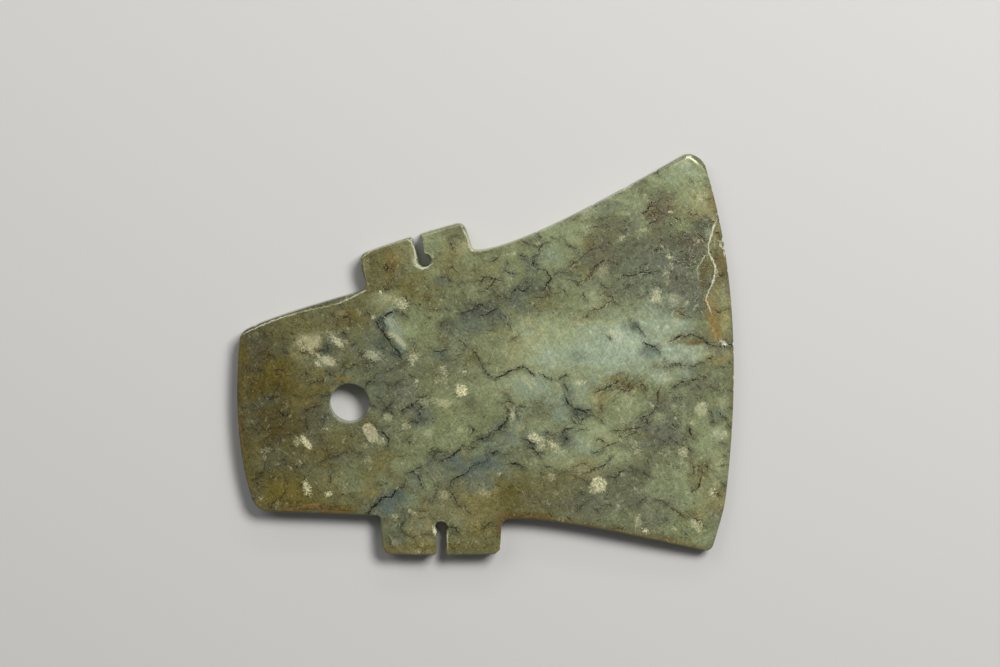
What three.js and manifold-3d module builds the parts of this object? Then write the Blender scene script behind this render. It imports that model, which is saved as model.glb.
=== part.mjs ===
// Jade axe head with a drilled hole, two keyhole-notched side flanges and a flaring blade.
// Millimetres, +Z up. The axe lies on its back face: +X runs from the butt to the cutting
// edge, +Y to the side of the upper flange, +Z out of the show face.
import * as THREE from 'three';
import { mergeVertices } from 'three/addons/utils/BufferGeometryUtils.js';
import Module from 'manifold-3d';

const wasm = await Module();
wasm.setup();

// ---------------------------------------------------------------- named sizes
// Stations along the axe are measured from the centre of the drilled hole, and half
// widths from the centre line through it.
const THICKNESS = 6.0; // body of the slab, face to face
const EDGE_ROUND = 0.8; // worn rounding where the faces meet the side walls
const OUTLINE_STEP = 1.5; // spacing of points along the curved sides

const HOLE = { radius: 5.85, mouth: 0.35, sides: 72 }; // drilled hole and its worn lip

// The butt end: a shallow outward curve between its two corners.
const BUTT = { bow: 3.04, peak: 0.6 };

// Each side of the axe, from the butt to the corner of the blade.
const UPPER = {
  buttStation: -29.0, buttHalf: 24.8, buttRound: 1.8,
  tangBow: 1.16, tangPeak: 0.1,
  flangeStation: 11.0, rootHalf: 32.7, rootRound: 3.8,
  flangeProud: 10.5, flangeUndercut: 1.2, innerRound: 1.3, innerBow: 0.97,
  flangeLength: 31.0, flangeRise: 5.15, flangeBow: 0.41, outerRound: 2.1,
  shoulderDrop: 8.6, shoulderLean: 1.6, shoulderBow: 0.11, shoulderRound: 1.0,
  flareBow: 2.97, flarePeak: 0.14,
  tipStation: 108.7, tipHalf: 59.3, tipRound: 1.5,
};
const LOWER = {
  buttStation: -32.0, buttHalf: 28.2, buttRound: 4.1,
  tangBow: -0.19, tangPeak: 0.5,
  flangeStation: 4.3, rootHalf: 34.65, rootRound: 1.2,
  flangeProud: 11.55, flangeUndercut: 0.8, innerRound: 2.7, innerBow: 0.28,
  flangeLength: 34.25, flangeRise: 4.7, flangeBow: 0.28, outerRound: 1.7,
  shoulderDrop: 9.6, shoulderLean: 1.95, shoulderBow: 0.02, shoulderRound: 1.6,
  flareBow: 2.35, flarePeak: 0.1,
  tipStation: 100.2, tipHalf: 59.45, tipRound: 2.35,
};

// The blade: its upper corner is cut off obliquely, its lower end is ground straight,
// and a long even arc joins them.
const BLADE = {
  upperCut: { station: 113.5, half: 55.5, round: 1.0, bow: 0.6 },
  lowerCut: { station: 106.1, half: -46.2, round: 3.0, bow: 0.1 },
  arcBow: 5.5, arcPeak: 0.58,
};

// How the blade thins towards the cutting edge: distance back from the edge and the
// half thickness there. The first pair is the edge itself.
const BLADE_THINNING = [
  [-1.2, 0.25], [0.0, 0.5], [1.4, 1.05], [4.0, 1.55], [8.0, 2.0],
  [14.0, 2.42], [22.0, 2.75], [31.0, 2.96], [46.0, 3.3],
];
const THINNING_SIDES = 240;

// The notches: a small drilled hole, opened to the flange's outer edge by a sawn slot that
// runs along "heading". The slot has two walls, each given by its offset from the drill's
// centre there and at the mouth, its length and the rounding of its lip.
const NOTCHES = [
  {
    drill: [27.99, 38.87], heading: [-0.093, 0.9957], drillRadius: 1.965,
    walls: [{ foot: -1.8, mouth: -2.02, reach: 7.2, lip: 0.55 }, { foot: 0.4, mouth: 0.75, reach: 7.8, lip: 0.5 }],
  },
  {
    drill: [21.67, -40.56], heading: [-0.1568, -0.9876], drillRadius: 1.82,
    walls: [{ foot: -1.43, mouth: -1.56, reach: 8.1, lip: 0.5 }, { foot: 1.17, mouth: 1.34, reach: 8.1, lip: 0.5 }],
  },
];

const JADE = { color: 0x8d9575, roughness: 0.32, metalness: 0.0 };

// ---------------------------------------------------------------- outline
const v2 = (x, y) => new THREE.Vector2(x, y);

// The corners of one side in order from the butt to the blade, each with the length
// that its rounding takes from the two runs that meet there, and the bow of the run
// that follows it.
function sideCorners(d, s) {
  const root = v2(d.flangeStation, s * d.rootHalf);
  const inner = v2(d.flangeStation - d.flangeUndercut, s * (d.rootHalf + d.flangeProud));
  const outer = v2(inner.x + d.flangeLength, inner.y + s * d.flangeRise);
  const shoulder = v2(outer.x + d.shoulderLean, outer.y - s * d.shoulderDrop);
  return [
    { at: v2(d.buttStation, s * d.buttHalf), round: d.buttRound, bow: d.tangBow, peak: d.tangPeak },
    { at: root, round: d.rootRound, bow: d.innerBow, peak: 0.5 },
    { at: inner, round: d.innerRound, bow: d.flangeBow, peak: 0.5 },
    { at: outer, round: d.outerRound, bow: d.shoulderBow, peak: 0.5 },
    { at: shoulder, round: d.shoulderRound, bow: -d.flareBow, peak: d.flarePeak },
    { at: v2(d.tipStation, s * d.tipHalf), round: d.tipRound, bow: 0, peak: 0.5 },
  ];
}

// The whole closed outline, anticlockwise: lower side, blade, upper side, butt.
function corners() {
  const low = sideCorners(LOWER, -1);
  low[5].bow = BLADE.lowerCut.bow;
  const up = sideCorners(UPPER, 1);
  // the upper side is walked backwards, so each run's bow belongs to its other end
  const back = up.map((c, i) => ({
    at: c.at,
    round: c.round,
    bow: i ? up[i - 1].bow : BUTT.bow,
    peak: i ? 1 - up[i - 1].peak : BUTT.peak,
  })).reverse();
  const lc = BLADE.lowerCut, uc = BLADE.upperCut;
  return [
    ...low,
    { at: v2(lc.station, lc.half), round: lc.round, bow: BLADE.arcBow, peak: BLADE.arcPeak },
    { at: v2(uc.station, uc.half), round: uc.round, bow: uc.bow, peak: 0.5 },
    ...back,
  ];
}

// One run between two corners, bowed outwards, cut short at both ends for the rounding.
function run(a, b) {
  const along = b.at.clone().sub(a.at);
  const out = v2(along.y, -along.x).normalize();
  const control = a.at.clone().addScaledVector(along, a.peak).addScaledVector(out, 2 * a.bow);
  const curve = new THREE.QuadraticBezierCurve(a.at, control, b.at);
  curve.arcLengthDivisions = 200;
  const length = curve.getLength();
  const straight = Math.abs(a.bow) < 0.15;
  const free = length - a.round - b.round;
  const n = straight ? 1 : Math.max(2, Math.ceil(free / OUTLINE_STEP));
  const points = [];
  for (let i = 0; i <= n; i++) points.push(curve.getPointAt((a.round + (free * i) / n) / length));
  return points;
}

// The rounding at a corner, between the ends of the runs on each side of it.
function rounding(from, corner, to, steps = 5) {
  const weight = 0.8, points = [];
  for (let i = 1; i < steps; i++) {
    const t = i / steps, p = (1 - t) ** 2, q = 2 * weight * t * (1 - t), r = t * t, sum = p + q + r;
    points.push(v2((p * from.x + q * corner.x + r * to.x) / sum, (p * from.y + q * corner.y + r * to.y) / sum));
  }
  return points;
}

function outline() {
  const c = corners();
  const runs = c.map((a, i) => run(a, c[(i + 1) % c.length]));
  return c.flatMap((corner, i) => [
    ...rounding(runs.at(i - 1).at(-1), corner.at, runs[i][0]),
    ...runs[i],
  ]);
}

// ---------------------------------------------------------------- solids
function solidOf(geometry) {
  const g = geometry.clone();
  for (const name of Object.keys(g.attributes)) if (name !== 'position') g.deleteAttribute(name);
  const merged = mergeVertices(g, 1e-4);
  return new wasm.Manifold(new wasm.Mesh({
    numProp: 3,
    vertProperties: new Float32Array(merged.attributes.position.array),
    triVerts: new Uint32Array(merged.index.array),
  }));
}

function geometryOf(solid) {
  const m = solid.getMesh();
  const g = new THREE.BufferGeometry();
  g.setAttribute('position', new THREE.BufferAttribute(new Float32Array(m.vertProperties), 3));
  g.setIndex(new THREE.BufferAttribute(new Uint32Array(m.triVerts), 1));
  g.computeVertexNormals();
  return g;
}

// The slab: the outline at full thickness, its long edges worn round.
function slab() {
  const shape = new THREE.Shape(outline());
  const g = new THREE.ExtrudeGeometry(shape, {
    depth: THICKNESS - 2 * EDGE_ROUND,
    bevelEnabled: true,
    bevelThickness: EDGE_ROUND,
    bevelSize: EDGE_ROUND,
    bevelOffset: -EDGE_ROUND,
    bevelSegments: 2,
    curveSegments: 1,
  });
  g.translate(0, 0, EDGE_ROUND);
  return solidOf(g);
}

// A wide disc whose rim follows the arc of the cutting edge and thins as the blade does.
function thinningDisc() {
  const uc = BLADE.upperCut, lc = BLADE.lowerCut;
  const low = v2(lc.station, lc.half), up = v2(uc.station, uc.half);
  const chord = up.clone().sub(low), half = chord.length() / 2;
  const radius = (half * half + BLADE.arcBow ** 2) / (2 * BLADE.arcBow);
  const out = v2(chord.y, -chord.x).normalize();
  const centre = low.clone().add(up).multiplyScalar(0.5).addScaledVector(out, BLADE.arcBow - radius);
  const upper = BLADE_THINNING.map(([back, t]) => v2(radius - back, t));
  const lower = BLADE_THINNING.map(([back, t]) => v2(radius - back, -t)).reverse();
  const inner = BLADE_THINNING.at(-1)[1];
  const profile = [v2(0, -inner), ...lower, ...upper, v2(0, inner)];
  const g = new THREE.LatheGeometry(profile, THINNING_SIDES);
  g.rotateX(Math.PI / 2);
  g.translate(centre.x, centre.y, THICKNESS / 2);
  const s = solidOf(g);
  if (s.volume() > 0) return s;
  g.index.array.reverse();
  return solidOf(g);
}

// The drilled hole with its lip worn open at both faces.
function holeCutter() {
  const { radius: r, mouth: m, sides } = HOLE, t = THICKNESS, over = 1;
  const profile = [
    v2(0, -over), v2(r + m + over, -over), v2(r, m), v2(r, t - m), v2(r + m + over, t + over), v2(0, t + over),
  ];
  const g = new THREE.LatheGeometry(profile, sides);
  g.rotateX(Math.PI / 2);
  const s = solidOf(g);
  if (s.volume() > 0) return s;
  g.index.array.reverse();
  return solidOf(g);
}

// One keyhole notch, drawn along its own axis and then turned into place.
function notchCutter({ drill, heading, drillRadius: r, walls: [a, b] }) {
  const past = Math.max(a.reach, b.reach) + 3;
  const [fromAngle, toAngle] = [a, b].map(({ foot, mouth, reach }) => {
    // where the wall leaves the drill
    const k = (mouth - foot) / reach, q = 1 + k * k;
    const y = (-foot * k + Math.sqrt(foot * foot * k * k - q * (foot * foot - r * r))) / q;
    return Math.atan2(y, foot + k * y);
  });
  const shape = new THREE.Shape();
  shape.moveTo(b.mouth + b.lip, past);
  shape.lineTo(a.mouth - a.lip, past);
  shape.lineTo(a.mouth - a.lip, a.reach + 0.2);
  shape.quadraticCurveTo(a.mouth, a.reach, a.mouth, a.reach - a.lip);
  shape.lineTo(r * Math.cos(fromAngle), r * Math.sin(fromAngle));
  shape.absarc(0, 0, r, fromAngle, Math.PI * 2 + toAngle, false);
  shape.lineTo(b.mouth, b.reach - b.lip);
  shape.quadraticCurveTo(b.mouth, b.reach, b.mouth + b.lip, b.reach + 0.2);
  shape.closePath();
  const g = new THREE.ExtrudeGeometry(shape, { depth: THICKNESS + 4, bevelEnabled: false, curveSegments: 14 });
  g.rotateZ(Math.atan2(heading[1], heading[0]) - Math.PI / 2);
  g.translate(drill[0], drill[1], -2);
  return solidOf(g);
}

let axe = slab().intersect(thinningDisc()).subtract(holeCutter());
for (const notch of NOTCHES) axe = axe.subtract(notchCutter(notch));

const geometry = geometryOf(axe);
geometry.computeBoundingBox();
const box = geometry.boundingBox;

const mesh = new THREE.Mesh(geometry, new THREE.MeshStandardMaterial(JADE));
mesh.name = 'axe_head';
// the origin is under the middle of the axe, on the surface that it lies on
mesh.position.set(-(box.min.x + box.max.x) / 2, -(box.min.y + box.max.y) / 2, -box.min.z);

const part = new THREE.Group();
part.add(mesh);

export default part;
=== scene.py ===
import math

import bpy
import numpy as np
from mathutils import Matrix, Vector
from mathutils.geometry import delaunay_2d_cdt
from mathutils.kdtree import KDTree


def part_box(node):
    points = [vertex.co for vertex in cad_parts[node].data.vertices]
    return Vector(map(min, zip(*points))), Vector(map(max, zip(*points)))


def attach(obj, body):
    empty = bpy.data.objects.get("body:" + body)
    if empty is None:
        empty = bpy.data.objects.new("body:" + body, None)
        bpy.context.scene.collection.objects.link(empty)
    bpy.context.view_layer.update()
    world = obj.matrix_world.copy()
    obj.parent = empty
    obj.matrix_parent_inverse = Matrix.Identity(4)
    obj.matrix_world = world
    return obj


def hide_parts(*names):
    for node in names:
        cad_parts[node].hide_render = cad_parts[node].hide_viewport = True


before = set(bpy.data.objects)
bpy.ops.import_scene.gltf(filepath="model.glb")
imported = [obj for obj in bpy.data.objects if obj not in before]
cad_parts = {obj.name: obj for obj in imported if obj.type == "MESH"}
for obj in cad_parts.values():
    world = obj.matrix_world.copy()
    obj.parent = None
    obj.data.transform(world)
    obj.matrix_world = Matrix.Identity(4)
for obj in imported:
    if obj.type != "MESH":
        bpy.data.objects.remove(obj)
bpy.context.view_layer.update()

MM = 0.001

# =====================================================================================
# 1. Sizes, in millimetres. Stations run along the axe from the centre of the drilled
#    hole towards the cutting edge, half widths across it from the line through the hole.
# =====================================================================================
THICKNESS = 6.0
EDGE_ROUND = 0.5
BORE_ROUND = 0.32
HOLE_RADIUS = 5.85
BUTT = dict(bow=3.04, peak=0.6)
UPPER = dict(
    butt_station=-29.0, butt_half=24.8, butt_round=1.8, tang_bow=1.16, tang_peak=0.1,
    flange_station=11.0, root_half=32.7, root_round=3.8, flange_proud=10.5, undercut=1.2,
    inner_round=1.3, inner_bow=0.97, flange_length=31.0, flange_rise=5.15, flange_bow=0.41,
    outer_round=2.1, shoulder_drop=8.6, shoulder_lean=1.6, shoulder_bow=0.11, shoulder_round=1.0,
    flare_bow=2.97, flare_peak=0.14, tip_station=108.7, tip_half=59.3, tip_round=1.5,
)
LOWER = dict(
    butt_station=-32.0, butt_half=28.2, butt_round=4.1, tang_bow=-0.19, tang_peak=0.5,
    flange_station=4.3, root_half=34.65, root_round=1.2, flange_proud=11.55, undercut=0.8,
    inner_round=2.7, inner_bow=0.28, flange_length=34.25, flange_rise=4.7, flange_bow=0.28,
    outer_round=1.7, shoulder_drop=9.6, shoulder_lean=1.95, shoulder_bow=0.02, shoulder_round=1.6,
    flare_bow=2.35, flare_peak=0.1, tip_station=100.2, tip_half=59.45, tip_round=2.35,
)
UPPER_CUT = dict(station=113.5, half=55.5, round=1.0, bow=0.6)
LOWER_CUT = dict(station=106.1, half=-46.2, round=3.0, bow=0.1)
ARC = dict(bow=5.5, peak=0.58)
# distance back from the cutting edge, half thickness there
THINNING = [(-1.2, 0.25), (0.0, 0.5), (1.4, 1.05), (4.0, 1.55), (8.0, 2.0),
            (14.0, 2.42), (22.0, 2.75), (31.0, 2.96), (46.0, 3.3)]
# each wall of a notch's slot: its offset from the drill's centre there and at the mouth, its
# length and the rounding of its lip
NOTCHES = [
    dict(drill=(27.99, 38.87), heading=(-0.093, 0.9957), radius=1.965,
         walls=[dict(foot=-1.8, mouth=-2.02, reach=7.2, lip=0.55), dict(foot=0.4, mouth=0.75, reach=7.8, lip=0.5)]),
    dict(drill=(21.67, -40.56), heading=(-0.1568, -0.9876), radius=1.82,
         walls=[dict(foot=-1.43, mouth=-1.56, reach=8.1, lip=0.5), dict(foot=1.17, mouth=1.34, reach=8.1, lip=0.5)]),
]

OUTLINE_STEP = 0.3   # spacing of points along the outline
FACE_STEP = 0.47     # spacing of the show face's mesh
BACK_STEP = 1.35     # spacing of the back's mesh
WALL_LEVELS = 5

# =====================================================================================
# 2. The viewpoint. Marks on the stone are placed where the photograph shows them: a spot
#    in its 1000 x 667 frame is carried along its line of sight to the show face.
# =====================================================================================
FRAME_W, FRAME_H = 1000.0, 667.0
MM_PER_PX = 0.29484
HOLE_PX = (348.92, 404.13)
TURN = math.radians(8.0)     # the axe's centre line against the frame's bottom edge
TILT = math.radians(6.0)     # how far the camera leans from straight above
LENS, SENSOR = 100.0, 36.0

RIGHT = np.array([math.cos(TURN), -math.sin(TURN), 0.0])
AWAY = np.array([math.sin(TURN), math.cos(TURN), 0.0])
BACK = math.cos(TILT) * np.array([0, 0, 1.0]) + math.sin(TILT) * AWAY
CAM_UP = np.cross(BACK, RIGHT)


def from_flat(px, py):
    dx, dy = (px - HOLE_PX[0]) * MM_PER_PX, -(py - HOLE_PX[1]) * MM_PER_PX
    return np.array([dx * math.cos(TURN) + dy * math.sin(TURN), -dx * math.sin(TURN) + dy * math.cos(TURN)])


AIM = np.array([*from_flat(FRAME_W / 2, FRAME_H / 2), THICKNESS])
DISTANCE = FRAME_W * MM_PER_PX / SENSOR * LENS
CAM_AT = AIM + BACK * DISTANCE
FOCAL_PX = LENS / SENSOR * FRAME_W


def spot(points, z=THICKNESS):
    """Frame positions to positions on the axe, in mm from the centre of the hole."""
    q = np.atleast_2d(np.asarray(points, float))
    ray = -BACK[None] + (q[:, :1] - FRAME_W / 2) / FOCAL_PX * RIGHT + (FRAME_H / 2 - q[:, 1:2]) / FOCAL_PX * CAM_UP
    t = (z - CAM_AT[2]) / ray[:, 2]
    return (CAM_AT + ray * t[:, None])[:, :2]


# =====================================================================================
# 3. Outline
# =====================================================================================
def corner(x, y, round_, bow, peak):
    return dict(at=np.array([x, y], float), round=round_, bow=bow, peak=peak)


def side_corners(d, s):
    root = (d["flange_station"], s * d["root_half"])
    inner = (root[0] - d["undercut"], s * (d["root_half"] + d["flange_proud"]))
    outer = (inner[0] + d["flange_length"], inner[1] + s * d["flange_rise"])
    shoulder = (outer[0] + d["shoulder_lean"], outer[1] - s * d["shoulder_drop"])
    return [
        corner(d["butt_station"], s * d["butt_half"], d["butt_round"], d["tang_bow"], d["tang_peak"]),
        corner(*root, d["root_round"], d["inner_bow"], 0.5),
        corner(*inner, d["inner_round"], d["flange_bow"], 0.5),
        corner(*outer, d["outer_round"], d["shoulder_bow"], 0.5),
        corner(*shoulder, d["shoulder_round"], -d["flare_bow"], d["flare_peak"]),
        corner(d["tip_station"], s * d["tip_half"], d["tip_round"], 0.0, 0.5),
    ]


def all_corners():
    low, up = side_corners(LOWER, -1), side_corners(UPPER, 1)
    low[5]["bow"] = LOWER_CUT["bow"]
    back = []
    for i, c in enumerate(up):
        before = up[i - 1]
        back.append(corner(*c["at"], c["round"], before["bow"] if i else BUTT["bow"],
                           1 - before["peak"] if i else BUTT["peak"]))
    lc, uc = LOWER_CUT, UPPER_CUT
    return [*low, corner(lc["station"], lc["half"], lc["round"], ARC["bow"], ARC["peak"]),
            corner(uc["station"], uc["half"], uc["round"], uc["bow"], 0.5), *back[::-1]]


def run(a, b):
    along = b["at"] - a["at"]
    out = np.array([along[1], -along[0]]) / np.hypot(*along)
    control = a["at"] + along * a["peak"] + out * 2 * a["bow"]
    t = np.linspace(0, 1, 600)[:, None]
    p = (1 - t) ** 2 * a["at"] + 2 * t * (1 - t) * control + t * t * b["at"]
    s = np.r_[0, np.cumsum(np.hypot(*np.diff(p, axis=0).T))]
    n = max(2, math.ceil((s[-1] - a["round"] - b["round"]) / OUTLINE_STEP))
    q = np.linspace(a["round"], s[-1] - b["round"], n + 1)
    return np.stack([np.interp(q, s, p[:, 0]), np.interp(q, s, p[:, 1])], 1)


def rounding(start, c, end):
    n = max(5, math.ceil(2.2 * c["round"] / OUTLINE_STEP))
    t = np.linspace(0, 1, n + 1)[1:-1, None]
    w = 0.8
    p, q, r = (1 - t) ** 2, 2 * w * t * (1 - t), t * t
    return (p * start + q * c["at"] + r * end) / (p + q + r)


def plain_outline():
    c = all_corners()
    runs = [run(a, c[(i + 1) % len(c)]) for i, a in enumerate(c)]
    return np.concatenate([x for i, a in enumerate(c) for x in (rounding(runs[i - 1][-1], a, runs[i][0]), runs[i])])


def notch_path(n):
    """The two sides of a keyhole, both from the foot of the drill out past the lip."""
    drill, u, r = np.array(n["drill"]), np.array(n["heading"]), n["radius"]
    side = np.array([u[1], -u[0]])
    paths = []
    for wall in reversed(n["walls"]):
        foot, mouth, reach, lip = wall["foot"], wall["mouth"], wall["reach"], wall["lip"]
        way = 1 if foot > 0 else -1
        # where the wall leaves the drill
        k = (mouth - foot) / reach
        q = 1 + k * k
        y0 = (-foot * k + math.sqrt((foot * k) ** 2 - q * (foot * foot - r * r))) / q
        x0, y1 = foot + k * y0, reach - lip
        a = np.linspace(-math.pi / 2, math.atan2(y0, way * x0), 22)
        local = [np.stack([way * r * np.cos(a), r * np.sin(a)], 1)]
        t = np.linspace(0, 1, math.ceil((y1 - y0) / OUTLINE_STEP) + 1)[1:, None]
        local.append((1 - t) * np.array([x0, y0]) + t * np.array([mouth, y1]))
        t = np.linspace(0, 1, 7)[1:, None]
        local.append((1 - t) ** 2 * np.array([mouth, y1]) + 2 * t * (1 - t) * np.array([mouth, reach])
                     + t * t * np.array([mouth + way * lip, reach + 0.2]))
        local.append(np.array([[mouth + way * lip, reach + 3.0]]))
        path = np.concatenate(local)
        paths.append(drill + path[:, :1] * side + path[:, 1:] * u)
    return paths


def first_crossing(path, loop):
    nxt = np.roll(loop, -1, 0)
    d2 = nxt - loop
    for i in range(len(path) - 1):
        p, d1 = path[i], path[i + 1] - path[i]
        den = d1[0] * d2[:, 1] - d1[1] * d2[:, 0]
        den = np.where(np.abs(den) < 1e-12, 1e-12, den)
        e = loop - p
        t = (e[:, 0] * d2[:, 1] - e[:, 1] * d2[:, 0]) / den
        s = (e[:, 0] * d1[1] - e[:, 1] * d1[0]) / den
        hit = np.where((t >= 0) & (t <= 1) & (s >= 0) & (s < 1))[0]
        if len(hit):
            k = hit[0]
            return i, k, p + d1 * t[k]
    raise RuntimeError("a notch misses the outline")


def splice(loop, notch):
    plus, minus = notch_path(notch)
    ip, kp, at_p = first_crossing(plus, loop)
    im, km, at_m = first_crossing(minus, loop)
    inside = np.concatenate([[at_p], plus[: ip + 1][::-1], minus[1: im + 1], [at_m]])
    if kp <= km:
        return np.concatenate([loop[: kp + 1], inside, loop[km + 1:]])
    return np.concatenate([loop[km + 1: kp + 1], inside])


def tidy(loop, least=0.06):
    keep = [loop[0]]
    for p in loop[1:]:
        if np.hypot(*(p - keep[-1])) > least:
            keep.append(p)
    if np.hypot(*(keep[0] - keep[-1])) <= least:
        keep.pop()
    return np.array(keep)


def inward(loop):
    t = np.roll(loop, -1, 0) - np.roll(loop, 1, 0)
    t /= np.hypot(t[:, 0], t[:, 1])[:, None]
    return np.stack([-t[:, 1], t[:, 0]], 1)


# small bites out of the edge: frame position, half length along the edge, depth (mm)
NICKS = [
    ((723.2, 240.5), 0.75, 0.42), ((724.6, 248.0), 0.9, 0.34), ((725.6, 253.2), 0.6, 0.28),
    ((721.0, 222.0), 0.5, 0.22), ((719.6, 214.0), 0.5, 0.18), ((728.5, 271.0), 0.5, 0.2),
    ((733.4, 344.6), 0.7, 0.3), ((734.2, 352.0), 0.45, 0.16), ((734.4, 378.0), 0.7, 0.2),
    ((733.8, 389.5), 0.6, 0.16), ((731.5, 430.5), 0.5, 0.16), ((712.8, 190.5), 0.6, 0.16),
    ((656.3, 171.3), 0.7, 0.3), ((626.0, 187.0), 2.0, 0.22), ((593.5, 204.5), 0.6, 0.2),
    ((537.0, 233.5), 0.5, 0.18), ((256.0, 326.5), 1.0, 0.24), ((363.0, 291.0), 0.8, 0.2),
    ((497.5, 551.5), 1.1, 0.26), ((500.6, 546.0), 0.6, 0.18), ((383.5, 548.5), 0.8, 0.16),
    ((253.0, 493.5), 0.6, 0.14), ((240.2, 425.0), 0.7, 0.12), ((239.6, 365.0), 0.6, 0.12),
]


def nick(loop):
    n = inward(loop)
    out = loop.copy()
    for at, half, depth in NICKS:
        c = spot([at], THICKNESS * 0.7)[0]
        near = loop[np.argmin(np.hypot(*(loop - c).T))]
        d = np.hypot(*(loop - near).T) / half
        out += n * (depth * np.clip(1 - d * d, 0, 1) ** 1.5)[:, None]
    return out


outer = plain_outline()
for one in NOTCHES:
    outer = splice(outer, one)
outer = nick(tidy(outer))
turns = np.linspace(0, 2 * math.pi, 132, endpoint=False)
bore = HOLE_RADIUS * np.stack([np.cos(turns), -np.sin(turns)], 1)   # clockwise, so inward is into the stone
LOOPS = [outer, bore]

# =====================================================================================
# 4. Fields over the face
# =====================================================================================
edge_pts = np.concatenate(LOOPS)
edge_next = np.concatenate([np.roll(l, -1, 0) for l in LOOPS])
edge_prev = np.concatenate([np.roll(l, 1, 0) for l in LOOPS])
edge_in = np.concatenate([inward(l) for l in LOOPS])
tree = KDTree(len(edge_pts))
for i, p in enumerate(edge_pts):
    tree.insert((p[0], p[1], 0), i)
tree.balance()
# which parts of the edge belong to the hole or a notch, 0..1
edge_bore = np.zeros(len(edge_pts))
edge_bore[len(outer):] = 1
for one in NOTCHES:
    u = np.array(one["heading"])
    rel = edge_pts - one["drill"]
    lateral = np.abs(rel[:, 0] * u[1] - rel[:, 1] * u[0])
    forward = rel @ u
    inside = (lateral < one["radius"] + 0.2) & (forward > -one["radius"] - 0.3) & (forward < one["walls"][0]["reach"] - 0.5)
    edge_bore[inside] = 1


def to_segment(p, a, b):
    ab = b - a
    t = np.clip(((p - a) * ab).sum(1) / np.maximum((ab * ab).sum(1), 1e-12), 0, 1)
    return np.hypot(*(p - a - ab * t[:, None]).T)


def edge_distance(p):
    idx = np.array([tree.find((q[0], q[1], 0))[1] for q in p])
    d = np.minimum(to_segment(p, edge_pts[idx], edge_next[idx]), to_segment(p, edge_pts[idx], edge_prev[idx]))
    return d, idx


def inside_rows(xs_of_row, y):
    """Even-odd test for the points of one row."""
    a, b = edge_pts, edge_next
    cross = (a[:, 1] > y) != (b[:, 1] > y)
    x = a[cross, 0] + (y - a[cross, 1]) * (b[cross, 0] - a[cross, 0]) / (b[cross, 1] - a[cross, 1])
    x = np.sort(x)
    return np.searchsorted(x, xs_of_row) % 2 == 1


def inside(p):
    out = np.zeros(len(p), bool)
    for i0 in range(0, len(p), 4000):
        q = p[i0:i0 + 4000]
        a, b = edge_pts[None], edge_next[None]
        cross = (a[..., 1] > q[:, 1:]) != (b[..., 1] > q[:, 1:])
        with np.errstate(divide="ignore", invalid="ignore"):
            x = a[..., 0] + (q[:, 1:] - a[..., 1]) * (b[..., 0] - a[..., 0]) / (b[..., 1] - a[..., 1])
        out[i0:i0 + 4000] = (cross & (q[:, :1] < x)).sum(1) % 2 == 1
    return out


def smooth_table(x, table):
    xs, ys = np.array(table).T
    m = np.gradient(ys, xs)
    x = np.clip(x, xs[0], xs[-1])
    i = np.clip(np.searchsorted(xs, x) - 1, 0, len(xs) - 2)
    h = xs[i + 1] - xs[i]
    t = (x - xs[i]) / h
    return ((2 * t**3 - 3 * t**2 + 1) * ys[i] + (t**3 - 2 * t**2 + t) * h * m[i]
            + (3 * t**2 - 2 * t**3) * ys[i + 1] + (t**3 - t**2) * h * m[i + 1])


low_end = np.array([LOWER_CUT["station"], LOWER_CUT["half"]])
up_end = np.array([UPPER_CUT["station"], UPPER_CUT["half"]])
chord = up_end - low_end
half_chord = np.hypot(*chord) / 2
ARC_RADIUS = (half_chord**2 + ARC["bow"] ** 2) / (2 * ARC["bow"])
ARC_CENTRE = (low_end + up_end) / 2 + np.array([chord[1], -chord[0]]) / (2 * half_chord) * (ARC["bow"] - ARC_RADIUS)


def half_section(p):
    """Half thickness of the stone before its edges are rounded."""
    back = ARC_RADIUS - np.hypot(*(p - ARC_CENTRE).T)
    thin = smooth_table(back, THINNING)
    k = 0.07
    return np.minimum(-k * np.log(np.exp(-thin / k) + np.exp(-THICKNESS / 2 / k)), THICKNESS / 2 - 0.002)


# ---- seeded gradient noise
def lattice(seed):
    rng = np.random.default_rng(seed)
    return rng.permutation(512), rng.uniform(0, 2 * math.pi, 512)


_lattices = {}


def noise(p, scale, seed=0):
    """Smooth noise about -1..1; scale is the size of one lump in mm."""
    if seed not in _lattices:
        _lattices[seed] = lattice(seed)
    perm, ang = _lattices[seed]
    q = p / scale
    i = np.floor(q).astype(int)
    f = q - i
    u = f * f * f * (f * (f * 6 - 15) + 10)
    total = 0
    for dx in (0, 1):
        for dy in (0, 1):
            h = perm[(perm[(i[:, 0] + dx) % 512] + i[:, 1] + dy) % 512]
            g = np.cos(ang[h]) * (f[:, 0] - dx) + np.sin(ang[h]) * (f[:, 1] - dy)
            total = total + g * (u[:, 0] if dx else 1 - u[:, 0]) * (u[:, 1] if dy else 1 - u[:, 1])
    return total * 1.5


def fbm(p, scale, octaves=4, seed=0, gain=0.55):
    total, amp, norm = 0, 1.0, 0
    for k in range(octaves):
        total = total + amp * noise(p, scale / 2**k, seed + 17 * k)
        norm += amp
        amp *= gain
    return total / norm


def smooth(lo, hi, x):
    t = np.clip((x - lo) / (hi - lo), 0, 1)
    return t * t * (3 - 2 * t)


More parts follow.
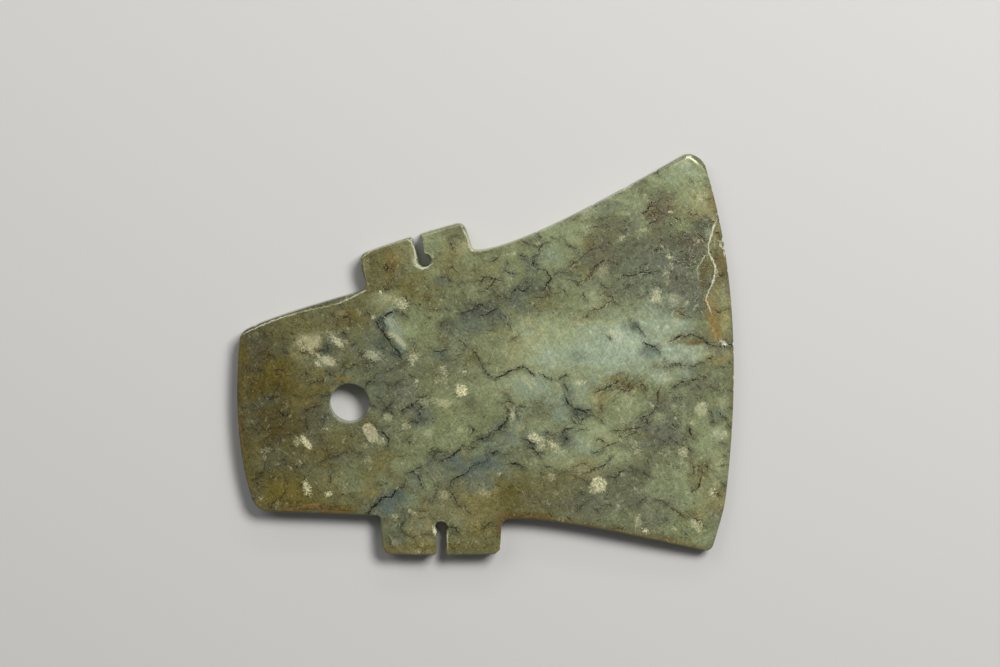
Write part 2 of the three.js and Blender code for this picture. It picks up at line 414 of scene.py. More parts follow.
# bevels worn along an edge: frame line of the inner crease, slope, how much painted shade darkens the band
WORN = [
    ([(241, 337), (244.6, 333.4), (256.7, 327.6), (277.4, 319.3), (297.4, 312.9), (317.4, 308.4), (336, 304.2),
      (350.3, 298.4), (358, 294.2), (365.3, 290.4)], 0.60, 0.9),
    ([(362, 258), (368, 253), (374.5, 250), (386, 246), (397, 242.8), (408.5, 239.8)], 0.5, 0.5),
    ([(422, 237), (440, 231), (455, 226.8), (462.5, 225.8)], 0.5, 0.4),
    ([(461.8, 228), (465, 234.2), (468.4, 245.5), (471.5, 251.5)], 0.4, 0.0),
    ([(575, 217), (603.6, 201.4), (622, 191), (640, 180.8), (655, 173.6)], 0.5, 0.4),
    ([(648, 177.5), (658.7, 174.2), (671.2, 166.9), (681, 161.2), (686.9, 158.1), (690, 157.5), (696.2, 161.5),
      (702.5, 166.9), (705, 170.2), (707, 177)], 0.60, 0.9),
    ([(706, 176), (710, 190), (717, 216), (722.5, 240)], 0.35, 0.3),
]


def line_distance(p, line):
    d = np.full(len(p), 1e9)
    for a, b in zip(line[:-1], line[1:]):
        d = np.minimum(d, to_segment(p, a[None], b[None]))
    return d


def beyond(p, line):
    """How far (mm) each point lies outside a crease, and how far along it (0..1)."""
    near, side, along = np.full(len(p), 1e9), np.zeros(len(p)), np.zeros(len(p))
    lens = np.hypot(*np.diff(line, axis=0).T)
    starts = np.r_[0, np.cumsum(lens)]
    for i, (a, b) in enumerate(zip(line[:-1], line[1:])):
        ab = b - a
        t = np.clip(((p - a) @ ab) / (ab @ ab), 0, 1)
        e = p - a - t[:, None] * ab
        d = np.hypot(e[:, 0], e[:, 1])
        c = (ab[0] * (p[:, 1] - a[1]) - ab[1] * (p[:, 0] - a[0])) / lens[i]
        take = d < near - 1e-9
        near[take] = d[take]
        side[take] = np.where(c[take] > 0, d[take], -d[take])
        along[take] = ((starts[i] + t * lens[i]) / starts[-1])[take]
    return side, along


def worn(p, d):
    """Drop of the bevels at each point (mm), and how much painted shade darkens the band there (0..1)."""
    drop, bevel_shade = np.zeros(len(p)), np.zeros(len(p))
    for line, slope, dim in WORN:
        q = spot(line)
        lo, hi = q.min(0) - 3, q.max(0) + 3
        box = np.where(((p > lo) & (p < hi)).all(1) & (d < 3.0))[0]
        if not len(box):
            continue
        out, along = beyond(p[box], q)
        out = out + 0.05 * noise(p[box], 2.4, 5)
        ends = smooth(0.0, 0.06, along) * smooth(1.0, 0.94, along) * smooth(3.0, 2.2, np.abs(out))
        drop[box] = np.maximum(drop[box], slope * np.clip(out, 0, 1.6) * ends)
        # painted shade: the band outside the crease is darkened
        bevel_shade[box] = np.maximum(bevel_shade[box], dim * smooth(-0.02, 0.22, out) * ends)
    return drop, bevel_shade


# shallow flakes lost from the surface: frame position, radii (mm), depth (mm)
SCARS = [
    ((722.5, 246.0), 1.5, 1.5, 0.30), ((724.8, 343.5), 1.5, 0.7, 0.22), ((626.5, 187.5), 2.1, 0.8, 0.22),
    ((645.5, 531.0), 0.9, 0.6, 0.14), ((712.5, 492.5), 0.9, 0.8, 0.10), ((256.5, 328.0), 1.4, 0.8, 0.20),
    ((435.0, 530.5), 0.8, 1.2, 0.18), ((418.0, 262.0), 1.0, 1.3, 0.12), ((697.0, 525.5), 1.2, 1.0, 0.06),
    ((497.5, 549.5), 1.2, 1.0, 0.16), ((303.0, 343.5), 1.3, 1.6, 0.05), ((599.0, 484.5), 2.3, 2.2, 0.03),
]


def surface(p):
    """Half thickness at each point, and the distance from the edge."""
    d, idx = edge_distance(p)
    h = half_section(p)
    rho = np.minimum(np.where(edge_bore[idx] > 0, BORE_ROUND, EDGE_ROUND), 0.82 * h)
    t = 1 - np.clip(d / rho, 0, 1)
    h = h - rho * (1 - np.sqrt(np.clip(1 - t * t, 0, 1)))
    return h, d, idx


def show_relief(p, d):
    """What the show face has lost below its even surface, in mm."""
    loss = worn(p, d)[0]
    loss += 0.022 * (1 + noise(p, 17.0, 21)) + 0.012 * (1 + noise(p, 7.0, 22)) + 0.0035 * (1 + noise(p, 2.4, 23))
    for at, rx, ry, deep in SCARS:
        c = spot([at])[0]
        q = (p - c) / [rx, ry]
        q = q * (1 + 0.3 * noise(p, 0.9, 31))[:, None]
        loss += deep * np.clip(1 - (q * q).sum(1), 0, 1)
    return loss


# =====================================================================================
# 5. Mesh: show face, back and walls as one closed surface
# =====================================================================================
def face_points(step, rings, thin_after):
    pts = [edge_pts]
    start = 0
    for k, off in enumerate(rings):
        skip = 2 if off > thin_after else 1
        for l, loop in enumerate(LOOPS):
            n = inward(loop)
            q = (loop + n * off)[(k % 2) * (skip - 1)::skip]
            dist, _ = edge_distance(q)
            pts.append(q[dist > off * 0.97])
    margin = rings[-1] + step * 0.55
    lo, hi = outer.min(0), outer.max(0)
    rows = []
    y, j = lo[1] + margin, 0
    while y < hi[1]:
        x = np.arange(lo[0] + (step / 2 if j % 2 else 0), hi[0], step)
        x = x[inside_rows(x, y)]
        rows.append(np.stack([x, np.full(len(x), y)], 1))
        y += step * math.sqrt(3) / 2
        j += 1
    grid = np.concatenate(rows)
    dist, _ = edge_distance(grid)
    pts.append(grid[dist > margin])
    return np.concatenate(pts)


def triangulate(pts):
    edges, base = [], 0
    for loop in LOOPS:
        n = len(loop)
        edges += [(base + i, base + (i + 1) % n) for i in range(n)]
        base += n
    verts, _, tris, orig, _, _ = delaunay_2d_cdt([Vector(p) for p in pts], edges, [], 0, 1e-5, True)
    # the triangulation may merge points: carry the originals' numbers over
    number = np.array([o[0] if o else -1 for o in orig])
    if (number < 0).any() or len(verts) != len(pts):
        raise RuntimeError("two mesh points coincide")
    t = number[np.array(tris)]
    c = pts[t].mean(1)
    edge_only = (t < len(edge_pts)).all(1)
    near = edge_only | (edge_distance_fast(c) < 0.5)
    keep = np.ones(len(t), bool)
    keep[near] = inside(c[near])
    a, b, d = pts[t[:, 0]], pts[t[:, 1]], pts[t[:, 2]]
    area = (b[:, 0] - a[:, 0]) * (d[:, 1] - a[:, 1]) - (b[:, 1] - a[:, 1]) * (d[:, 0] - a[:, 0])
    t[area < 0] = t[area < 0][:, ::-1]
    return t[keep & (np.abs(area) > 1e-7)]


def edge_distance_fast(p):
    return np.array([tree.find((q[0], q[1], 0))[2] for q in p])


front_xy = face_points(FACE_STEP, [0.07, 0.19, 0.36, 0.6, 0.92], 0.3)
back_xy = face_points(BACK_STEP, [0.12, 0.34, 0.75], 0.3)
front_tri = triangulate(front_xy)
back_tri = triangulate(back_xy)

h_front, d_front, _ = surface(front_xy)
h_back, d_back, _ = surface(back_xy)
z_front = THICKNESS / 2 + h_front - np.minimum(show_relief(front_xy, d_front), h_front * 0.8)
z_back = THICKNESS / 2 - h_back + 0.012 * (1 + noise(back_xy, 15.0, 41)) * (1 - np.exp(-d_back / 2.0))

nb = len(edge_pts)
nf, nk = len(front_xy), len(back_xy)
levels = []
for k in range(1, WALL_LEVELS):
    f = k / WALL_LEVELS
    z = z_front[:nb] * (1 - f) + z_back[:nb] * f
    swell = 0.05 * (1 - (2 * f - 1) ** 2) + 0.03 * noise(np.stack([edge_pts @ [1.0, 0.7], z * 2 + 40], 1), 2.2, 51)
    xy = edge_pts + edge_in * np.maximum(0.04 - swell, 0.0)[:, None]
    levels.append(np.column_stack([xy, z]))

verts = np.concatenate([np.column_stack([front_xy, z_front]), np.column_stack([back_xy, z_back]), *levels])
level_base = [0] + [nf + nk + nb * (k - 1) for k in range(1, WALL_LEVELS)] + [nf]
quads, quad_at = [], []
base = 0
for loop in LOOPS:
    n = len(loop)
    i = base + np.arange(n)
    j = base + (np.arange(n) + 1) % n
    for k in range(WALL_LEVELS):
        a, b = level_base[k], level_base[k + 1]
        quads.append(np.stack([i + a, i + b, j + b, j + a], 1))
        quad_at.append(np.stack([i, np.full(n, k)], 1))
    base += n
quads, quad_at = np.concatenate(quads), np.concatenate(quad_at)
wall_tri = np.concatenate([quads[:, [0, 1, 2]], quads[:, [0, 2, 3]]])
faces = np.concatenate([front_tri, back_tri[:, ::-1] + nf, wall_tri])

# the axe frame's origin is the hole; the row's is under the middle of the outline
cad_lo, cad_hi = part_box("axe_head")
plain = plain_outline()
shift = (plain.min(0) + plain.max(0)) / 2

place = (verts - [shift[0], shift[1], 0]) * MM
lo, hi = np.array(cad_lo), np.array(cad_hi)
place = np.clip(place, lo, hi)

mesh = bpy.data.meshes.new("jade_axe_head")
mesh.vertices.add(len(place))
mesh.vertices.foreach_set("co", place.astype(np.float32).ravel())
mesh.loops.add(len(faces) * 3)
mesh.loops.foreach_set("vertex_index", faces.astype(np.int32).ravel())
mesh.polygons.add(len(faces))
mesh.polygons.foreach_set("loop_start", np.arange(0, len(faces) * 3, 3, dtype=np.int32))
mesh.polygons.foreach_set("use_smooth", np.ones(len(faces), bool))
mesh.update(calc_edges=True)
mesh.validate(verbose=False)

# ---- UV: the show face large, the back smaller, the walls in strips below it
uv = np.zeros((len(faces), 3, 2))
lo2, hi2 = outer.min(0), outer.max(0)
size = hi2 - lo2
s1 = 0.97 / size[0]
nft, nbt = len(front_tri), len(back_tri)
uv[:nft] = (front_xy[front_tri] - lo2) * s1 + [0.015, 0.985 - size[1] * s1]
room = 0.985 - size[1] * s1 - 0.03
s2 = room / size[1]
bx = back_xy[back_tri[:, ::-1]] - lo2
bx[..., 0] = size[0] - bx[..., 0]
uv[nft:nft + nbt] = bx * s2 + [0.015, 0.012]
strip_left, strip_width = 0.015 + size[0] * s2 + 0.02, 0.97 - (size[0] * s2 + 0.02)
seg = np.hypot(*(edge_next - edge_pts).T)
along = np.concatenate([np.r_[0, np.cumsum(seg[:len(outer)])[:-1]],
                        800 + np.r_[0, np.cumsum(seg[len(outer):])[:-1]]])
rows_of = np.minimum((along / 125.0).astype(int), 6)
row_h = room / 7
u0 = strip_left + (along - rows_of * 125.0) / 130.0 * strip_width
u0[len(outer):] = strip_left + (along[len(outer):] - 800) / 130.0 * strip_width
rows_of[len(outer):] = 6
u1 = u0 + seg / 130.0 * strip_width
v_of = lambda i, k: 0.012 + rows_of[i] * row_h + row_h * 0.86 * (1 - k / WALL_LEVELS)
qi, qk = quad_at[:, 0], quad_at[:, 1]
q_uv = np.stack([np.stack([u0[qi], v_of(qi, qk)], 1), np.stack([u0[qi], v_of(qi, qk + 1)], 1),
                 np.stack([u1[qi], v_of(qi, qk + 1)], 1), np.stack([u1[qi], v_of(qi, qk)], 1)], 1)
uv[nft + nbt:] = np.concatenate([q_uv[:, [0, 1, 2]], q_uv[:, [0, 2, 3]]])
layer = mesh.uv_layers.new(name="OFBake")
layer.data.foreach_set("uv", uv.astype(np.float32).ravel())

# =====================================================================================
# 6. Markings. Positions are in the photograph's frame; colours are named.
# =====================================================================================
def tint(r, g, b):
    """A colour as it looks, 0..255, to linear light."""
    c = np.array([r, g, b], float) / 255
    return np.where(c <= 0.04045, c / 12.92, ((c + 0.055) / 1.055) ** 2.4)


COLOURS = dict(
    umber=tint(84, 75, 42), olive=tint(98, 91, 48), khaki=tint(110, 105, 66), taupe=tint(88, 84, 66),
    sage_dark=tint(94, 95, 70), sage=tint(108, 110, 82), moss=tint(124, 129, 92), leaf=tint(138, 145, 108),
    pale_leaf=tint(152, 159, 120), straw=tint(150, 148, 108), celadon=tint(156, 168, 142), mist=tint(172, 182, 158),
    slate=tint(72, 78, 70), steel=tint(92, 102, 90), mauve=tint(102, 97, 76), grey=tint(106, 108, 90),
    amber=tint(100, 86, 28), gold=tint(118, 104, 44), aqua=tint(128, 143, 124), cool=tint(112, 122, 104), bluegrey=tint(97, 107, 99), lilac=tint(104, 104, 90), pearl=tint(158, 168, 150), rose=tint(120, 108, 88),
    copper=tint(150, 118, 72), rust=tint(112, 92, 54), chalk=tint(202, 202, 176),
    russet=tint(92, 68, 32), ochre=tint(130, 114, 64), cream=tint(186, 180, 142), honey=tint(140, 130, 84),
)

# how thickly fine dark threads run through stone of each colour
BUSY = dict(umber=0.75, olive=0.65, khaki=0.55, taupe=0.85, sage_dark=0.7, sage=0.6, moss=0.4, leaf=0.25,
            pale_leaf=0.12, straw=0.25, celadon=0.05, mist=0.0, slate=0.6, steel=0.3, mauve=1.0, grey=0.95,
            russet=0.6, ochre=0.3, cream=0.0, honey=0.35, amber=0.7, gold=0.4, aqua=0.15, rose=0.8, cool=0.5, pearl=0.0, bluegrey=0.2, lilac=0.9,
            copper=0.3, rust=0.6, chalk=0.0)

# large areas first, then what lies over them:
# centre x, y, half width, half height, turn in degrees, colour, how much, how soft its edge is
CLOUDS = [
    (262, 420, 62, 112, 0, "umber", 1.0, 0.8), (300, 480, 66, 44, 0, "olive", 0.7, 0.8),
    (335, 445, 46, 46, 0, "sage", 0.75, 0.8), (330, 345, 52, 34, -14, "khaki", 0.7, 0.8),
    (378, 275, 30, 42, 0, "khaki", 0.8, 0.6), (433, 252, 26, 34, 0, "leaf", 0.8, 0.7),
    (352, 365, 34, 30, 0, "sage", 0.7, 0.8), (425, 325, 40, 34, 0, "moss", 0.95, 0.8),
    (455, 272, 40, 24, 0, "khaki", 0.6, 0.8), (440, 430, 62, 42, -10, "moss", 0.95, 0.8),
    (505, 392, 46, 26, 0, "leaf", 0.95, 0.7), (470, 400, 60, 30, 0, "moss", 0.6, 0.8),
    (498, 346, 36, 26, 0, "moss", 0.9, 0.7), (535, 340, 40, 26, 0, "pale_leaf", 0.95, 0.8),
    (520, 262, 44, 24, -20, "moss", 0.8, 0.8), (565, 238, 50, 20, -26, "leaf", 0.95, 0.8),
    (550, 258, 22, 16, 0, "leaf", 0.7, 0.7), (625, 205, 48, 20, -28, "leaf", 0.95, 0.8),
    (688, 174, 26, 18, -24, "leaf", 0.95, 0.8), (685, 168, 16, 7, -26, "celadon", 0.45, 0.7), (694, 197, 22, 20, 0, "leaf", 0.8, 0.8), (698, 200, 18, 16, 0, "straw", 0.5, 0.8),
    (640, 268, 74, 44, 0, "sage", 0.95, 0.7), (690, 285, 34, 40, 0, "grey", 0.8, 0.8),
    (600, 340, 62, 34, 6, "pale_leaf", 0.9, 0.8), (608, 352, 52, 22, 6, "celadon", 0.95, 0.8),
    (660, 322, 34, 24, 0, "celadon", 0.85, 0.8), (684, 352, 28, 10, 0, "mist", 0.62, 0.6),
    (556, 408, 34, 28, 0, "sage", 0.6, 0.8), (600, 430, 44, 22, -6, "leaf", 0.8, 0.8),
    (635, 400, 40, 24, 0, "moss", 0.9, 0.8), (668, 425, 40, 28, 0, "grey", 0.8, 0.8),
    (708, 415, 28, 50, 0, "moss", 0.85, 0.8), (560, 462, 60, 18, 6, "leaf", 0.7, 0.8),
    (545, 492, 60, 26, 4, "khaki", 0.8, 0.8), (620, 485, 60, 40, 8, "sage", 0.9, 0.8),
    (682, 492, 36, 44, 0, "leaf", 0.85, 0.8), (690, 530, 30, 18, 12, "moss", 0.8, 0.8),
    (410, 528, 34, 34, 0, "sage", 0.9, 0.8), (475, 532, 32, 30, 0, "khaki", 0.9, 0.8),
    (505, 495, 26, 22, 0, "olive", 0.7, 0.8), (385, 470, 26, 26, 0, "khaki", 0.5, 0.8),
    (284, 376, 42, 34, 0, "amber", 0.5, 0.8), (285, 495, 40, 18, 0, "amber", 0.4, 0.8),
    (318, 452, 36, 26, -10, "amber", 0.45, 0.8), (345, 312, 24, 14, -14, "amber", 0.35, 0.8),
    (420, 284, 26, 12, 20, "gold", 0.35, 0.8), (532, 386, 30, 14, 0, "celadon", 0.45, 0.8),
    (600, 458, 40, 12, 4, "leaf", 0.5, 0.8), (640, 268, 34, 24, 0, "cool", 0.35, 0.8),
    (708, 448, 20, 20, 10, "leaf", 0.45, 0.8),
    (545, 372, 36, 18, 0, "pale_leaf", 0.55, 0.8), (611, 376, 26, 12, 0, "celadon", 0.5, 0.8),
    (668, 382, 22, 13, 0, "leaf", 0.6, 0.8), (576, 293, 26, 20, 0, "leaf", 0.6, 0.8),
    (474, 285, 16, 12, 0, "leaf", 0.4, 0.8), (660, 178, 18, 9, -28, "leaf", 0.8, 0.8),
    # butt end
    (252, 355, 12, 26, 0, "taupe", 0.5, 0.7), (282, 368, 22, 9, -8, "olive", 0.8, 0.7),
    (300, 372, 20, 12, 0, "sage_dark", 0.5, 0.8), (272, 390, 26, 12, 20, "umber", 0.7, 0.8),
    (262, 402, 26, 7, 12, "sage_dark", 0.55, 0.6), (318, 420, 14, 12, 0, "grey", 0.6, 0.7),
    (290, 428, 20, 10, 20, "umber", 0.6, 0.7), (250, 425, 10, 14, 0, "sage_dark", 0.4, 0.7),
    (270, 438, 16, 8, -20, "taupe", 0.6, 0.7), (272, 460, 22, 12, 10, "sage_dark", 0.6, 0.8),
    (300, 462, 20, 12, 0, "taupe", 0.4, 0.8), (274, 488, 20, 13, 0, "olive", 0.9, 0.6),
    (255, 492, 8, 14, -25, "taupe", 0.7, 0.6), (292, 490, 9, 12, 20, "ochre", 0.35, 0.8),
    (330, 455, 14, 5, -20, "russet", 0.35, 0.7), (338, 458, 12, 5, -20, "grey", 0.6, 0.6),
    (352, 480, 28, 16, 0, "moss", 0.5, 0.8), (340, 500, 24, 10, 0, "khaki", 0.6, 0.8),
    (312, 470, 14, 8, 0, "sage", 0.4, 0.8), (282, 412, 10, 6, 30, "umber", 0.6, 0.7),
    (300, 402, 16, 8, 0, "khaki", 0.5, 0.8), (312, 386, 12, 7, 0, "khaki", 0.5, 0.8),
    (283, 348, 14, 10, 0, "sage_dark", 0.6, 0.8), (262, 342, 10, 8, 0, "taupe", 0.5, 0.8),
    (300, 325, 30, 10, -18, "khaki", 0.6, 0.8), (340, 318, 14, 9, 0, "mauve", 0.5, 0.8),
    # around the hole
    (343, 379, 9, 4, -10, "ochre", 0.5, 0.7), (335, 392, 5, 8, 0, "honey", 0.4, 0.7),
    (326, 350, 6, 5, 0, "slate", 0.8, 0.6), (334, 349, 6, 5, 0, "mauve", 0.6, 0.6),
    (332, 373, 5, 3, 20, "taupe", 0.7, 0.6), (385, 392, 24, 18, 0, "sage_dark", 0.7, 0.8),
    (405, 388, 16, 12, 0, "grey", 0.55, 0.7), (360, 392, 10, 6, 0, "sage", 0.5, 0.7),
    (385, 350, 20, 9, 40, "sage_dark", 0.55, 0.8), (375, 440, 22, 26, 0, "sage", 0.6, 0.8),
    (396, 425, 26, 12, 10, "sage", 0.6, 0.8), (420, 416, 15, 11, -10, "slate", 0.55, 0.8),
    (388, 408, 7, 6, 0, "slate", 0.5, 0.7), (345, 438, 16, 12, 0, "khaki", 0.5, 0.8),
    # upper flange
    (390, 268, 7, 20, -8, "russet", 0.38, 0.8), (388, 258, 5, 6, 0, "honey", 0.35, 0.7),
    (370, 262, 8, 18, 10, "umber", 0.35, 0.8), (403, 254, 13, 12, 0, "honey", 0.45, 0.8),
    (402, 278, 12, 12, 0, "khaki", 0.4, 0.8), (398, 275, 4, 7, 0, "grey", 0.4, 0.7),
    (451, 250, 10, 26, 0, "honey", 0.4, 0.8), (452, 240, 7, 10, 0, "mauve", 0.4, 0.7),
    (465, 248, 9, 14, -15, "straw", 0.65, 0.7), (435, 276, 9, 9, 0, "leaf", 0.5, 0.7),
    (415, 288, 26, 9, 12, "khaki", 0.6, 0.8), (413, 294, 12, 8, 0, "olive", 0.4, 0.8),
    (444, 280, 10, 6, 0, "steel", 0.55, 0.7), (386, 299, 17, 9, 12, "pale_leaf", 0.45, 0.7),
    (472, 262, 18, 9, 0, "khaki", 0.4, 0.8), (488, 268, 8, 14, 0, "leaf", 0.4, 0.8),
    # dark and blue-grey clouds of the middle
    (386, 322, 9, 9, 20, "steel", 0.85, 0.6), (379, 320, 6, 5, 30, "slate", 0.6, 0.6),
    (391, 314, 8, 4, -30, "slate", 0.55, 0.6), (384, 340, 6, 14, -35, "slate", 0.55, 0.7),
    (396, 352, 8, 6, 15, "steel", 0.85, 0.6), (404, 316, 6, 5, 0, "taupe", 0.5, 0.7),
    (388, 368, 16, 6, -15, "grey", 0.5, 0.7), (478, 312, 18, 8, 10, "slate", 0.62, 0.7),
    (480, 308, 7, 4, 0, "mauve", 0.5, 0.6), (470, 325, 22, 9, -6, "steel", 0.6, 0.8),
    (495, 318, 14, 9, -25, "slate", 0.55, 0.8), (520, 298, 16, 8, -28, "steel", 0.8, 0.7),
    (532, 285, 12, 12, -40, "slate", 0.55, 0.7), (532, 265, 9, 9, 0, "steel", 0.55, 0.7),
    (540, 256, 7, 6, 0, "grey", 0.7, 0.6), (541, 292, 10, 6, -20, "taupe", 0.4, 0.8),
    (511, 300, 14, 5, -20, "steel", 0.6, 0.7), (455, 340, 16, 14, 0, "grey", 0.6, 0.8),
    (442, 356, 9, 6, 0, "steel", 0.5, 0.7), (475, 358, 9, 12, 20, "khaki", 0.5, 0.8),
    (443, 325, 8, 7, 0, "mauve", 0.55, 0.7), (443, 342, 9, 6, -20, "khaki", 0.5, 0.8),
    (432, 370, 7, 12, 20, "khaki", 0.4, 0.8), (408, 328, 14, 16, 0, "leaf", 0.3, 0.8),
    (503, 332, 18, 8, -15, "khaki", 0.45, 0.8), (512, 345, 12, 16, 0, "straw", 0.4, 0.8),
    # pale centre
    (545, 352, 24, 12, 0, "celadon", 0.35, 0.8), (530, 333, 12, 14, 0, "straw", 0.4, 0.8),
    (618, 335, 11, 12, 0, "mist", 0.6, 0.8), (640, 345, 22, 12, 10, "mist", 0.45, 0.8),
    (590, 330, 20, 7, 0, "celadon", 0.5, 0.8), (578, 355, 11, 6, -10, "steel", 0.5, 0.8),
    (636, 327, 6, 4.5, 35, "slate", 0.7, 0.6), (627, 326, 7, 6, 0, "steel", 0.4, 0.8),
    (650, 350, 13, 6, 15, "steel", 0.75, 0.7), (655, 347, 6, 3, 25, "slate", 0.4, 0.6),
    (668, 352, 9, 6, 0, "celadon", 0.6, 0.8), (585, 372, 26, 8, 0, "leaf", 0.5, 0.8),
    # brown and ochre in the pale centre
    (625, 386, 24, 7, -14, "khaki", 0.7, 0.7), (622, 386, 14, 3.5, -14, "russet", 0.35, 0.7),
    (598, 396, 13, 8, 0, "honey", 0.7, 0.7), (596, 409, 7, 6, 0, "ochre", 0.45, 0.7),
    (640, 376, 14, 8, 0, "leaf", 0.4, 0.8), (695, 342, 11, 3.5, 4, "russet", 0.5, 0.6),
    (692, 337, 24, 4, 8, "sage", 0.45, 0.7), (574, 366, 12, 10, 0, "leaf", 0.3, 0.8),
    # blue-grey lower middle
    (566, 400, 9, 14, 0, "steel", 0.6, 0.8), (579, 402, 8, 7, 0, "steel", 0.65, 0.7),
    (581, 415, 11, 8, 10, "slate", 0.8, 0.7), (563, 436, 10, 10, 0, "slate", 0.6, 0.8),
    (575, 428, 8, 8, 0, "steel", 0.5, 0.8), (548, 408, 14, 12, 0, "sage", 0.3, 0.8),
    (545, 437, 9, 6, 0, "mauve", 0.4, 0.7), (568, 444, 9, 7, 0, "steel", 0.6, 0.8),
    (585, 446, 14, 10, 0, "celadon", 0.4, 0.8), (512, 438, 12, 8, 0, "celadon", 0.35, 0.8),
    (508, 437, 9, 6, 0, "steel", 0.5, 0.8), (486, 439, 9, 4.5, -25, "slate", 0.7, 0.6),
    (500, 426, 8, 5, -35, "steel", 0.6, 0.7), (512, 412, 5, 8, 0, "mauve", 0.55, 0.7),
    (454, 460, 15, 6, -35, "steel", 0.85, 0.6), (449, 466, 9, 5, -30, "slate", 0.4, 0.7),
    (434, 460, 10, 9, 0, "grey", 0.6, 0.7), (485, 467, 30, 8, -22, "steel", 0.9, 0.7),
    (470, 478, 16, 7, -20, "steel", 0.6, 0.8), (462, 470, 14, 5, -28, "sage", 0.5, 0.7),
    (400, 497, 15, 6.5, -22, "steel", 0.95, 0.5), (384, 506, 12, 5, -30, "steel", 0.9, 0.5),
    (388, 500, 12, 2.5, -30, "slate", 0.5, 0.6), (424, 475, 12, 8, 30, "grey", 0.5, 0.8),
    (465, 490, 22, 9, -10, "sage_dark", 0.5, 0.8), (500, 480, 14, 9, 0, "khaki", 0.5, 0.8),
    # lower flange
    (400, 540, 16, 10, 0, "sage_dark", 0.5, 0.8), (396, 542, 6, 5, 0, "grey", 0.7, 0.7),
    (424, 506, 6, 10, 15, "ochre", 0.3, 0.8), (390, 548, 11, 5, 8, "ochre", 0.5, 0.7),
    (418, 549, 16, 5, 0, "honey", 0.5, 0.7), (425, 522, 9, 9, 0, "leaf", 0.3, 0.8),
    (456, 516, 9, 10, 0, "sage", 0.4, 0.8), (478, 505, 18, 9, 0, "olive", 0.4, 0.8),
    (470, 547, 24, 5, 0, "taupe", 0.5, 0.8), (495, 528, 7, 12, 0, "khaki", 0.4, 0.8),
    (512, 500, 14, 14, 0, "olive", 0.7, 0.8), (505, 515, 14, 5, 0, "russet", 0.35, 0.8),
    # upper blade
    (600, 246, 16, 12, 0, "mauve", 0.75, 0.7), (590, 262, 14, 7, 0, "mauve", 0.4, 0.8),
    (606, 218, 20, 8, -20, "sage", 0.7, 0.8), (588, 214, 9, 7, -20, "pale_leaf", 0.5, 0.8),
    (612, 226, 12, 6, 0, "mauve", 0.45, 0.8), (655, 212, 10, 13, 15, "mauve", 0.8, 0.7),
    (652, 205, 6, 4, -10, "russet", 0.45, 0.7), (667, 205, 10, 9, 0, "rose", 0.6, 0.8),
    (668, 196, 8, 5, 0, "mauve", 0.55, 0.7), (657, 226, 9, 14, 0, "mauve", 0.55, 0.8),
    (676, 210, 7, 9, 0, "khaki", 0.4, 0.8), (683, 226, 12, 10, 0, "moss", 0.7, 0.8),
    (703, 220, 10, 6, 0, "taupe", 0.6, 0.7), (702, 227, 9, 5, 0, "slate", 0.4, 0.7),
    (708, 233, 5, 5, 0, "celadon", 0.5, 0.8), (632, 222, 10, 14, 0, "grey", 0.55, 0.8),
    (627, 238, 11, 7, 0, "sage", 0.5, 0.8), (643, 234, 9, 6, 0, "pale_leaf", 0.35, 0.8),
    (700, 243, 16, 9, 0, "mauve", 0.6, 0.8), (692, 256, 14, 8, 0, "mauve", 0.5, 0.8),
    (660, 247, 30, 9, 0, "sage", 0.5, 0.8), (612, 262, 18, 5, 10, "mauve", 0.5, 0.7),
    (630, 290, 18, 9, 0, "grey", 0.5, 0.8), (594, 290, 11, 12, 0, "grey", 0.55, 0.7),
    (604, 274, 10, 8, 0, "grey", 0.5, 0.7), (614, 272, 7, 6, 0, "taupe", 0.5, 0.8),
    (540, 303, 20, 6, -6, "khaki", 0.7, 0.7), (556, 295, 12, 6, -10, "khaki", 0.5, 0.8),
    (572, 303, 20, 14, 0, "moss", 0.6, 0.8), (605, 297, 8, 11, 0, "khaki", 0.6, 0.8),
    (592, 314, 16, 6, -12, "khaki", 0.4, 0.8), (586, 275, 7, 7, 0, "ochre", 0.3, 0.8),
    (575, 266, 10, 5, -30, "khaki", 0.6, 0.8), (640, 312, 26, 10, 0, "moss", 0.4, 0.8),
    (548, 256, 11, 10, 0, "leaf", 0.5, 0.8), (560, 262, 10, 10, 0, "leaf", 0.5, 0.8),
    # near the cutting edge
    (719, 300, 14, 22, 0, "honey", 0.7, 0.5), (720, 325, 12, 18, 0, "honey", 0.8, 0.5),
    (712, 322, 4.5, 13, 8, "ochre", 0.9, 0.6), (716, 334, 5, 7, -35, "ochre", 0.7, 0.6),
    (700, 322, 9, 14, 0, "moss", 0.6, 0.7), (716, 262, 9, 18, 8, "khaki", 0.75, 0.7),
    (707, 266, 7, 13, -8, "khaki", 0.75, 0.5), (707, 284, 5, 9, 0, "mauve", 0.6, 0.7),
    (697, 306, 9, 12, 0, "grey", 0.6, 0.8), (713, 200, 5, 22, -12, "honey", 0.6, 0.7),
    (716, 236, 5, 12, -5, "honey", 0.5, 0.7), (720, 262, 6, 8, 0, "mauve", 0.5, 0.7),
    (718, 356, 16, 9, 0, "honey", 0.65, 0.7), (700, 352, 8, 9, 0, "pale_leaf", 0.5, 0.8),
    (688, 372, 10, 7, 0, "steel", 0.55, 0.7), (716, 375, 14, 10, 0, "sage", 0.6, 0.8),
    (702, 376, 8, 8, 0, "mauve", 0.5, 0.8), (660, 375, 12, 9, 0, "celadon", 0.5, 0.8),
    (700, 390, 22, 8, 0, "sage", 0.5, 0.8), (680, 400, 16, 8, 0, "grey", 0.5, 0.8),
    (660, 405, 9, 12, 0, "mauve", 0.45, 0.8), (724, 403, 8, 7, 0, "leaf", 0.5, 0.8),
    (701, 410, 8, 8, 0, "pale_leaf", 0.75, 0.6), (716, 418, 8, 9, 0, "sage", 0.6, 0.8),
    (718, 434, 12, 7, 0, "pale_leaf", 0.6, 0.7), (690, 432, 7, 9, 0, "khaki", 0.6, 0.8),
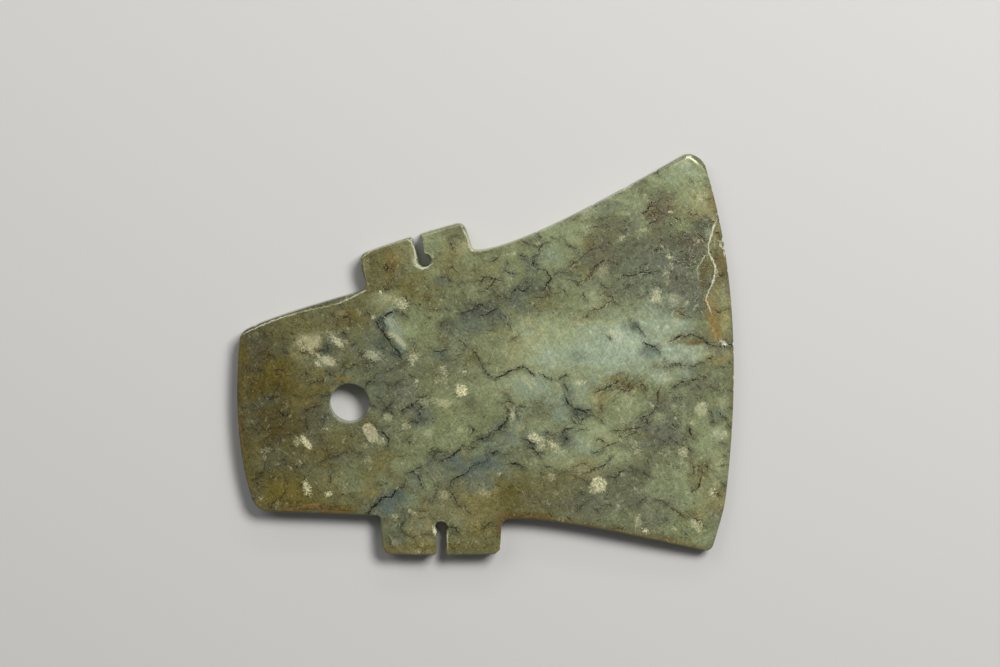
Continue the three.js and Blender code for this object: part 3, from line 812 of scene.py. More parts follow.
    (672, 432, 14, 10, 0, "grey", 0.6, 0.8), (648, 436, 16, 7, 0, "khaki", 0.5, 0.8),
    (722, 460, 5, 9, 0, "honey", 0.6, 0.8), (722, 500, 6, 12, 10, "honey", 0.6, 0.8),
    (708, 466, 9, 7, 0, "khaki", 0.7, 0.8), (694, 480, 6, 14, 10, "khaki", 0.6, 0.8),
    (668, 455, 16, 14, 0, "sage", 0.5, 0.8), (636, 475, 16, 9, 0, "taupe", 0.45, 0.8),
    (652, 492, 9, 9, 0, "leaf", 0.4, 0.8), (666, 508, 16, 9, 0, "sage", 0.6, 0.8),
    (690, 515, 12, 5, 20, "khaki", 0.5, 0.8), (716, 520, 9, 7, 0, "grey", 0.5, 0.8),
    (700, 540, 14, 8, 12, "leaf", 0.4, 0.8), (650, 520, 22, 10, 8, "grey", 0.5, 0.8),
    (600, 505, 26, 10, 6, "grey", 0.4, 0.8), (570, 505, 22, 8, 6, "mauve", 0.45, 0.8),
    (560, 515, 20, 5, 5, "sage", 0.4, 0.8), (578, 476, 18, 4, 12, "honey", 0.3, 0.8),
    (535, 500, 18, 10, 0, "mauve", 0.45, 0.8), (620, 455, 22, 9, 0, "moss", 0.4, 0.8),
    (640, 446, 14, 6, 0, "grey", 0.5, 0.8), (605, 440, 14, 8, 0, "honey", 0.45, 0.8),
    (625, 433, 18, 4, -4, "khaki", 0.5, 0.8), (600, 421, 20, 6, 0, "leaf", 0.4, 0.8),
    (635, 412, 18, 9, 0, "moss", 0.5, 0.8), (530, 452, 14, 8, 20, "sage", 0.5, 0.8),
    (516, 472, 14, 8, 0, "khaki", 0.5, 0.8), (450, 405, 14, 9, 0, "straw", 0.35, 0.8),
    (428, 434, 7, 8, 0, "leaf", 0.55, 0.8), (458, 432, 10, 8, 0, "leaf", 0.4, 0.8),
    (438, 392, 12, 9, 0, "khaki", 0.3, 0.8), (480, 385, 14, 8, 0, "leaf", 0.5, 0.8),
    (515, 425, 8, 8, 0, "moss", 0.5, 0.8), (540, 385, 20, 8, 20, "leaf", 0.4, 0.8),
    (572, 380, 10, 10, 0, "moss", 0.3, 0.8),
    # paler places
    (578, 390, 12, 9, 0, "celadon", 0.6, 0.8), (548, 364, 14, 9, 0, "celadon", 0.3, 0.8),
    (538, 426, 13, 9, 0, "pale_leaf", 0.55, 0.8), (599, 435, 12, 8, 0, "pale_leaf", 0.5, 0.8),
    (568, 465, 16, 7, 0, "pale_leaf", 0.35, 0.8), (612, 456, 14, 8, 0, "pale_leaf", 0.35, 0.8),
    (625, 412, 12, 9, 0, "pale_leaf", 0.35, 0.8), (677, 415, 12, 9, 0, "leaf", 0.45, 0.8),
    (699, 428, 10, 8, 0, "leaf", 0.35, 0.8), (719, 462, 8, 12, 0, "pale_leaf", 0.5, 0.8),
    (588, 298, 10, 8, 0, "pale_leaf", 0.4, 0.8), (535, 299, 15, 7, -20, "moss", 0.4, 0.8),
    (657, 182, 12, 6, -28, "pale_leaf", 0.4, 0.8), (585, 230, 12, 8, -20, "straw", 0.35, 0.8),
    (628, 218, 9, 8, 0, "leaf", 0.35, 0.8), (391, 318, 8, 6, 20, "celadon", 0.4, 0.7),
    (409, 332, 9, 9, 0, "pale_leaf", 0.3, 0.8), (305, 341, 11, 9, 0, "straw", 0.45, 0.8),
    (322, 362, 10, 6, 0, "leaf", 0.35, 0.8), (461, 243, 7, 8, 0, "straw", 0.3, 0.8),
    (515, 249, 12, 6, -10, "leaf", 0.35, 0.8), (509, 275, 11, 8, 0, "pale_leaf", 0.3, 0.8),
    (458, 343, 11, 9, 0, "moss", 0.45, 0.8), (509, 368, 13, 9, 0, "straw", 0.4, 0.8),
    (505, 391, 15, 8, 0, "straw", 0.3, 0.8), (441, 395, 11, 8, 0, "leaf", 0.4, 0.8),
    (447, 442, 12, 7, 0, "leaf", 0.35, 0.8), (417, 464, 13, 8, 0, "leaf", 0.35, 0.8),
    (426, 486, 11, 10, 20, "leaf", 0.45, 0.8), (386, 484, 12, 8, 0, "leaf", 0.3, 0.8),
    (502, 470, 11, 7, 0, "leaf", 0.4, 0.8), (490, 490, 12, 8, 0, "honey", 0.35, 0.8),
    (428, 537, 12, 9, 0, "honey", 0.4, 0.8), (459, 518, 10, 8, 0, "honey", 0.25, 0.8),
    (479, 528, 9, 8, 0, "gold", 0.35, 0.8), (628, 518, 22, 7, 8, "moss", 0.4, 0.8),
    (695, 268, 9, 9, 0, "leaf", 0.3, 0.8), (708, 246, 6, 6, 0, "leaf", 0.3, 0.8),
    (705, 541, 10, 6, 0, "leaf", 0.35, 0.8), (720, 498, 6, 9, 0, "leaf", 0.25, 0.8),
    (303, 352, 12, 14, 0, "straw", 0.4, 0.8), (303, 384, 9, 11, 0, "khaki", 0.45, 0.8),
    (394, 327, 7, 10, 40, "pearl", 0.55, 0.7), (575, 227, 9, 8, -25, "leaf", 0.5, 0.8),
    (470, 262, 10, 7, 0, "leaf", 0.45, 0.8), (512, 252, 8, 8, 0, "leaf", 0.35, 0.8),
    (598, 297, 10, 11, 0, "leaf", 0.5, 0.8), (454, 289, 8, 6, 0, "leaf", 0.3, 0.8),
    (426, 362, 8, 7, 0, "leaf", 0.35, 0.8), (478, 369, 22, 5, 0, "leaf", 0.3, 0.8),
    (548, 358, 9, 10, 0, "pearl", 0.3, 0.8), (555, 395, 11, 9, 0, "pale_leaf", 0.5, 0.8),
    (576, 399, 9, 7, 0, "pale_leaf", 0.5, 0.8), (610, 381, 12, 5, -8, "straw", 0.4, 0.8),
    (595, 432, 15, 8, 0, "pale_leaf", 0.45, 0.8), (550, 440, 11, 10, 0, "leaf", 0.35, 0.8),
    (600, 461, 30, 8, 4, "pale_leaf", 0.3, 0.8), (680, 367, 18, 6, 0, "pale_leaf", 0.45, 0.8),
    (712, 375, 14, 6, 0, "leaf", 0.35, 0.8), (658, 420, 8, 7, 0, "pale_leaf", 0.45, 0.8),
    (706, 444, 16, 8, 20, "pale_leaf", 0.35, 0.8), (724, 470, 5, 14, 0, "pale_leaf", 0.4, 0.8),
    (486, 485, 14, 13, 0, "honey", 0.4, 0.8), (424, 520, 14, 13, 0, "honey", 0.35, 0.8),
    (475, 516, 7, 12, 0, "honey", 0.35, 0.8), (399, 466, 7, 9, 0, "leaf", 0.4, 0.8),
    (255, 450, 8, 13, 0, "khaki", 0.4, 0.8),
    # darker places
    (606, 206, 14, 5, -28, "sage", 0.5, 0.8), (459, 239, 8, 9, 0, "sage", 0.4, 0.8),
    (656, 214, 9, 11, 0, "taupe", 0.45, 0.8), (695, 240, 8, 6, 0, "taupe", 0.4, 0.8),
    (313, 425, 14, 22, 0, "umber", 0.3, 0.8), (370, 432, 11, 9, 0, "taupe", 0.5, 0.8),
    (472, 398, 6, 12, 0, "sage_dark", 0.4, 0.8), (512, 322, 12, 5, 0, "sage_dark", 0.3, 0.8),
    (485, 280, 8, 5, 0, "sage_dark", 0.35, 0.8), (691, 457, 7, 10, 0, "sage_dark", 0.5, 0.8),
    (703, 476, 6, 6, 0, "khaki", 0.4, 0.8), (683, 315, 8, 6, 0, "khaki", 0.4, 0.8),
    (670, 541, 28, 4, 11, "khaki", 0.4, 0.8),
    (475, 408, 11, 7, 0, "sage", 0.45, 0.8), (475, 379, 11, 7, 0, "sage", 0.3, 0.8),
    (366, 421, 10, 8, 0, "sage_dark", 0.4, 0.8), (325, 446, 11, 7, 0, "taupe", 0.5, 0.8),
    (300, 488, 10, 8, 0, "amber", 0.4, 0.8), (341, 508, 16, 5, 0, "olive", 0.4, 0.8),
    (447, 322, 9, 6, 0, "sage_dark", 0.4, 0.8), (395, 297, 9, 5, 0, "khaki", 0.35, 0.8),
    (342, 338, 9, 6, 0, "taupe", 0.35, 0.8), (495, 325, 9, 6, 0, "grey", 0.35, 0.8),
    (515, 345, 8, 8, 0, "khaki", 0.35, 0.8), (651, 336, 10, 6, 0, "sage", 0.35, 0.8),
    (661, 303, 9, 6, 0, "sage_dark", 0.35, 0.8), (695, 242, 10, 7, 0, "mauve", 0.35, 0.8),
    (518, 461, 11, 6, 0, "sage", 0.35, 0.8), (665, 476, 11, 8, 0, "sage", 0.4, 0.8),
    (688, 450, 8, 7, 0, "sage", 0.4, 0.8),
    # warmer places
    (281, 371, 20, 11, 0, "amber", 0.5, 0.8), (253, 386, 12, 15, 0, "amber", 0.45, 0.8),
    (268, 432, 12, 8, 0, "amber", 0.4, 0.8), (328, 452, 11, 6, 0, "amber", 0.35, 0.8),
    (278, 490, 15, 11, 0, "gold", 0.4, 0.8), (311, 505, 22, 5, 0, "amber", 0.4, 0.8),
    (351, 315, 12, 7, 0, "gold", 0.3, 0.8), (389, 262, 9, 9, 0, "gold", 0.35, 0.8),
    (418, 278, 9, 6, 0, "khaki", 0.3, 0.8), (431, 305, 12, 6, 0, "gold", 0.25, 0.8),
    (449, 274, 9, 6, 0, "gold", 0.3, 0.8), (494, 266, 9, 9, 0, "gold", 0.25, 0.8),
    (505, 355, 10, 6, 0, "straw", 0.3, 0.8), (618, 382, 14, 5, -10, "gold", 0.35, 0.8),
    (588, 464, 14, 6, 0, "honey", 0.3, 0.8), (612, 438, 20, 6, -6, "honey", 0.3, 0.8),
    (701, 472, 9, 8, 0, "honey", 0.35, 0.8), (715, 505, 9, 8, 0, "honey", 0.3, 0.8),
    (652, 214, 6, 5, 0, "ochre", 0.3, 0.8), (581, 322, 12, 6, 0, "straw", 0.35, 0.8),
    (243, 358, 6, 16, 0, "amber", 0.6, 0.8), (281, 384, 12, 16, 0, "amber", 0.35, 0.8),
    (312, 415, 12, 14, 0, "umber", 0.25, 0.8), (318, 452, 26, 16, 10, "khaki", 0.3, 0.8),
    (383, 460, 12, 14, 0, "gold", 0.35, 0.8), (348, 364, 12, 4, 0, "gold", 0.3, 0.8),
    (348, 318, 16, 9, 0, "amber", 0.35, 0.8), (414, 279, 18, 10, 15, "khaki", 0.3, 0.8),
    (427, 292, 9, 8, 0, "gold", 0.3, 0.8), (485, 277, 9, 7, 0, "gold", 0.3, 0.8),
    (508, 296, 10, 5, 0, "gold", 0.3, 0.8), (586, 243, 9, 8, 0, "gold", 0.3, 0.8),
    (694, 214, 8, 7, 0, "gold", 0.4, 0.8), (678, 312, 9, 7, 0, "gold", 0.35, 0.8),
    (688, 340, 16, 4, 4, "gold", 0.35, 0.8), (612, 380, 14, 4, -10, "gold", 0.35, 0.8),
    (530, 352, 10, 6, 0, "straw", 0.35, 0.8), (582, 466, 18, 12, 0, "honey", 0.3, 0.8),
    (628, 430, 12, 4, 0, "gold", 0.3, 0.8), (710, 495, 14, 20, 0, "honey", 0.3, 0.8),
    (440, 547, 50, 5, 0, "gold", 0.45, 0.8), (530, 517, 26, 4, 3, "amber", 0.5, 0.8),
    (340, 510, 20, 4, 0, "amber", 0.5, 0.8), (470, 500, 11, 5, 0, "gold", 0.3, 0.8),
    (415, 536, 12, 9, 0, "gold", 0.3, 0.8),
    # cooler places
    (532, 388, 26, 10, 0, "aqua", 0.15, 0.8), (515, 420, 7, 11, 0, "aqua", 0.4, 0.8),
    (495, 447, 15, 7, 0, "cool", 0.5, 0.8), (490, 485, 6, 5, 0, "cool", 0.5, 0.8),
    (448, 470, 6, 6, 0, "steel", 0.4, 0.8), (418, 417, 14, 12, 0, "cool", 0.35, 0.8),
    (380, 350, 7, 11, 0, "cool", 0.4, 0.8), (322, 360, 18, 7, 0, "cool", 0.4, 0.8),
    (332, 340, 9, 6, 0, "cool", 0.45, 0.8), (397, 333, 6, 8, 0, "aqua", 0.35, 0.8),
    (411, 360, 6, 6, 0, "cool", 0.4, 0.8), (378, 386, 9, 16, 0, "cool", 0.35, 0.8),
    (526, 331, 7, 6, 0, "aqua", 0.35, 0.8), (611, 315, 11, 6, 0, "aqua", 0.35, 0.8),
    (656, 293, 8, 9, 0, "aqua", 0.3, 0.8), (666, 261, 7, 7, 0, "cool", 0.4, 0.8),
    (726, 288, 4, 12, 0, "cool", 0.5, 0.8), (721, 352, 8, 6, 0, "cool", 0.4, 0.8),
    (598, 482, 6, 5, 0, "cool", 0.3, 0.8), (664, 378, 9, 6, 0, "pearl", 0.3, 0.8),
    (553, 256, 11, 9, 0, "aqua", 0.4, 0.8), (601, 211, 10, 6, -25, "celadon", 0.25, 0.8),
    (536, 386, 12, 7, 0, "celadon", 0.25, 0.8), (561, 414, 10, 7, 0, "aqua", 0.3, 0.8),
    (495, 455, 12, 6, -20, "steel", 0.35, 0.8), (437, 472, 12, 7, -10, "steel", 0.25, 0.8),
    (414, 480, 10, 6, -20, "aqua", 0.25, 0.8), (391, 508, 12, 5, -20, "steel", 0.3, 0.8),
    (332, 335, 7, 5, 0, "grey", 0.4, 0.8), (370, 339, 9, 8, 0, "steel", 0.35, 0.8),
    (379, 358, 10, 6, 0, "grey", 0.35, 0.8), (575, 362, 12, 6, 0, "aqua", 0.35, 0.8),
    (441, 372, 9, 6, 0, "grey", 0.3, 0.8), (668, 262, 10, 8, 0, "grey", 0.35, 0.8),
    (628, 262, 9, 7, 0, "grey", 0.3, 0.8), (651, 306, 10, 6, 0, "aqua", 0.3, 0.8),
    (638, 333, 10, 6, 0, "aqua", 0.3, 0.8), (718, 435, 8, 6, 0, "celadon", 0.35, 0.8),
    (691, 411, 9, 7, 0, "grey", 0.3, 0.8), (638, 492, 10, 7, 0, "grey", 0.3, 0.8),
    (581, 438, 8, 6, 0, "aqua", 0.3, 0.8),
    # soft cream clouds, and blue-grey painted shade under the long threads
    (308, 342, 13, 8, 0, "cream", 0.42, 0.7), (329, 361, 9, 5, -16, "cream", 0.45, 0.7),
    (303, 343, 3, 2.5, 0, "ochre", 0.5, 0.6), (372, 355, 8, 5, -28, "pearl", 0.25, 0.8),
    (401, 342, 9, 4, -52, "pearl", 0.5, 0.7), (389, 319, 6, 4, -30, "pearl", 0.35, 0.7),
    (415, 409, 19, 14, -12, "lilac", 0.45, 0.8), (400, 392, 12, 8, 0, "lilac", 0.3, 0.8),
    (394, 505, 19, 6, -28, "bluegrey", 0.62, 0.6), (384, 511, 10, 4, -24, "bluegrey", 0.6, 0.6),
    (462, 467, 16, 5, -32, "bluegrey", 0.6, 0.6), (492, 462, 18, 6, -24, "bluegrey", 0.55, 0.7),
    (478, 474, 20, 6, -22, "bluegrey", 0.45, 0.7),
    (585, 411, 12, 6, 14, "slate", 0.6, 0.7), (577, 424, 8, 6, 0, "slate", 0.5, 0.7),
    (565, 437, 8, 7, 0, "slate", 0.5, 0.7), (569, 394, 6, 12, 0, "steel", 0.4, 0.7),
    (652, 430, 26, 14, 0, "lilac", 0.35, 0.8), (650, 500, 30, 9, 8, "lilac", 0.3, 0.8),
    (590, 500, 24, 8, 6, "lilac", 0.3, 0.8), (700, 388, 20, 7, 0, "lilac", 0.3, 0.8),
    (655, 258, 26, 14, 0, "lilac", 0.3, 0.8), (478, 312, 18, 7, 10, "lilac", 0.3, 0.8),
    (640, 246, 30, 9, 8, "lilac", 0.3, 0.8), (690, 250, 18, 10, 0, "lilac", 0.35, 0.8),
    # further paler places
    (588, 402, 9, 14, 0, "pale_leaf", 0.5, 0.8), (610, 383, 14, 6, -10, "pale_leaf", 0.5, 0.8),
    (625, 435, 20, 10, 0, "leaf", 0.5, 0.8), (600, 440, 22, 8, 0, "pale_leaf", 0.4, 0.8),
    (560, 420, 14, 22, 0, "leaf", 0.4, 0.8), (640, 370, 10, 6, 0, "celadon", 0.4, 0.8),
    (680, 395, 10, 8, 0, "leaf", 0.5, 0.8), (690, 425, 16, 8, 0, "leaf", 0.5, 0.8),
    (725, 455, 7, 12, 0, "leaf", 0.4, 0.8), (468, 505, 34, 24, 0, "honey", 0.4, 0.8),
    (420, 535, 14, 14, 0, "honey", 0.4, 0.8), (580, 232, 14, 9, 0, "leaf", 0.5, 0.8),
    (595, 285, 40, 14, 0, "leaf", 0.3, 0.8), (485, 270, 34, 20, 0, "leaf", 0.25, 0.8),
    (426, 288, 10, 7, 0, "leaf", 0.4, 0.8), (300, 375, 14, 8, 0, "khaki", 0.4, 0.8),
    (458, 345, 9, 8, 0, "leaf", 0.35, 0.8), (650, 190, 12, 7, -28, "leaf", 0.35, 0.8),
    (675, 175, 9, 6, -28, "leaf", 0.35, 0.8), (695, 212, 8, 9, 0, "straw", 0.35, 0.8),
    (678, 338, 12, 5, 0, "leaf", 0.35, 0.8), (610, 500, 14, 7, 0, "leaf", 0.3, 0.8),
    # further darker places
    (672, 240, 18, 10, 0, "taupe", 0.4, 0.8), (690, 240, 9, 8, 0, "taupe", 0.35, 0.8),
    (655, 228, 9, 7, 0, "sage_dark", 0.35, 0.8), (632, 250, 10, 6, 0, "sage_dark", 0.35, 0.8),
    (665, 310, 9, 7, 0, "sage_dark", 0.35, 0.8), (445, 325, 9, 7, 0, "sage_dark", 0.35, 0.8),
    (370, 430, 8, 7, 0, "umber", 0.35, 0.8), (455, 235, 12, 6, -12, "sage", 0.35, 0.8),
    (382, 503, 7, 4, -30, "slate", 0.35, 0.8),
    # further warmer places
    (285, 415, 11, 10, 0, "amber", 0.35, 0.8), (270, 437, 10, 8, 0, "amber", 0.35, 0.8),
    (255, 487, 8, 9, 0, "amber", 0.35, 0.8), (330, 482, 12, 8, 0, "khaki", 0.35, 0.8),
    (368, 475, 9, 7, 0, "gold", 0.35, 0.8), (403, 508, 7, 6, 0, "gold", 0.3, 0.8),
    (465, 463, 6, 4, 0, "gold", 0.3, 0.8), (308, 400, 9, 8, 0, "gold", 0.35, 0.8),
    (622, 375, 9, 5, 0, "gold", 0.3, 0.8), (700, 515, 9, 8, 0, "honey", 0.35, 0.8),
    (692, 462, 8, 7, 0, "honey", 0.3, 0.8), (508, 392, 7, 6, 0, "gold", 0.3, 0.8),
    (410, 418, 7, 6, 0, "gold", 0.3, 0.8), (390, 262, 5, 13, 25, "rust", 0.4, 0.7),
    # further cooler places
    (555, 400, 12, 9, 0, "aqua", 0.3, 0.8), (535, 438, 12, 8, 0, "aqua", 0.35, 0.8),
    (560, 455, 10, 6, 0, "aqua", 0.3, 0.8), (312, 440, 9, 7, 0, "grey", 0.35, 0.8),
    (372, 352, 9, 6, 0, "cool", 0.35, 0.8), (490, 485, 8, 6, 0, "cool", 0.35, 0.8),
    (457, 522, 8, 7, 0, "cool", 0.35, 0.8), (720, 415, 7, 8, 0, "aqua", 0.35, 0.8),
    (581, 425, 13, 9, 0, "pale_leaf", 0.7, 0.8), (607, 387, 16, 8, -10, "leaf", 0.5, 0.8),
    (640, 405, 13, 8, 0, "leaf", 0.5, 0.8), (682, 374, 12, 6, 0, "celadon", 0.4, 0.8),
    (575, 380, 7, 9, 0, "pale_leaf", 0.4, 0.8), (590, 470, 16, 8, 0, "straw", 0.4, 0.8),
    (660, 417, 7, 6, 0, "pale_leaf", 0.4, 0.8), (575, 235, 9, 10, 0, "pale_leaf", 0.35, 0.8),
    (671, 177, 8, 6, 0, "celadon", 0.35, 0.8), (600, 303, 18, 7, 0, "pale_leaf", 0.35, 0.8),
    (262, 465, 9, 8, 0, "khaki", 0.45, 0.8), (246, 392, 5, 14, 0, "khaki", 0.4, 0.8),
    (330, 482, 9, 9, 0, "honey", 0.3, 0.8), (316, 374, 9, 5, 0, "honey", 0.3, 0.8),
    (412, 500, 9, 7, 0, "leaf", 0.4, 0.8), (400, 465, 12, 7, 0, "leaf", 0.35, 0.8),
    (465, 455, 9, 4, -20, "honey", 0.4, 0.8), (448, 452, 5, 5, 0, "honey", 0.35, 0.8),
    (367, 423, 8, 7, 0, "umber", 0.5, 0.8), (385, 436, 9, 7, 0, "sage", 0.5, 0.8),
    (447, 325, 8, 8, 0, "slate", 0.35, 0.8), (497, 345, 7, 7, 0, "sage_dark", 0.4, 0.8),
    (691, 246, 10, 7, 0, "taupe", 0.5, 0.8), (532, 386, 16, 9, 0, "aqua", 0.55, 0.8),
    (656, 354, 12, 5, 0, "aqua", 0.4, 0.8), (472, 402, 9, 7, 0, "sage", 0.4, 0.8),
    (517, 463, 9, 7, 0, "sage", 0.4, 0.8), (632, 487, 9, 7, 0, "sage", 0.4, 0.8),
    (690, 455, 6, 7, 0, "sage", 0.4, 0.8), (446, 236, 14, 6, -12, "moss", 0.4, 0.8),
    (606, 202, 16, 5, -28, "cool", 0.4, 0.8), (690, 157, 9, 4, 10, "aqua", 0.5, 0.8),
    (303, 487, 8, 8, 0, "umber", 0.4, 0.8), (560, 415, 7, 10, 0, "aqua", 0.4, 0.8),
    (478, 486, 14, 8, 0, "cool", 0.4, 0.8), (420, 529, 7, 7, 0, "cool", 0.4, 0.8),
    (320, 388, 8, 7, 0, "gold", 0.45, 0.8), (372, 490, 10, 9, 0, "gold", 0.35, 0.8),
    (575, 322, 6, 9, 0, "straw", 0.4, 0.8), (702, 281, 5, 7, 0, "rust", 0.4, 0.8),
    (484, 280, 9, 12, 0, "khaki", 0.35, 0.8), (425, 300, 6, 14, -12, "khaki", 0.35, 0.8),
    (515, 350, 18, 5, -10, "straw", 0.35, 0.8),
    (600, 431, 12, 8, 0, "pale_leaf", 0.45, 0.8), (626, 406, 9, 8, 0, "pale_leaf", 0.4, 0.8),
    (665, 361, 9, 5, 0, "celadon", 0.35, 0.8), (695, 331, 6, 4, 0, "leaf", 0.5, 0.8),
    (369, 493, 10, 6, -20, "honey", 0.35, 0.8), (318, 337, 6, 7, 0, "straw", 0.4, 0.8),
    (590, 311, 8, 6, 0, "pale_leaf", 0.35, 0.8), (628, 322, 7, 5, 0, "pale_leaf", 0.4, 0.8),
    (478, 296, 11, 5, 12, "leaf", 0.4, 0.8), (392, 310, 6, 4, 30, "celadon", 0.4, 0.8),
    (500, 392, 8, 6, 0, "leaf", 0.35, 0.8), (262, 503, 7, 4, 20, "khaki", 0.5, 0.8),
    (560, 462, 16, 8, 0, "leaf", 0.35, 0.8), (612, 514, 9, 5, 0, "leaf", 0.35, 0.8),
    (688, 360, 9, 5, 0, "celadon", 0.35, 0.8), (700, 210, 6, 9, 0, "straw", 0.3, 0.8),
    (683, 226, 8, 6, -20, "leaf", 0.35, 0.8), (262, 437, 8, 8, 0, "khaki", 0.35, 0.8),
    (365, 425, 7, 5, 0, "khaki", 0.4, 0.8), (305, 486, 7, 7, 0, "olive", 0.4, 0.8),
    (706, 308, 4, 7, 0, "khaki", 0.4, 0.8), (726, 340, 5, 9, 0, "khaki", 0.35, 0.8),
    (311, 506.5, 15, 2.2, 2, "copper", 0.6, 0.6), (335, 509, 12, 1.8, 2, "copper", 0.5, 0.6),
    (288, 508, 8, 1.8, 6, "copper", 0.35, 0.6),
    # the stained stone beside the long crack at the blade's upper end
    (724, 301, 6, 10, 0, "leaf", 0.5, 0.7), (727, 326, 5, 9, 0, "straw", 0.45, 0.7),
    (721, 317, 4, 5, 0, "khaki", 0.4, 0.7), (720, 262, 5, 7, 0, "rust", 0.6, 0.7),
    (721, 277, 6, 6, 0, "rust", 0.5, 0.7), (704, 268, 5, 11, -8, "umber", 0.4, 0.6),
    (708, 303, 2.4, 6, 12, "copper", 0.75, 0.5), (711.5, 315, 3, 7, 18, "copper", 0.8, 0.5),
    (714.5, 322.5, 3.2, 5, 18, "copper", 0.8, 0.6), (718, 335, 2.8, 8, 25, "copper", 0.45, 0.6),
    (713, 312, 6, 14, 15, "ochre", 0.4, 0.8),
    (695, 342, 8, 2.4, 8, "rust", 0.5, 0.7),
]

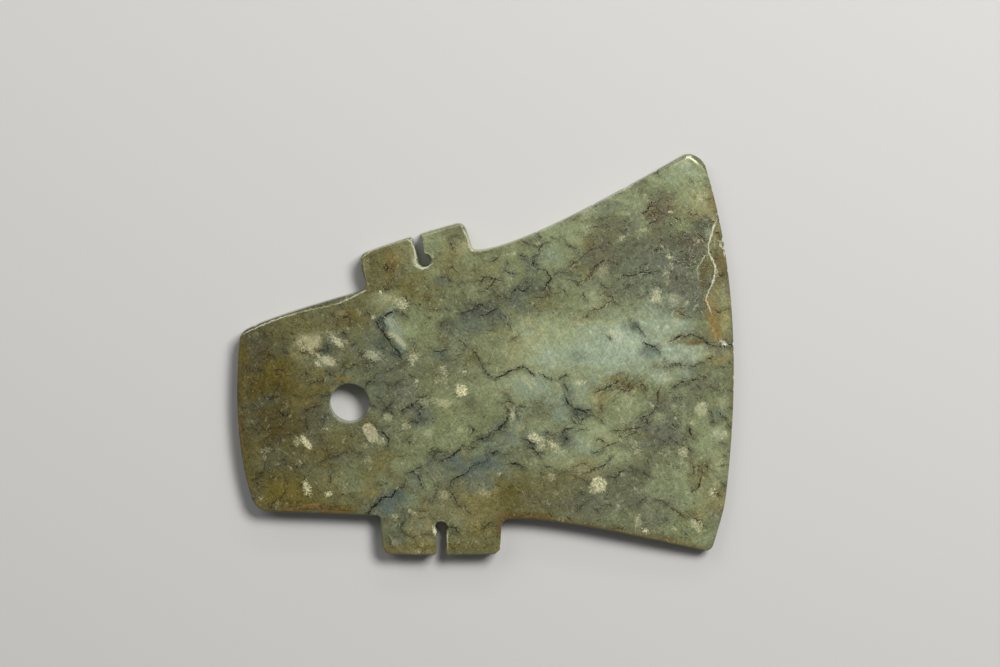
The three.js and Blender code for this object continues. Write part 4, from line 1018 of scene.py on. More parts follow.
# dark threads in the stone: full width (frame pixels), strength, warmth (0 black-green,
# 1 russet), points
VEINS = [
    # feathered russet hairs below the pale stone
    (1.4, 0.75, 1.0, [(598, 388), (604, 384), (612, 379.5)]), (1.3, 0.75, 1.0, [(605, 389.5), (613, 384.5), (620, 379.5)]),
    (1.2, 0.65, 0.9, [(615, 388.5), (622, 383.5), (628, 377)]), (1.2, 0.6, 0.8, [(626, 386.5), (631, 381.5), (637, 377)]),
    (1.2, 0.6, 1.0, [(599, 392.5), (607, 390.8), (615, 389)]), (1.1, 0.6, 0.9, [(634, 385), (639, 381), (642, 380)]),
    # russet streaks along the lower edge near the butt
    (1.5, 0.7, 1.0, [(299, 508.6), (306, 509.4), (313, 508.8)]), (1.3, 0.65, 1.0, [(309, 505.6), (316, 506.6), (322, 505.8)]),
    (1.5, 0.75, 1.0, [(318, 510), (325, 509.2), (333, 510.2)]), (1.2, 0.6, 1.0, [(327, 506.4), (333, 507.2), (339, 506.2)]),
    (1.4, 0.65, 1.0, [(336, 510.4), (343, 509.8), (350, 510.8)]), (1.2, 0.55, 1.0, [(286, 508), (291, 506.4), (296, 506.8)]),
    # short brown hairs of the butt
    (1.2, 0.75, 0.4, [(246, 372), (250, 370), (254, 371.5)]), (1.2, 0.7, 0.4, [(262, 352), (266, 350), (268, 346.5)]),
    (1.2, 0.75, 0.5, [(270, 396), (274, 397.5), (278, 396)]), (1.1, 0.7, 0.4, [(259, 405), (262, 408), (266, 408.5)]),
    (1.1, 0.7, 0.5, [(283, 402), (286, 404.5), (288, 408)]), (1.2, 0.75, 0.3, [(271, 420), (275, 417.5), (279, 418)]),
    (1.1, 0.7, 0.4, [(252, 428), (256, 430), (259, 433.5)]), (1.2, 0.7, 0.5, [(288, 436), (292, 433), (297, 433)]),
    (1.1, 0.7, 0.3, [(263, 447), (267, 444.5), (271, 445.5)]), (1.1, 0.65, 0.4, [(281, 459), (285, 461), (287, 465)]),
    (1.2, 0.7, 0.4, [(296, 466), (300, 463.5), (305, 464.5)]), (1.1, 0.65, 0.5, [(270, 480), (273, 477), (277, 476.5)]),
    (1.1, 0.7, 0.3, [(331, 470), (331.5, 474), (331, 479)]), (1.2, 0.7, 0.4, [(316, 395), (320, 393), (323, 394.5)]),
    (1.1, 0.7, 0.4, [(302, 376), (306, 373.5), (309, 374.5)]), (1.2, 0.75, 0.3, [(311, 383), (315, 380.5), (320, 382.5), (324, 381)]),
    (1.1, 0.65, 0.4, [(344, 366), (347, 369), (351, 369.5)]), (1.2, 0.75, 0.3, [(362, 358), (364.5, 362), (367, 363.5)]),
    (1.2, 0.7, 0.2, [(369, 359.5), (373, 362), (375, 366)]), (1.1, 0.65, 0.5, [(352, 366.5), (356, 365), (359, 366)]),
    (1.1, 0.65, 0.4, [(330, 361), (334, 359), (337, 362)]),
    # the long ones of the lower middle
    (2.2, 1.0, 0.0, [(368, 514), (372, 508), (377, 504), (380, 500), (382, 497), (385, 496.5), (388, 497.5), (391, 497), (394, 493), (396, 490), (398, 489), (401, 488)]),
    (1.2, 0.6, 0.1, [(402, 488), (403.5, 486), (405, 483)]),
    (1.2, 0.8, 0.0, [(407, 473), (410, 472.5), (413, 471), (416, 469.5), (419, 467.5), (421, 466)]),
    (1.3, 0.8, 0.0, [(413, 471), (416, 474), (418, 475.5), (419.5, 480), (422, 485), (423, 487)]),
    (0.9, 0.55, 0.0, [(421, 466), (424, 465), (428, 462.5), (431, 459), (433, 456)]),
    (1.5, 0.85, 0.0, [(432, 458), (434, 455), (437, 453), (440, 452)]),
    (1.1, 0.8, 0.2, [(429, 453), (432, 451.5), (434, 451), (437, 450)]),
    (1.1, 0.8, 0.2, [(437, 453.5), (440, 452.6), (443, 451.6), (446, 452)]),
    (1.9, 1.0, 0.1, [(441, 461), (442.5, 461), (445, 459), (449, 458), (452, 456), (455, 453), (458, 451), (461, 447.5), (463, 446)]),
    (1.1, 0.9, 0.1, [(463, 446), (466, 446.5), (470, 446), (472, 445)]),
    (1.3, 0.9, 0.1, [(468, 449.7), (471, 449), (473, 447.8), (475.5, 447.5)]),
    (1.6, 1.0, 0.0, [(476.5, 440.8), (480, 439.5), (484, 438), (488, 436), (491, 434.5), (493, 434.5)]),
    (1.9, 1.0, 0.0, [(490, 432.5), (492, 431.5), (495, 431), (498, 429.5), (500, 427), (503, 424.5), (506, 421.5), (508, 417), (508.5, 413), (508, 410)]),
    (1.0, 0.8, 0.0, [(497, 431), (502, 430.5), (506, 431.5)]),
    (1.3, 0.9, 0.5, [(507, 408), (508.5, 411), (508, 415)]),
    (1.6, 0.95, 0.0, [(448, 489), (450, 486), (450.5, 482), (453, 480), (454.5, 478), (458, 477), (462, 475.5), (466, 473.5), (469, 470), (471, 467.5), (474, 465.5)]),
    (1.1, 0.7, 0.0, [(474, 465.5), (479, 463.5), (484, 462), (488, 459)]),
    (1.2, 0.8, 0.0, [(489, 450), (489.5, 452), (491, 454), (494, 453), (497, 451)]),
    (1.2, 0.85, 0.1, [(449, 490), (452, 494), (455, 499), (457, 503), (459, 506)]),
    (1.1, 0.6, 0.4, [(438, 487), (437, 491), (435, 496), (434, 500)]),
    (1.0, 0.6, 0.4, [(465, 505), (466, 509), (468, 512), (470, 513)]),
    (1.4, 0.9, 0.1, [(511, 464), (515, 463.5), (518, 464), (521, 466), (526, 468)]),
    (1.1, 0.6, 0.2, [(503, 453.5), (506, 454.5), (510, 454)]),
    # round the hole
    (1.2, 0.9, 0.1, [(363, 389), (365, 387), (367, 383), (370, 381.5), (376, 382)]),
    (1.1, 0.85, 0.1, [(374, 378), (375.5, 375), (379, 372.5)]),
    (1.3, 0.95, 0.1, [(385, 371.8), (388, 370), (391, 370), (394, 367.5)]),
    (0.9, 0.5, 0.1, [(401, 363.5), (405, 362), (409, 362)]),
    (1.2, 0.75, 0.0, [(385, 382), (387.5, 384.5)]),
    (1.3, 0.8, 0.0, [(393, 386.5), (396, 385), (398, 382.5)]),
    (2.0, 1.0, 0.0, [(402, 411), (406, 408.5), (411, 406), (415, 403), (418, 400)]),
    (1.2, 0.8, 0.0, [(418, 399), (422, 396.5), (428, 396)]),
    (1.4, 0.8, 0.0, [(416, 402), (419, 404.5), (422, 408)]),
    (1.4, 0.85, 0.0, [(382, 402), (385, 406), (388, 408), (390, 405), (392, 403)]),
    (1.2, 0.8, 0.0, [(388, 408), (385, 411), (383, 413)]),
    (1.1, 0.75, 0.1, [(370, 404.5), (372, 405.5), (376, 407.2)]),
    (1.2, 0.8, 0.0, [(390, 411), (393, 413.5), (395, 416)]),
    (1.4, 0.85, 0.2, [(407, 426), (409, 423.5), (411, 422), (414, 422.5), (418, 423)]),
    (1.3, 0.8, 0.0, [(417, 410), (419.5, 413), (421, 417), (424, 421)]),
    (1.1, 0.7, 0.0, [(418, 422), (421, 420.5), (425, 420)]),
    (1.8, 0.95, 0.0, [(382, 431), (385, 435), (388, 438), (389.5, 442)]),
    (1.1, 0.6, 0.1, [(389, 443), (387, 446)]),
    (1.2, 0.7, 0.4, [(406, 439.5), (408.5, 437.5)]),
    (1.2, 0.8, 0.3, [(408, 441), (410, 442.5), (412, 443)]),
    (1.2, 0.85, 0.3, [(472, 427.5), (473.5, 430.5), (472, 433)]),
    (1.3, 0.95, 0.0, [(330.5, 472), (331, 476), (330, 482)]),
    (1.2, 0.8, 0.6, [(321, 461.5), (324, 461), (328, 457.5), (330, 454.5), (334, 451.5)]),
    (1.2, 0.8, 0.1, [(331, 458), (336, 456.5), (340, 455), (343, 453), (346, 452)]),
    (1.2, 0.7, 0.4, [(350, 448), (351, 450), (353, 451)]),
    (1.2, 0.75, 0.1, [(361, 454), (363, 456), (364.5, 457.5)]),
    (1.1, 0.85, 0.1, [(354.5, 344.5), (355, 348.5)]),
    (1.4, 0.9, 0.1, [(361, 351), (362, 353.5), (364, 355), (366, 356.5)]),
    (1.3, 0.8, 0.4, [(358, 357), (361, 354.5)]),
    (1.1, 0.8, 0.1, [(336, 362), (339.5, 361.8)]),
    (1.1, 0.75, 0.1, [(342, 367), (343.5, 363.5), (345.5, 361.5)]),
    (1.2, 0.85, 0.4, [(351.5, 367), (354, 364.5), (357, 365)]),
    (1.1, 0.8, 0.3, [(363, 362), (365, 363), (367, 364)]),
    (1.2, 0.85, 0.1, [(365, 367), (367, 368), (370, 368.7)]),
    (1.5, 0.9, 0.2, [(326.5, 371), (329, 373.5), (332, 375.5), (334, 376)]),
    (1.1, 0.7, 0.3, [(334, 383.5), (335, 380.5), (337, 380)]),
    (1.2, 0.7, 0.8, [(340.5, 382), (343, 383)]),
    (1.3, 0.8, 0.1, [(322, 419.5), (324, 417.5), (326.5, 415.5)]),
    (1.1, 0.7, 0.1, [(325, 420), (323.5, 423.5), (321, 428)]),
    (1.1, 0.8, 0.2, [(306, 423), (306.5, 426), (307.5, 428.5)]),
    (1.1, 0.6, 0.2, [(315, 436), (318, 434), (321, 436), (323, 441)]),
    (1.2, 0.8, 0.0, [(319, 350.5), (323, 350.5), (327, 350)]),
    (1.3, 0.9, 0.0, [(327.5, 345.5), (328, 348.5), (326.5, 351)]),
    (1.0, 0.7, 0.6, [(316, 352.5), (319, 351.5)]),
    # butt end
    (1.3, 0.9, 0.3, [(310, 383.7), (313, 382.5), (316, 381.5), (319, 382.8), (322, 382.5), (324, 379.5)]),
    (1.0, 0.6, 0.4, [(293, 395), (297, 396.5), (301, 396.5)]),
    (1.1, 0.7, 0.6, [(305.5, 396), (308, 397.3), (311, 396)]),
    (1.2, 0.85, 0.3, [(320, 395), (321.5, 396.4), (325, 396.2), (329, 395)]),
    (1.5, 0.95, 0.4, [(304.5, 412), (307, 409.5), (310, 407.2), (313, 407.2), (316, 406), (320, 405)]),
    (1.0, 0.8, 0.3, [(257, 391.5), (259, 392.7)]),
    (1.5, 0.95, 0.3, [(261.5, 393), (263.5, 396), (266, 398), (268.5, 398.5), (272, 400)]),
    (1.7, 1.0, 0.2, [(278, 410.5), (280.5, 412.5), (283, 415), (286, 417), (288, 415.5), (287, 412)]),
    (1.2, 0.8, 0.6, [(241, 363.5), (244, 366.5), (247.5, 368.7)]),
    (1.1, 0.7, 0.6, [(242, 369), (244.5, 371.5)]),
    (1.3, 0.85, 0.5, [(262.5, 359.5), (266, 357.5), (269, 355), (272, 355.5), (274.5, 357.5)]),
    (1.2, 0.8, 0.5, [(283, 349), (284, 351), (286.5, 354.5)]),
    (1.1, 0.6, 0.4, [(283, 339), (283.5, 345)]),
    (1.2, 0.85, 0.9, [(274, 373), (277, 374.5), (279.5, 375)]),
    (1.2, 0.85, 0.9, [(273.5, 370.5), (278, 369.7), (282, 370.3), (286, 372)]),
    (1.1, 0.8, 0.3, [(251.5, 384), (251, 389), (250, 392), (249, 396)]),
    (1.3, 0.85, 0.4, [(276, 389.5), (278, 386), (279, 384.5)]),
    (1.3, 0.85, 0.5, [(263, 331.5), (265, 333.5)]),
    (1.2, 0.7, 0.5, [(265, 335), (268, 338.5)]),
    (1.1, 0.7, 0.5, [(256, 356.5), (259, 353)]),
    (1.2, 0.8, 0.2, [(254.5, 369), (258, 368.5), (262, 370)]),
    (1.2, 0.7, 0.3, [(256, 373), (259, 372), (262, 370.5)]),
    (1.2, 0.85, 0.9, [(298.5, 350.5), (301, 353.5), (305, 353)]),
    (1.2, 0.8, 0.9, [(303, 349.5), (306, 351), (309, 354.5)]),
    (1.1, 0.8, 1.0, [(302.5, 342), (303.2, 345)]),
    (1.0, 0.7, 0.9, [(251, 379.5), (255, 381), (259, 382.5)]),
    (1.0, 0.7, 0.5, [(282, 391), (284, 395)]),
    (1.1, 0.6, 0.3, [(240, 408.5), (243, 408), (247, 407)]),
    (1.1, 0.65, 0.1, [(253, 406), (257, 407)]),
    (1.1, 0.75, 0.5, [(278, 427.5), (281, 426), (284, 423), (285.5, 419)]),
    (1.0, 0.7, 0.5, [(267, 430), (272, 429.3), (277, 429), (281, 428)]),
    (1.1, 0.75, 0.4, [(259, 423.5), (262, 426.5), (265, 430), (268, 430.5)]),
    (1.0, 0.6, 0.4, [(268, 427.3), (273, 428.6), (277, 428)]),
    (1.1, 0.75, 0.4, [(263, 443), (266, 439), (269, 436), (273, 434.5), (278, 435), (281, 437.5), (280, 441)]),
    (1.0, 0.7, 0.5, [(272, 438), (275, 436.7)]),
    (1.1, 0.6, 0.3, [(257, 419), (262, 419)]),
    (1.3, 0.8, 1.0, [(241, 424), (243, 428), (242, 432)]),
    (1.5, 0.85, 0.1, [(264.5, 452), (267.5, 453)]),
    (1.5, 0.85, 0.1, [(269.5, 451.5), (272, 450.5)]),
    (1.3, 0.8, 0.1, [(258, 475), (260, 473), (262, 474)]),
    (1.2, 0.8, 0.3, [(254, 479.5), (258, 478.7)]),
    (1.0, 0.65, 0.1, [(266, 459), (265, 464), (264.5, 469), (262.5, 474)]),
    (1.0, 0.65, 0.3, [(270, 465), (271, 469)]),
    (1.1, 0.75, 0.1, [(281, 463), (283.3, 459)]),
    (1.2, 0.85, 0.6, [(293, 464), (296, 466), (298, 469.5)]),
    (1.2, 0.8, 0.3, [(292, 445.5), (294, 447.5), (296, 448)]),
    (1.0, 0.7, 0.3, [(304, 448.5), (302, 453)]),
    (1.2, 0.85, 0.9, [(300.5, 485), (303, 481.5)]),
    (1.1, 0.6, 0.3, [(260, 487), (264, 487.2)]),
    (1.3, 0.8, 1.0, [(271, 505), (274, 502.5), (278, 499), (282, 497), (284, 493), (285.5, 489)]),
    (1.1, 0.7, 0.5, [(271, 509.5), (272, 505)]),
    (1.0, 0.5, 0.3, [(376, 485), (379, 484)]),
    (1.0, 0.5, 0.3, [(352, 495), (354, 497)]),
    (1.0, 0.6, 0.2, [(279.5, 444), (280, 440)]),
    (1.0, 0.6, 0.4, [(286, 480.5), (284, 477)]),
    # below the upper tang edge
    (1.3, 0.85, 0.7, [(342.5, 318.5), (345, 317), (347.5, 316.5)]),
    (1.1, 0.7, 0.9, [(347, 312), (349.5, 315)]),
    (1.5, 0.8, 0.9, [(349.5, 319.5), (350, 323), (349.5, 326)]),
    (1.2, 0.75, 0.1, [(332, 314), (334, 316.5), (336.5, 318.5)]),
    (1.1, 0.7, 0.6, [(340, 305), (342.5, 308.5)]),
    (1.3, 0.75, 0.1, [(344, 333), (345.5, 335.5)]),
    (1.0, 0.6, 0.5, [(352, 319), (356, 321)]),
    (1.3, 0.8, 0.0, [(368, 313), (370, 315)]),
    # upper flange
    (2.0, 0.9, 1.0, [(385.3, 264), (388, 267.5)]),
    (2.4, 0.95, 0.8, [(384.5, 268.5), (387.5, 270.5)]),
    (1.4, 0.75, 1.0, [(391, 268.5), (393.5, 272), (394.5, 276), (393.5, 281)]),
    (1.1, 0.8, 0.5, [(382.5, 286.5), (384.5, 289.5), (387, 289.7), (389.5, 287)]),
    (1.2, 0.75, 0.8, [(449.5, 268.5), (452, 266), (454, 269), (456, 271.5)]),
    (1.1, 0.7, 0.9, [(448.5, 239), (450.5, 243), (452, 247), (454.5, 251)]),
    (1.1, 0.7, 0.8, [(452, 237), (454.5, 235.7), (457, 235.5)]),
    (1.0, 0.6, 0.9, [(445, 230), (447, 228.5)]),
    (1.0, 0.6, 0.8, [(444, 233), (445.5, 236)]),
    (1.2, 0.8, 0.3, [(458, 284.5), (460.5, 282.7), (463.5, 282.5)]),
    (1.0, 0.7, 0.5, [(468, 282.3), (471, 281.2), (475, 282)]),
    (1.5, 0.95, 0.1, [(478.5, 280.5), (481, 281), (483, 278.2), (486, 276.5), (490, 277), (494, 279)]),
    (2.0, 1.0, 0.8, [(487, 289.3), (489, 287), (491.5, 285.5), (493.5, 282.5), (494, 280), (496.5, 279.3), (502, 281)]),
    (1.4, 0.9, 0.8, [(492.5, 260.8), (496, 259.5), (498, 257)]),
    (1.3, 0.9, 0.2, [(503, 271), (505.5, 270.5), (509, 272.5), (514, 274)]),
    (1.0, 0.7, 0.1, [(507, 265), (506, 270)]),
    (1.3, 0.8, 0.4, [(494, 291.5), (495.5, 293.5)]),
    (1.7, 0.9, 0.1, [(498, 295.5), (500, 298)]),
    (1.1, 0.75, 0.2, [(480, 291.5), (485, 291)]),
    (1.0, 0.7, 0.3, [(487.5, 303.5), (490, 301), (494, 300), (497, 299.3)]),
    (1.2, 0.8, 0.1, [(505, 298), (509, 299.3), (513, 298)]),
    (1.3, 0.85, 0.1, [(511.5, 294.5), (514, 290.5), (517, 288.5), (521, 290)]),
    (1.6, 0.95, 0.6, [(429.5, 308.7), (432, 310), (437.5, 309.5)]),
    (1.3, 0.85, 0.2, [(443, 308.5), (446, 308.5), (448.5, 310.2)]),
    (1.2, 0.75, 0.0, [(441, 277.5), (445, 277.3), (450, 280)]),
    (1.3, 0.85, 0.5, [(472, 301), (474, 302.3), (475.5, 304)]),
    (2.1, 1.0, 0.0, [(467, 311), (470, 311), (473, 309.8), (475.5, 307), (478, 304.7), (481, 305), (485, 306.8)]),
    (1.4, 0.9, 0.0, [(461, 313.5), (463.5, 314), (463.5, 318)]),
    (1.4, 0.9, 0.0, [(484, 315), (489, 312.5), (493, 310.5), (497, 308)]),
    (1.6, 0.9, 0.0, [(480, 316), (484, 315.5), (489, 313)]),
    (1.2, 0.85, 0.1, [(500, 314), (503, 315.2), (506, 318)]),
    (1.2, 0.8, 0.1, [(405.5, 297), (407, 300), (406.5, 304), (408, 307)]),
    (1.7, 0.95, 0.0, [(384.5, 316.5), (388, 313.5), (391.5, 312), (395, 310)]),
    (1.7, 0.8, 0.1, [(402, 313), (405, 314.5)]),
    (1.3, 0.7, 0.5, [(405.5, 316), (408, 318)]),
    (1.0, 0.55, 0.3, [(424, 284), (426.5, 285.5), (429, 288)]),
    (1.0, 0.5, 0.4, [(428, 296), (430, 300), (432, 303)]),
    (1.1, 0.7, 0.9, [(440.5, 325.5), (442.5, 322.5), (446, 320)]),
    # streaks beside the pale splash
    (2.4, 1.0, 0.0, [(376, 322), (379, 327), (383, 331.5), (385, 335), (388, 339), (391, 343.5)]),
    (2.0, 0.9, 0.0, [(391, 344), (394, 349), (398, 351), (401, 354), (401, 357.5)]),
    (1.6, 0.8, 0.0, [(392, 352.5), (396, 354.3), (400, 357)]),
    (1.5, 0.65, 0.0, [(380, 344.5), (383, 349), (387, 351.5)]),
    (1.3, 0.8, 0.0, [(380, 320), (384, 324), (386, 327)]),
    # middle
    (1.7, 1.0, 0.4, [(433, 350.5), (436, 352), (440, 351.5), (443, 350.7), (446.5, 350)]),
    (1.3, 0.85, 0.7, [(442, 339), (444.5, 338)]),
    (1.5, 0.9, 0.4, [(448.5, 327.5), (450.5, 331), (453, 334.5)]),
    (1.6, 0.9, 0.6, [(440, 325.5), (442, 324.5)]),
    (1.0, 0.65, 0.6, [(407, 341), (410, 338.7), (416, 339)]),
    (1.3, 0.8, 0.5, [(411, 353.5), (414, 351), (415.5, 348)]),
    (1.3, 0.85, 0.1, [(461, 340.5), (463.5, 343), (466, 345.3)]),
    (1.2, 0.8, 0.0, [(461.5, 312), (465, 314)]),
    (1.6, 0.8, 0.5, [(472.5, 350), (475, 352.5), (478, 357.5), (480, 362)]),
    (1.5, 0.95, 0.1, [(480, 362), (484, 369), (487, 373.5), (491, 377), (495, 378.3)]),
    (2.1, 1.0, 0.1, [(495, 378.3), (500, 376.5), (505, 374.5), (508, 372), (511, 370.5)]),
    (1.5, 0.9, 0.1, [(511, 370.5), (515, 368.8), (519, 367.6), (523, 367)]),
    (2.2, 1.0, 0.1, [(523, 367), (527, 369), (530, 371.8), (533, 373.5), (534.5, 375)]),
    (1.6, 0.9, 0.1, [(543.5, 375.5), (547, 377.5), (551, 378.5)]),
    (2.3, 1.0, 0.0, [(559, 379), (562, 377), (565.5, 375.7)]),
    (1.5, 0.85, 0.6, [(564.5, 385.5), (566.5, 388.5), (568, 392)]),
    (1.2, 0.75, 0.4, [(507, 324), (510, 325), (511, 328)]),
    (1.3, 0.8, 0.6, [(511, 340), (513, 339), (515.5, 337)]),
    (1.0, 0.75, 0.2, [(504.5, 394), (507.5, 396), (510.5, 397.7)]),
    (1.4, 0.85, 0.5, [(503, 403), (507, 401.5), (511, 401.3), (515, 404.5)]),
    (1.1, 0.7, 0.3, [(498.5, 403), (503, 402.3)]),
    (1.6, 0.9, 0.5, [(506.5, 408), (508.5, 412)]),
    (1.1, 0.75, 0.1, [(517, 407.5), (521, 406.5), (525.5, 407)]),
    (1.3, 0.8, 0.0, [(516, 413), (518, 417)]),
    (1.7, 0.9, 0.0, [(566, 398), (568, 403), (572, 407)]),
    (2.2, 0.95, 0.0, [(573.5, 409.8), (578, 409.2), (583, 411), (589, 410)]),
    (1.8, 0.9, 0.0, [(576, 413.5), (578, 418), (580, 420.3), (585, 419)]),
    (1.4, 0.8, 0.0, [(573.5, 420), (576, 424)]),
    (1.4, 0.7, 0.0, [(584, 412), (588, 416)]),
    (1.8, 0.95, 0.0, [(563, 431.5), (565.5, 429), (571, 428.3)]),
    (1.8, 0.8, 0.0, [(563, 435), (567, 438), (565, 442)]),
    (1.1, 0.8, 0.5, [(590, 415), (595, 416.5), (599, 417.7), (603, 422)]),
    (1.7, 0.85, 0.9, [(597, 391.5), (603, 389.3), (608, 386.5), (613, 384.3), (619, 382)]),
    (1.7, 0.85, 0.8, [(619, 389.5), (624, 390.7), (628, 391.5), (632, 388.5)]),
    (1.4, 0.75, 0.8, [(620, 386), (628, 386.5)]),
    (1.1, 0.7, 0.8, [(615, 375.5), (620, 373.5)]),
    (1.7, 0.8, 0.6, [(642, 384), (645, 387), (644, 390)]),
    (1.2, 0.8, 0.6, [(601, 406), (602, 411)]),
    (1.8, 0.9, 0.6, [(660, 389.5), (658, 393.5), (657.5, 398), (657, 402)]),
    (1.9, 0.95, 0.3, [(656, 408), (653, 412), (648.5, 415.7), (644, 416.7), (640, 418)]),
    (1.5, 0.85, 0.2, [(646, 419), (647.5, 424)]),
    (1.4, 0.85, 0.5, [(613, 431), (619, 430.5)]),
    (1.6, 0.9, 0.5, [(624, 430.5), (630, 429), (636, 428.3), (642, 427.3)]),
    (1.3, 0.8, 0.8, [(620, 436), (625, 437), (630, 434), (637, 432.5)]),
    (1.7, 0.85, 0.8, [(596.5, 440.5), (600, 439), (604.5, 442)]),
    (1.1, 0.8, 0.5, [(578, 431), (581, 429.7), (585, 430)]),
    (1.4, 0.9, 0.1, [(524, 439.5), (528, 440.5), (531, 443), (534.5, 445.5)]),
    (1.5, 0.85, 0.0, [(545, 434), (549, 431.5)]),
    (1.5, 0.8, 0.3, [(550, 437), (554, 434.5)]),
    (1.4, 0.9, 0.1, [(530, 447), (534, 449.8), (537, 452.7), (540, 456.5)]),
    (1.4, 0.9, 0.1, [(538, 452.5), (542, 451.5)]),
    (1.0, 0.7, 0.3, [(543, 466), (547, 467), (552, 467), (556, 470.3)]),
    (1.3, 0.85, 0.4, [(592, 451.3), (594, 453), (598, 452.3), (602, 451.3)]),
    (1.2, 0.75, 0.6, [(602, 449), (606, 446.3), (612, 444), (618, 442.5)]),
    (1.6, 0.95, 0.4, [(591, 469), (597, 468), (602, 466), (606, 464.5), (608, 461), (611.5, 457)]),
    (1.1, 0.75, 0.7, [(573, 467), (578, 465), (582, 463.3), (585, 463.7), (588.5, 466.5)]),
    (1.0, 0.65, 0.7, [(563, 472.5), (570, 471), (574, 471)]),
    (1.2, 0.75, 0.9, [(573, 475), (578, 477), (584, 480), (588, 484.5)]),
    (1.0, 0.65, 0.7, [(582, 474), (588, 472), (594, 471.3)]),
    (1.5, 0.85, 0.1, [(610, 476.5), (614, 477.7), (618, 476.2), (620, 472.5), (623, 471.3)]),
    (1.3, 0.8, 0.4, [(605, 505), (609, 504.5), (611.5, 506)]),
    (1.2, 0.7, 0.2, [(606, 496), (609, 493)]),
    (1.1, 0.7, 0.2, [(580, 494.5), (582.5, 492)]),
    (1.1, 0.7, 0.3, [(576, 511), (580, 508), (584, 504)]),
    (1.1, 0.7, 0.1, [(595.5, 508.5), (598, 511.5)]),
    (1.3, 0.8, 0.1, [(638.5, 504), (641, 501), (644, 499)]),
    (1.2, 0.6, 0.5, [(655, 500), (662, 501.5)]),
    (1.3, 0.8, 0.3, [(647.5, 463), (648.5, 459.5)]),
    (1.2, 0.7, 0.2, [(643, 473), (647, 474.7), (650, 476.5)]),
    # lower flange
    (1.2, 0.85, 0.1, [(406, 520.5), (403, 523.5), (400.5, 527.5)]),
    (1.2, 0.8, 0.1, [(400.5, 527.5), (403, 531.5), (407, 535)]),
    (0.9, 0.5, 0.1, [(404, 511), (404.5, 516), (406.5, 520)]),
    (1.4, 0.8, 0.1, [(389.5, 540), (390.5, 543.5), (392.5, 546)]),
    (1.9, 0.95, 0.1, [(448, 527), (452, 526.3), (455.5, 528), (456.5, 531)]),
    (1.6, 0.9, 0.1, [(453.5, 531.5), (457, 532), (460, 534.5)]),
    (1.1, 0.75, 0.4, [(484, 529), (486, 526), (489, 523.5), (492, 523)]),
    (1.0, 0.6, 0.5, [(492, 523), (496, 525), (498, 528)]),
    (1.0, 0.7, 0.3, [(422, 535), (426, 534), (431, 534.3)]),
    (1.1, 0.75, 0.8, [(433, 518.5), (435, 521), (437, 522.5)]),
    (1.1, 0.7, 0.4, [(413, 537), (415, 539), (416, 542)]),
    (1.0, 0.65, 0.8, [(416, 546), (419, 547.5), (423, 549)]),
    (1.3, 0.75, 1.0, [(421, 554), (423, 550.5), (425.5, 548)]),
    (1.0, 0.6, 0.6, [(449, 546.5), (454, 549)]),
    (1.0, 0.55, 0.9, [(425, 499), (422.5, 504), (423, 510)]),
    (1.3, 0.7, 0.8, [(420, 511), (424, 511)]),
    (1.2, 0.7, 0.4, [(500, 540), (498, 536)]),
    # upper blade
    (1.5, 0.95, 0.1, [(536.5, 232), (538, 235), (540, 237), (539.5, 239.5)]),
    (1.4, 0.95, 0.2, [(547.5, 243), (543, 245), (540.5, 246.7), (539, 249.5)]),
    (1.1, 0.7, 0.3, [(535, 245), (539, 248)]),
    (1.4, 0.85, 0.4, [(523, 242), (526, 242.5), (529, 244.5)]),
    (1.2, 0.75, 0.3, [(531, 243), (533.5, 246)]),
    (1.4, 0.9, 0.5, [(568, 244.5), (571, 246.5), (575, 248)]),
    (1.3, 0.8, 0.4, [(576, 232), (580, 232.3)]),
    (1.1, 0.7, 0.4, [(553, 237.7), (556, 239), (559, 239.8), (562, 237.5)]),
    (1.4, 0.9, 0.9, [(585.5, 237.5), (589.5, 237)]),
    (1.1, 0.8, 0.7, [(592, 235.3), (595, 236.5)]),
    (1.9, 0.85, 0.1, [(593.3, 204), (594.5, 206)]),
    (1.3, 0.75, 0.1, [(608, 208.5), (609.5, 210.5)]),
    (1.3, 0.75, 0.3, [(615, 202), (618, 203)]),
    (1.2, 0.7, 0.3, [(617, 194.5), (621.5, 193)]),
    (1.9, 0.9, 0.6, [(641, 213), (645, 213), (648, 210)]),
    (2.2, 1.0, 0.8, [(648.5, 207.5), (651, 206), (655, 206.3)]),
    (1.6, 0.9, 0.8, [(649.5, 204), (652, 202.7), (655, 203)]),
    (1.2, 0.75, 0.8, [(650.5, 217), (654, 216.3)]),
    (1.5, 0.85, 0.6, [(650, 223.5), (653, 222.2), (657, 221.5)]),
    (1.0, 0.65, 0.5, [(657, 204), (659, 201), (661, 199)]),
    (1.1, 0.7, 0.5, [(622, 221.2), (627, 221.7)]),
    (1.1, 0.75, 0.6, [(593, 227.5), (598, 227.2)]),
    (1.0, 0.7, 0.8, [(602, 226.3), (604, 224.8), (607, 224.3)]),
    (1.5, 0.75, 0.4, [(620, 231), (624, 232), (627, 229)]),
    (1.1, 0.75, 0.6, [(606, 242.7), (609.5, 243.5)]),
    (1.8, 0.85, 0.3, [(653, 250), (656, 251.3), (660, 249)]),
    (1.8, 1.0, 0.0, [(520.5, 255.3), (524, 257.3), (528, 257.3)]),
    (1.7, 1.0, 0.0, [(530.5, 260), (533, 262), (537, 265.3)]),
    (1.6, 1.0, 0.0, [(532, 257.8), (534.5, 256), (537, 255.3)]),
    (1.5, 0.95, 0.0, [(534.5, 260), (532.5, 262.7), (531, 265)]),
    (1.4, 0.9, 0.0, [(539.5, 247), (540, 250.5)]),
    (1.4, 0.9, 0.1, [(535, 268.5), (539, 269), (543, 270), (546.5, 270.2)]),
    (1.7, 1.0, 0.1, [(546.5, 270.2), (548, 274), (550.5, 277), (551.5, 279.5), (549.5, 281.5), (547, 283.5), (545, 285.5)]),
    (1.6, 0.95, 0.1, [(545.5, 284.5), (549, 286.5)]),
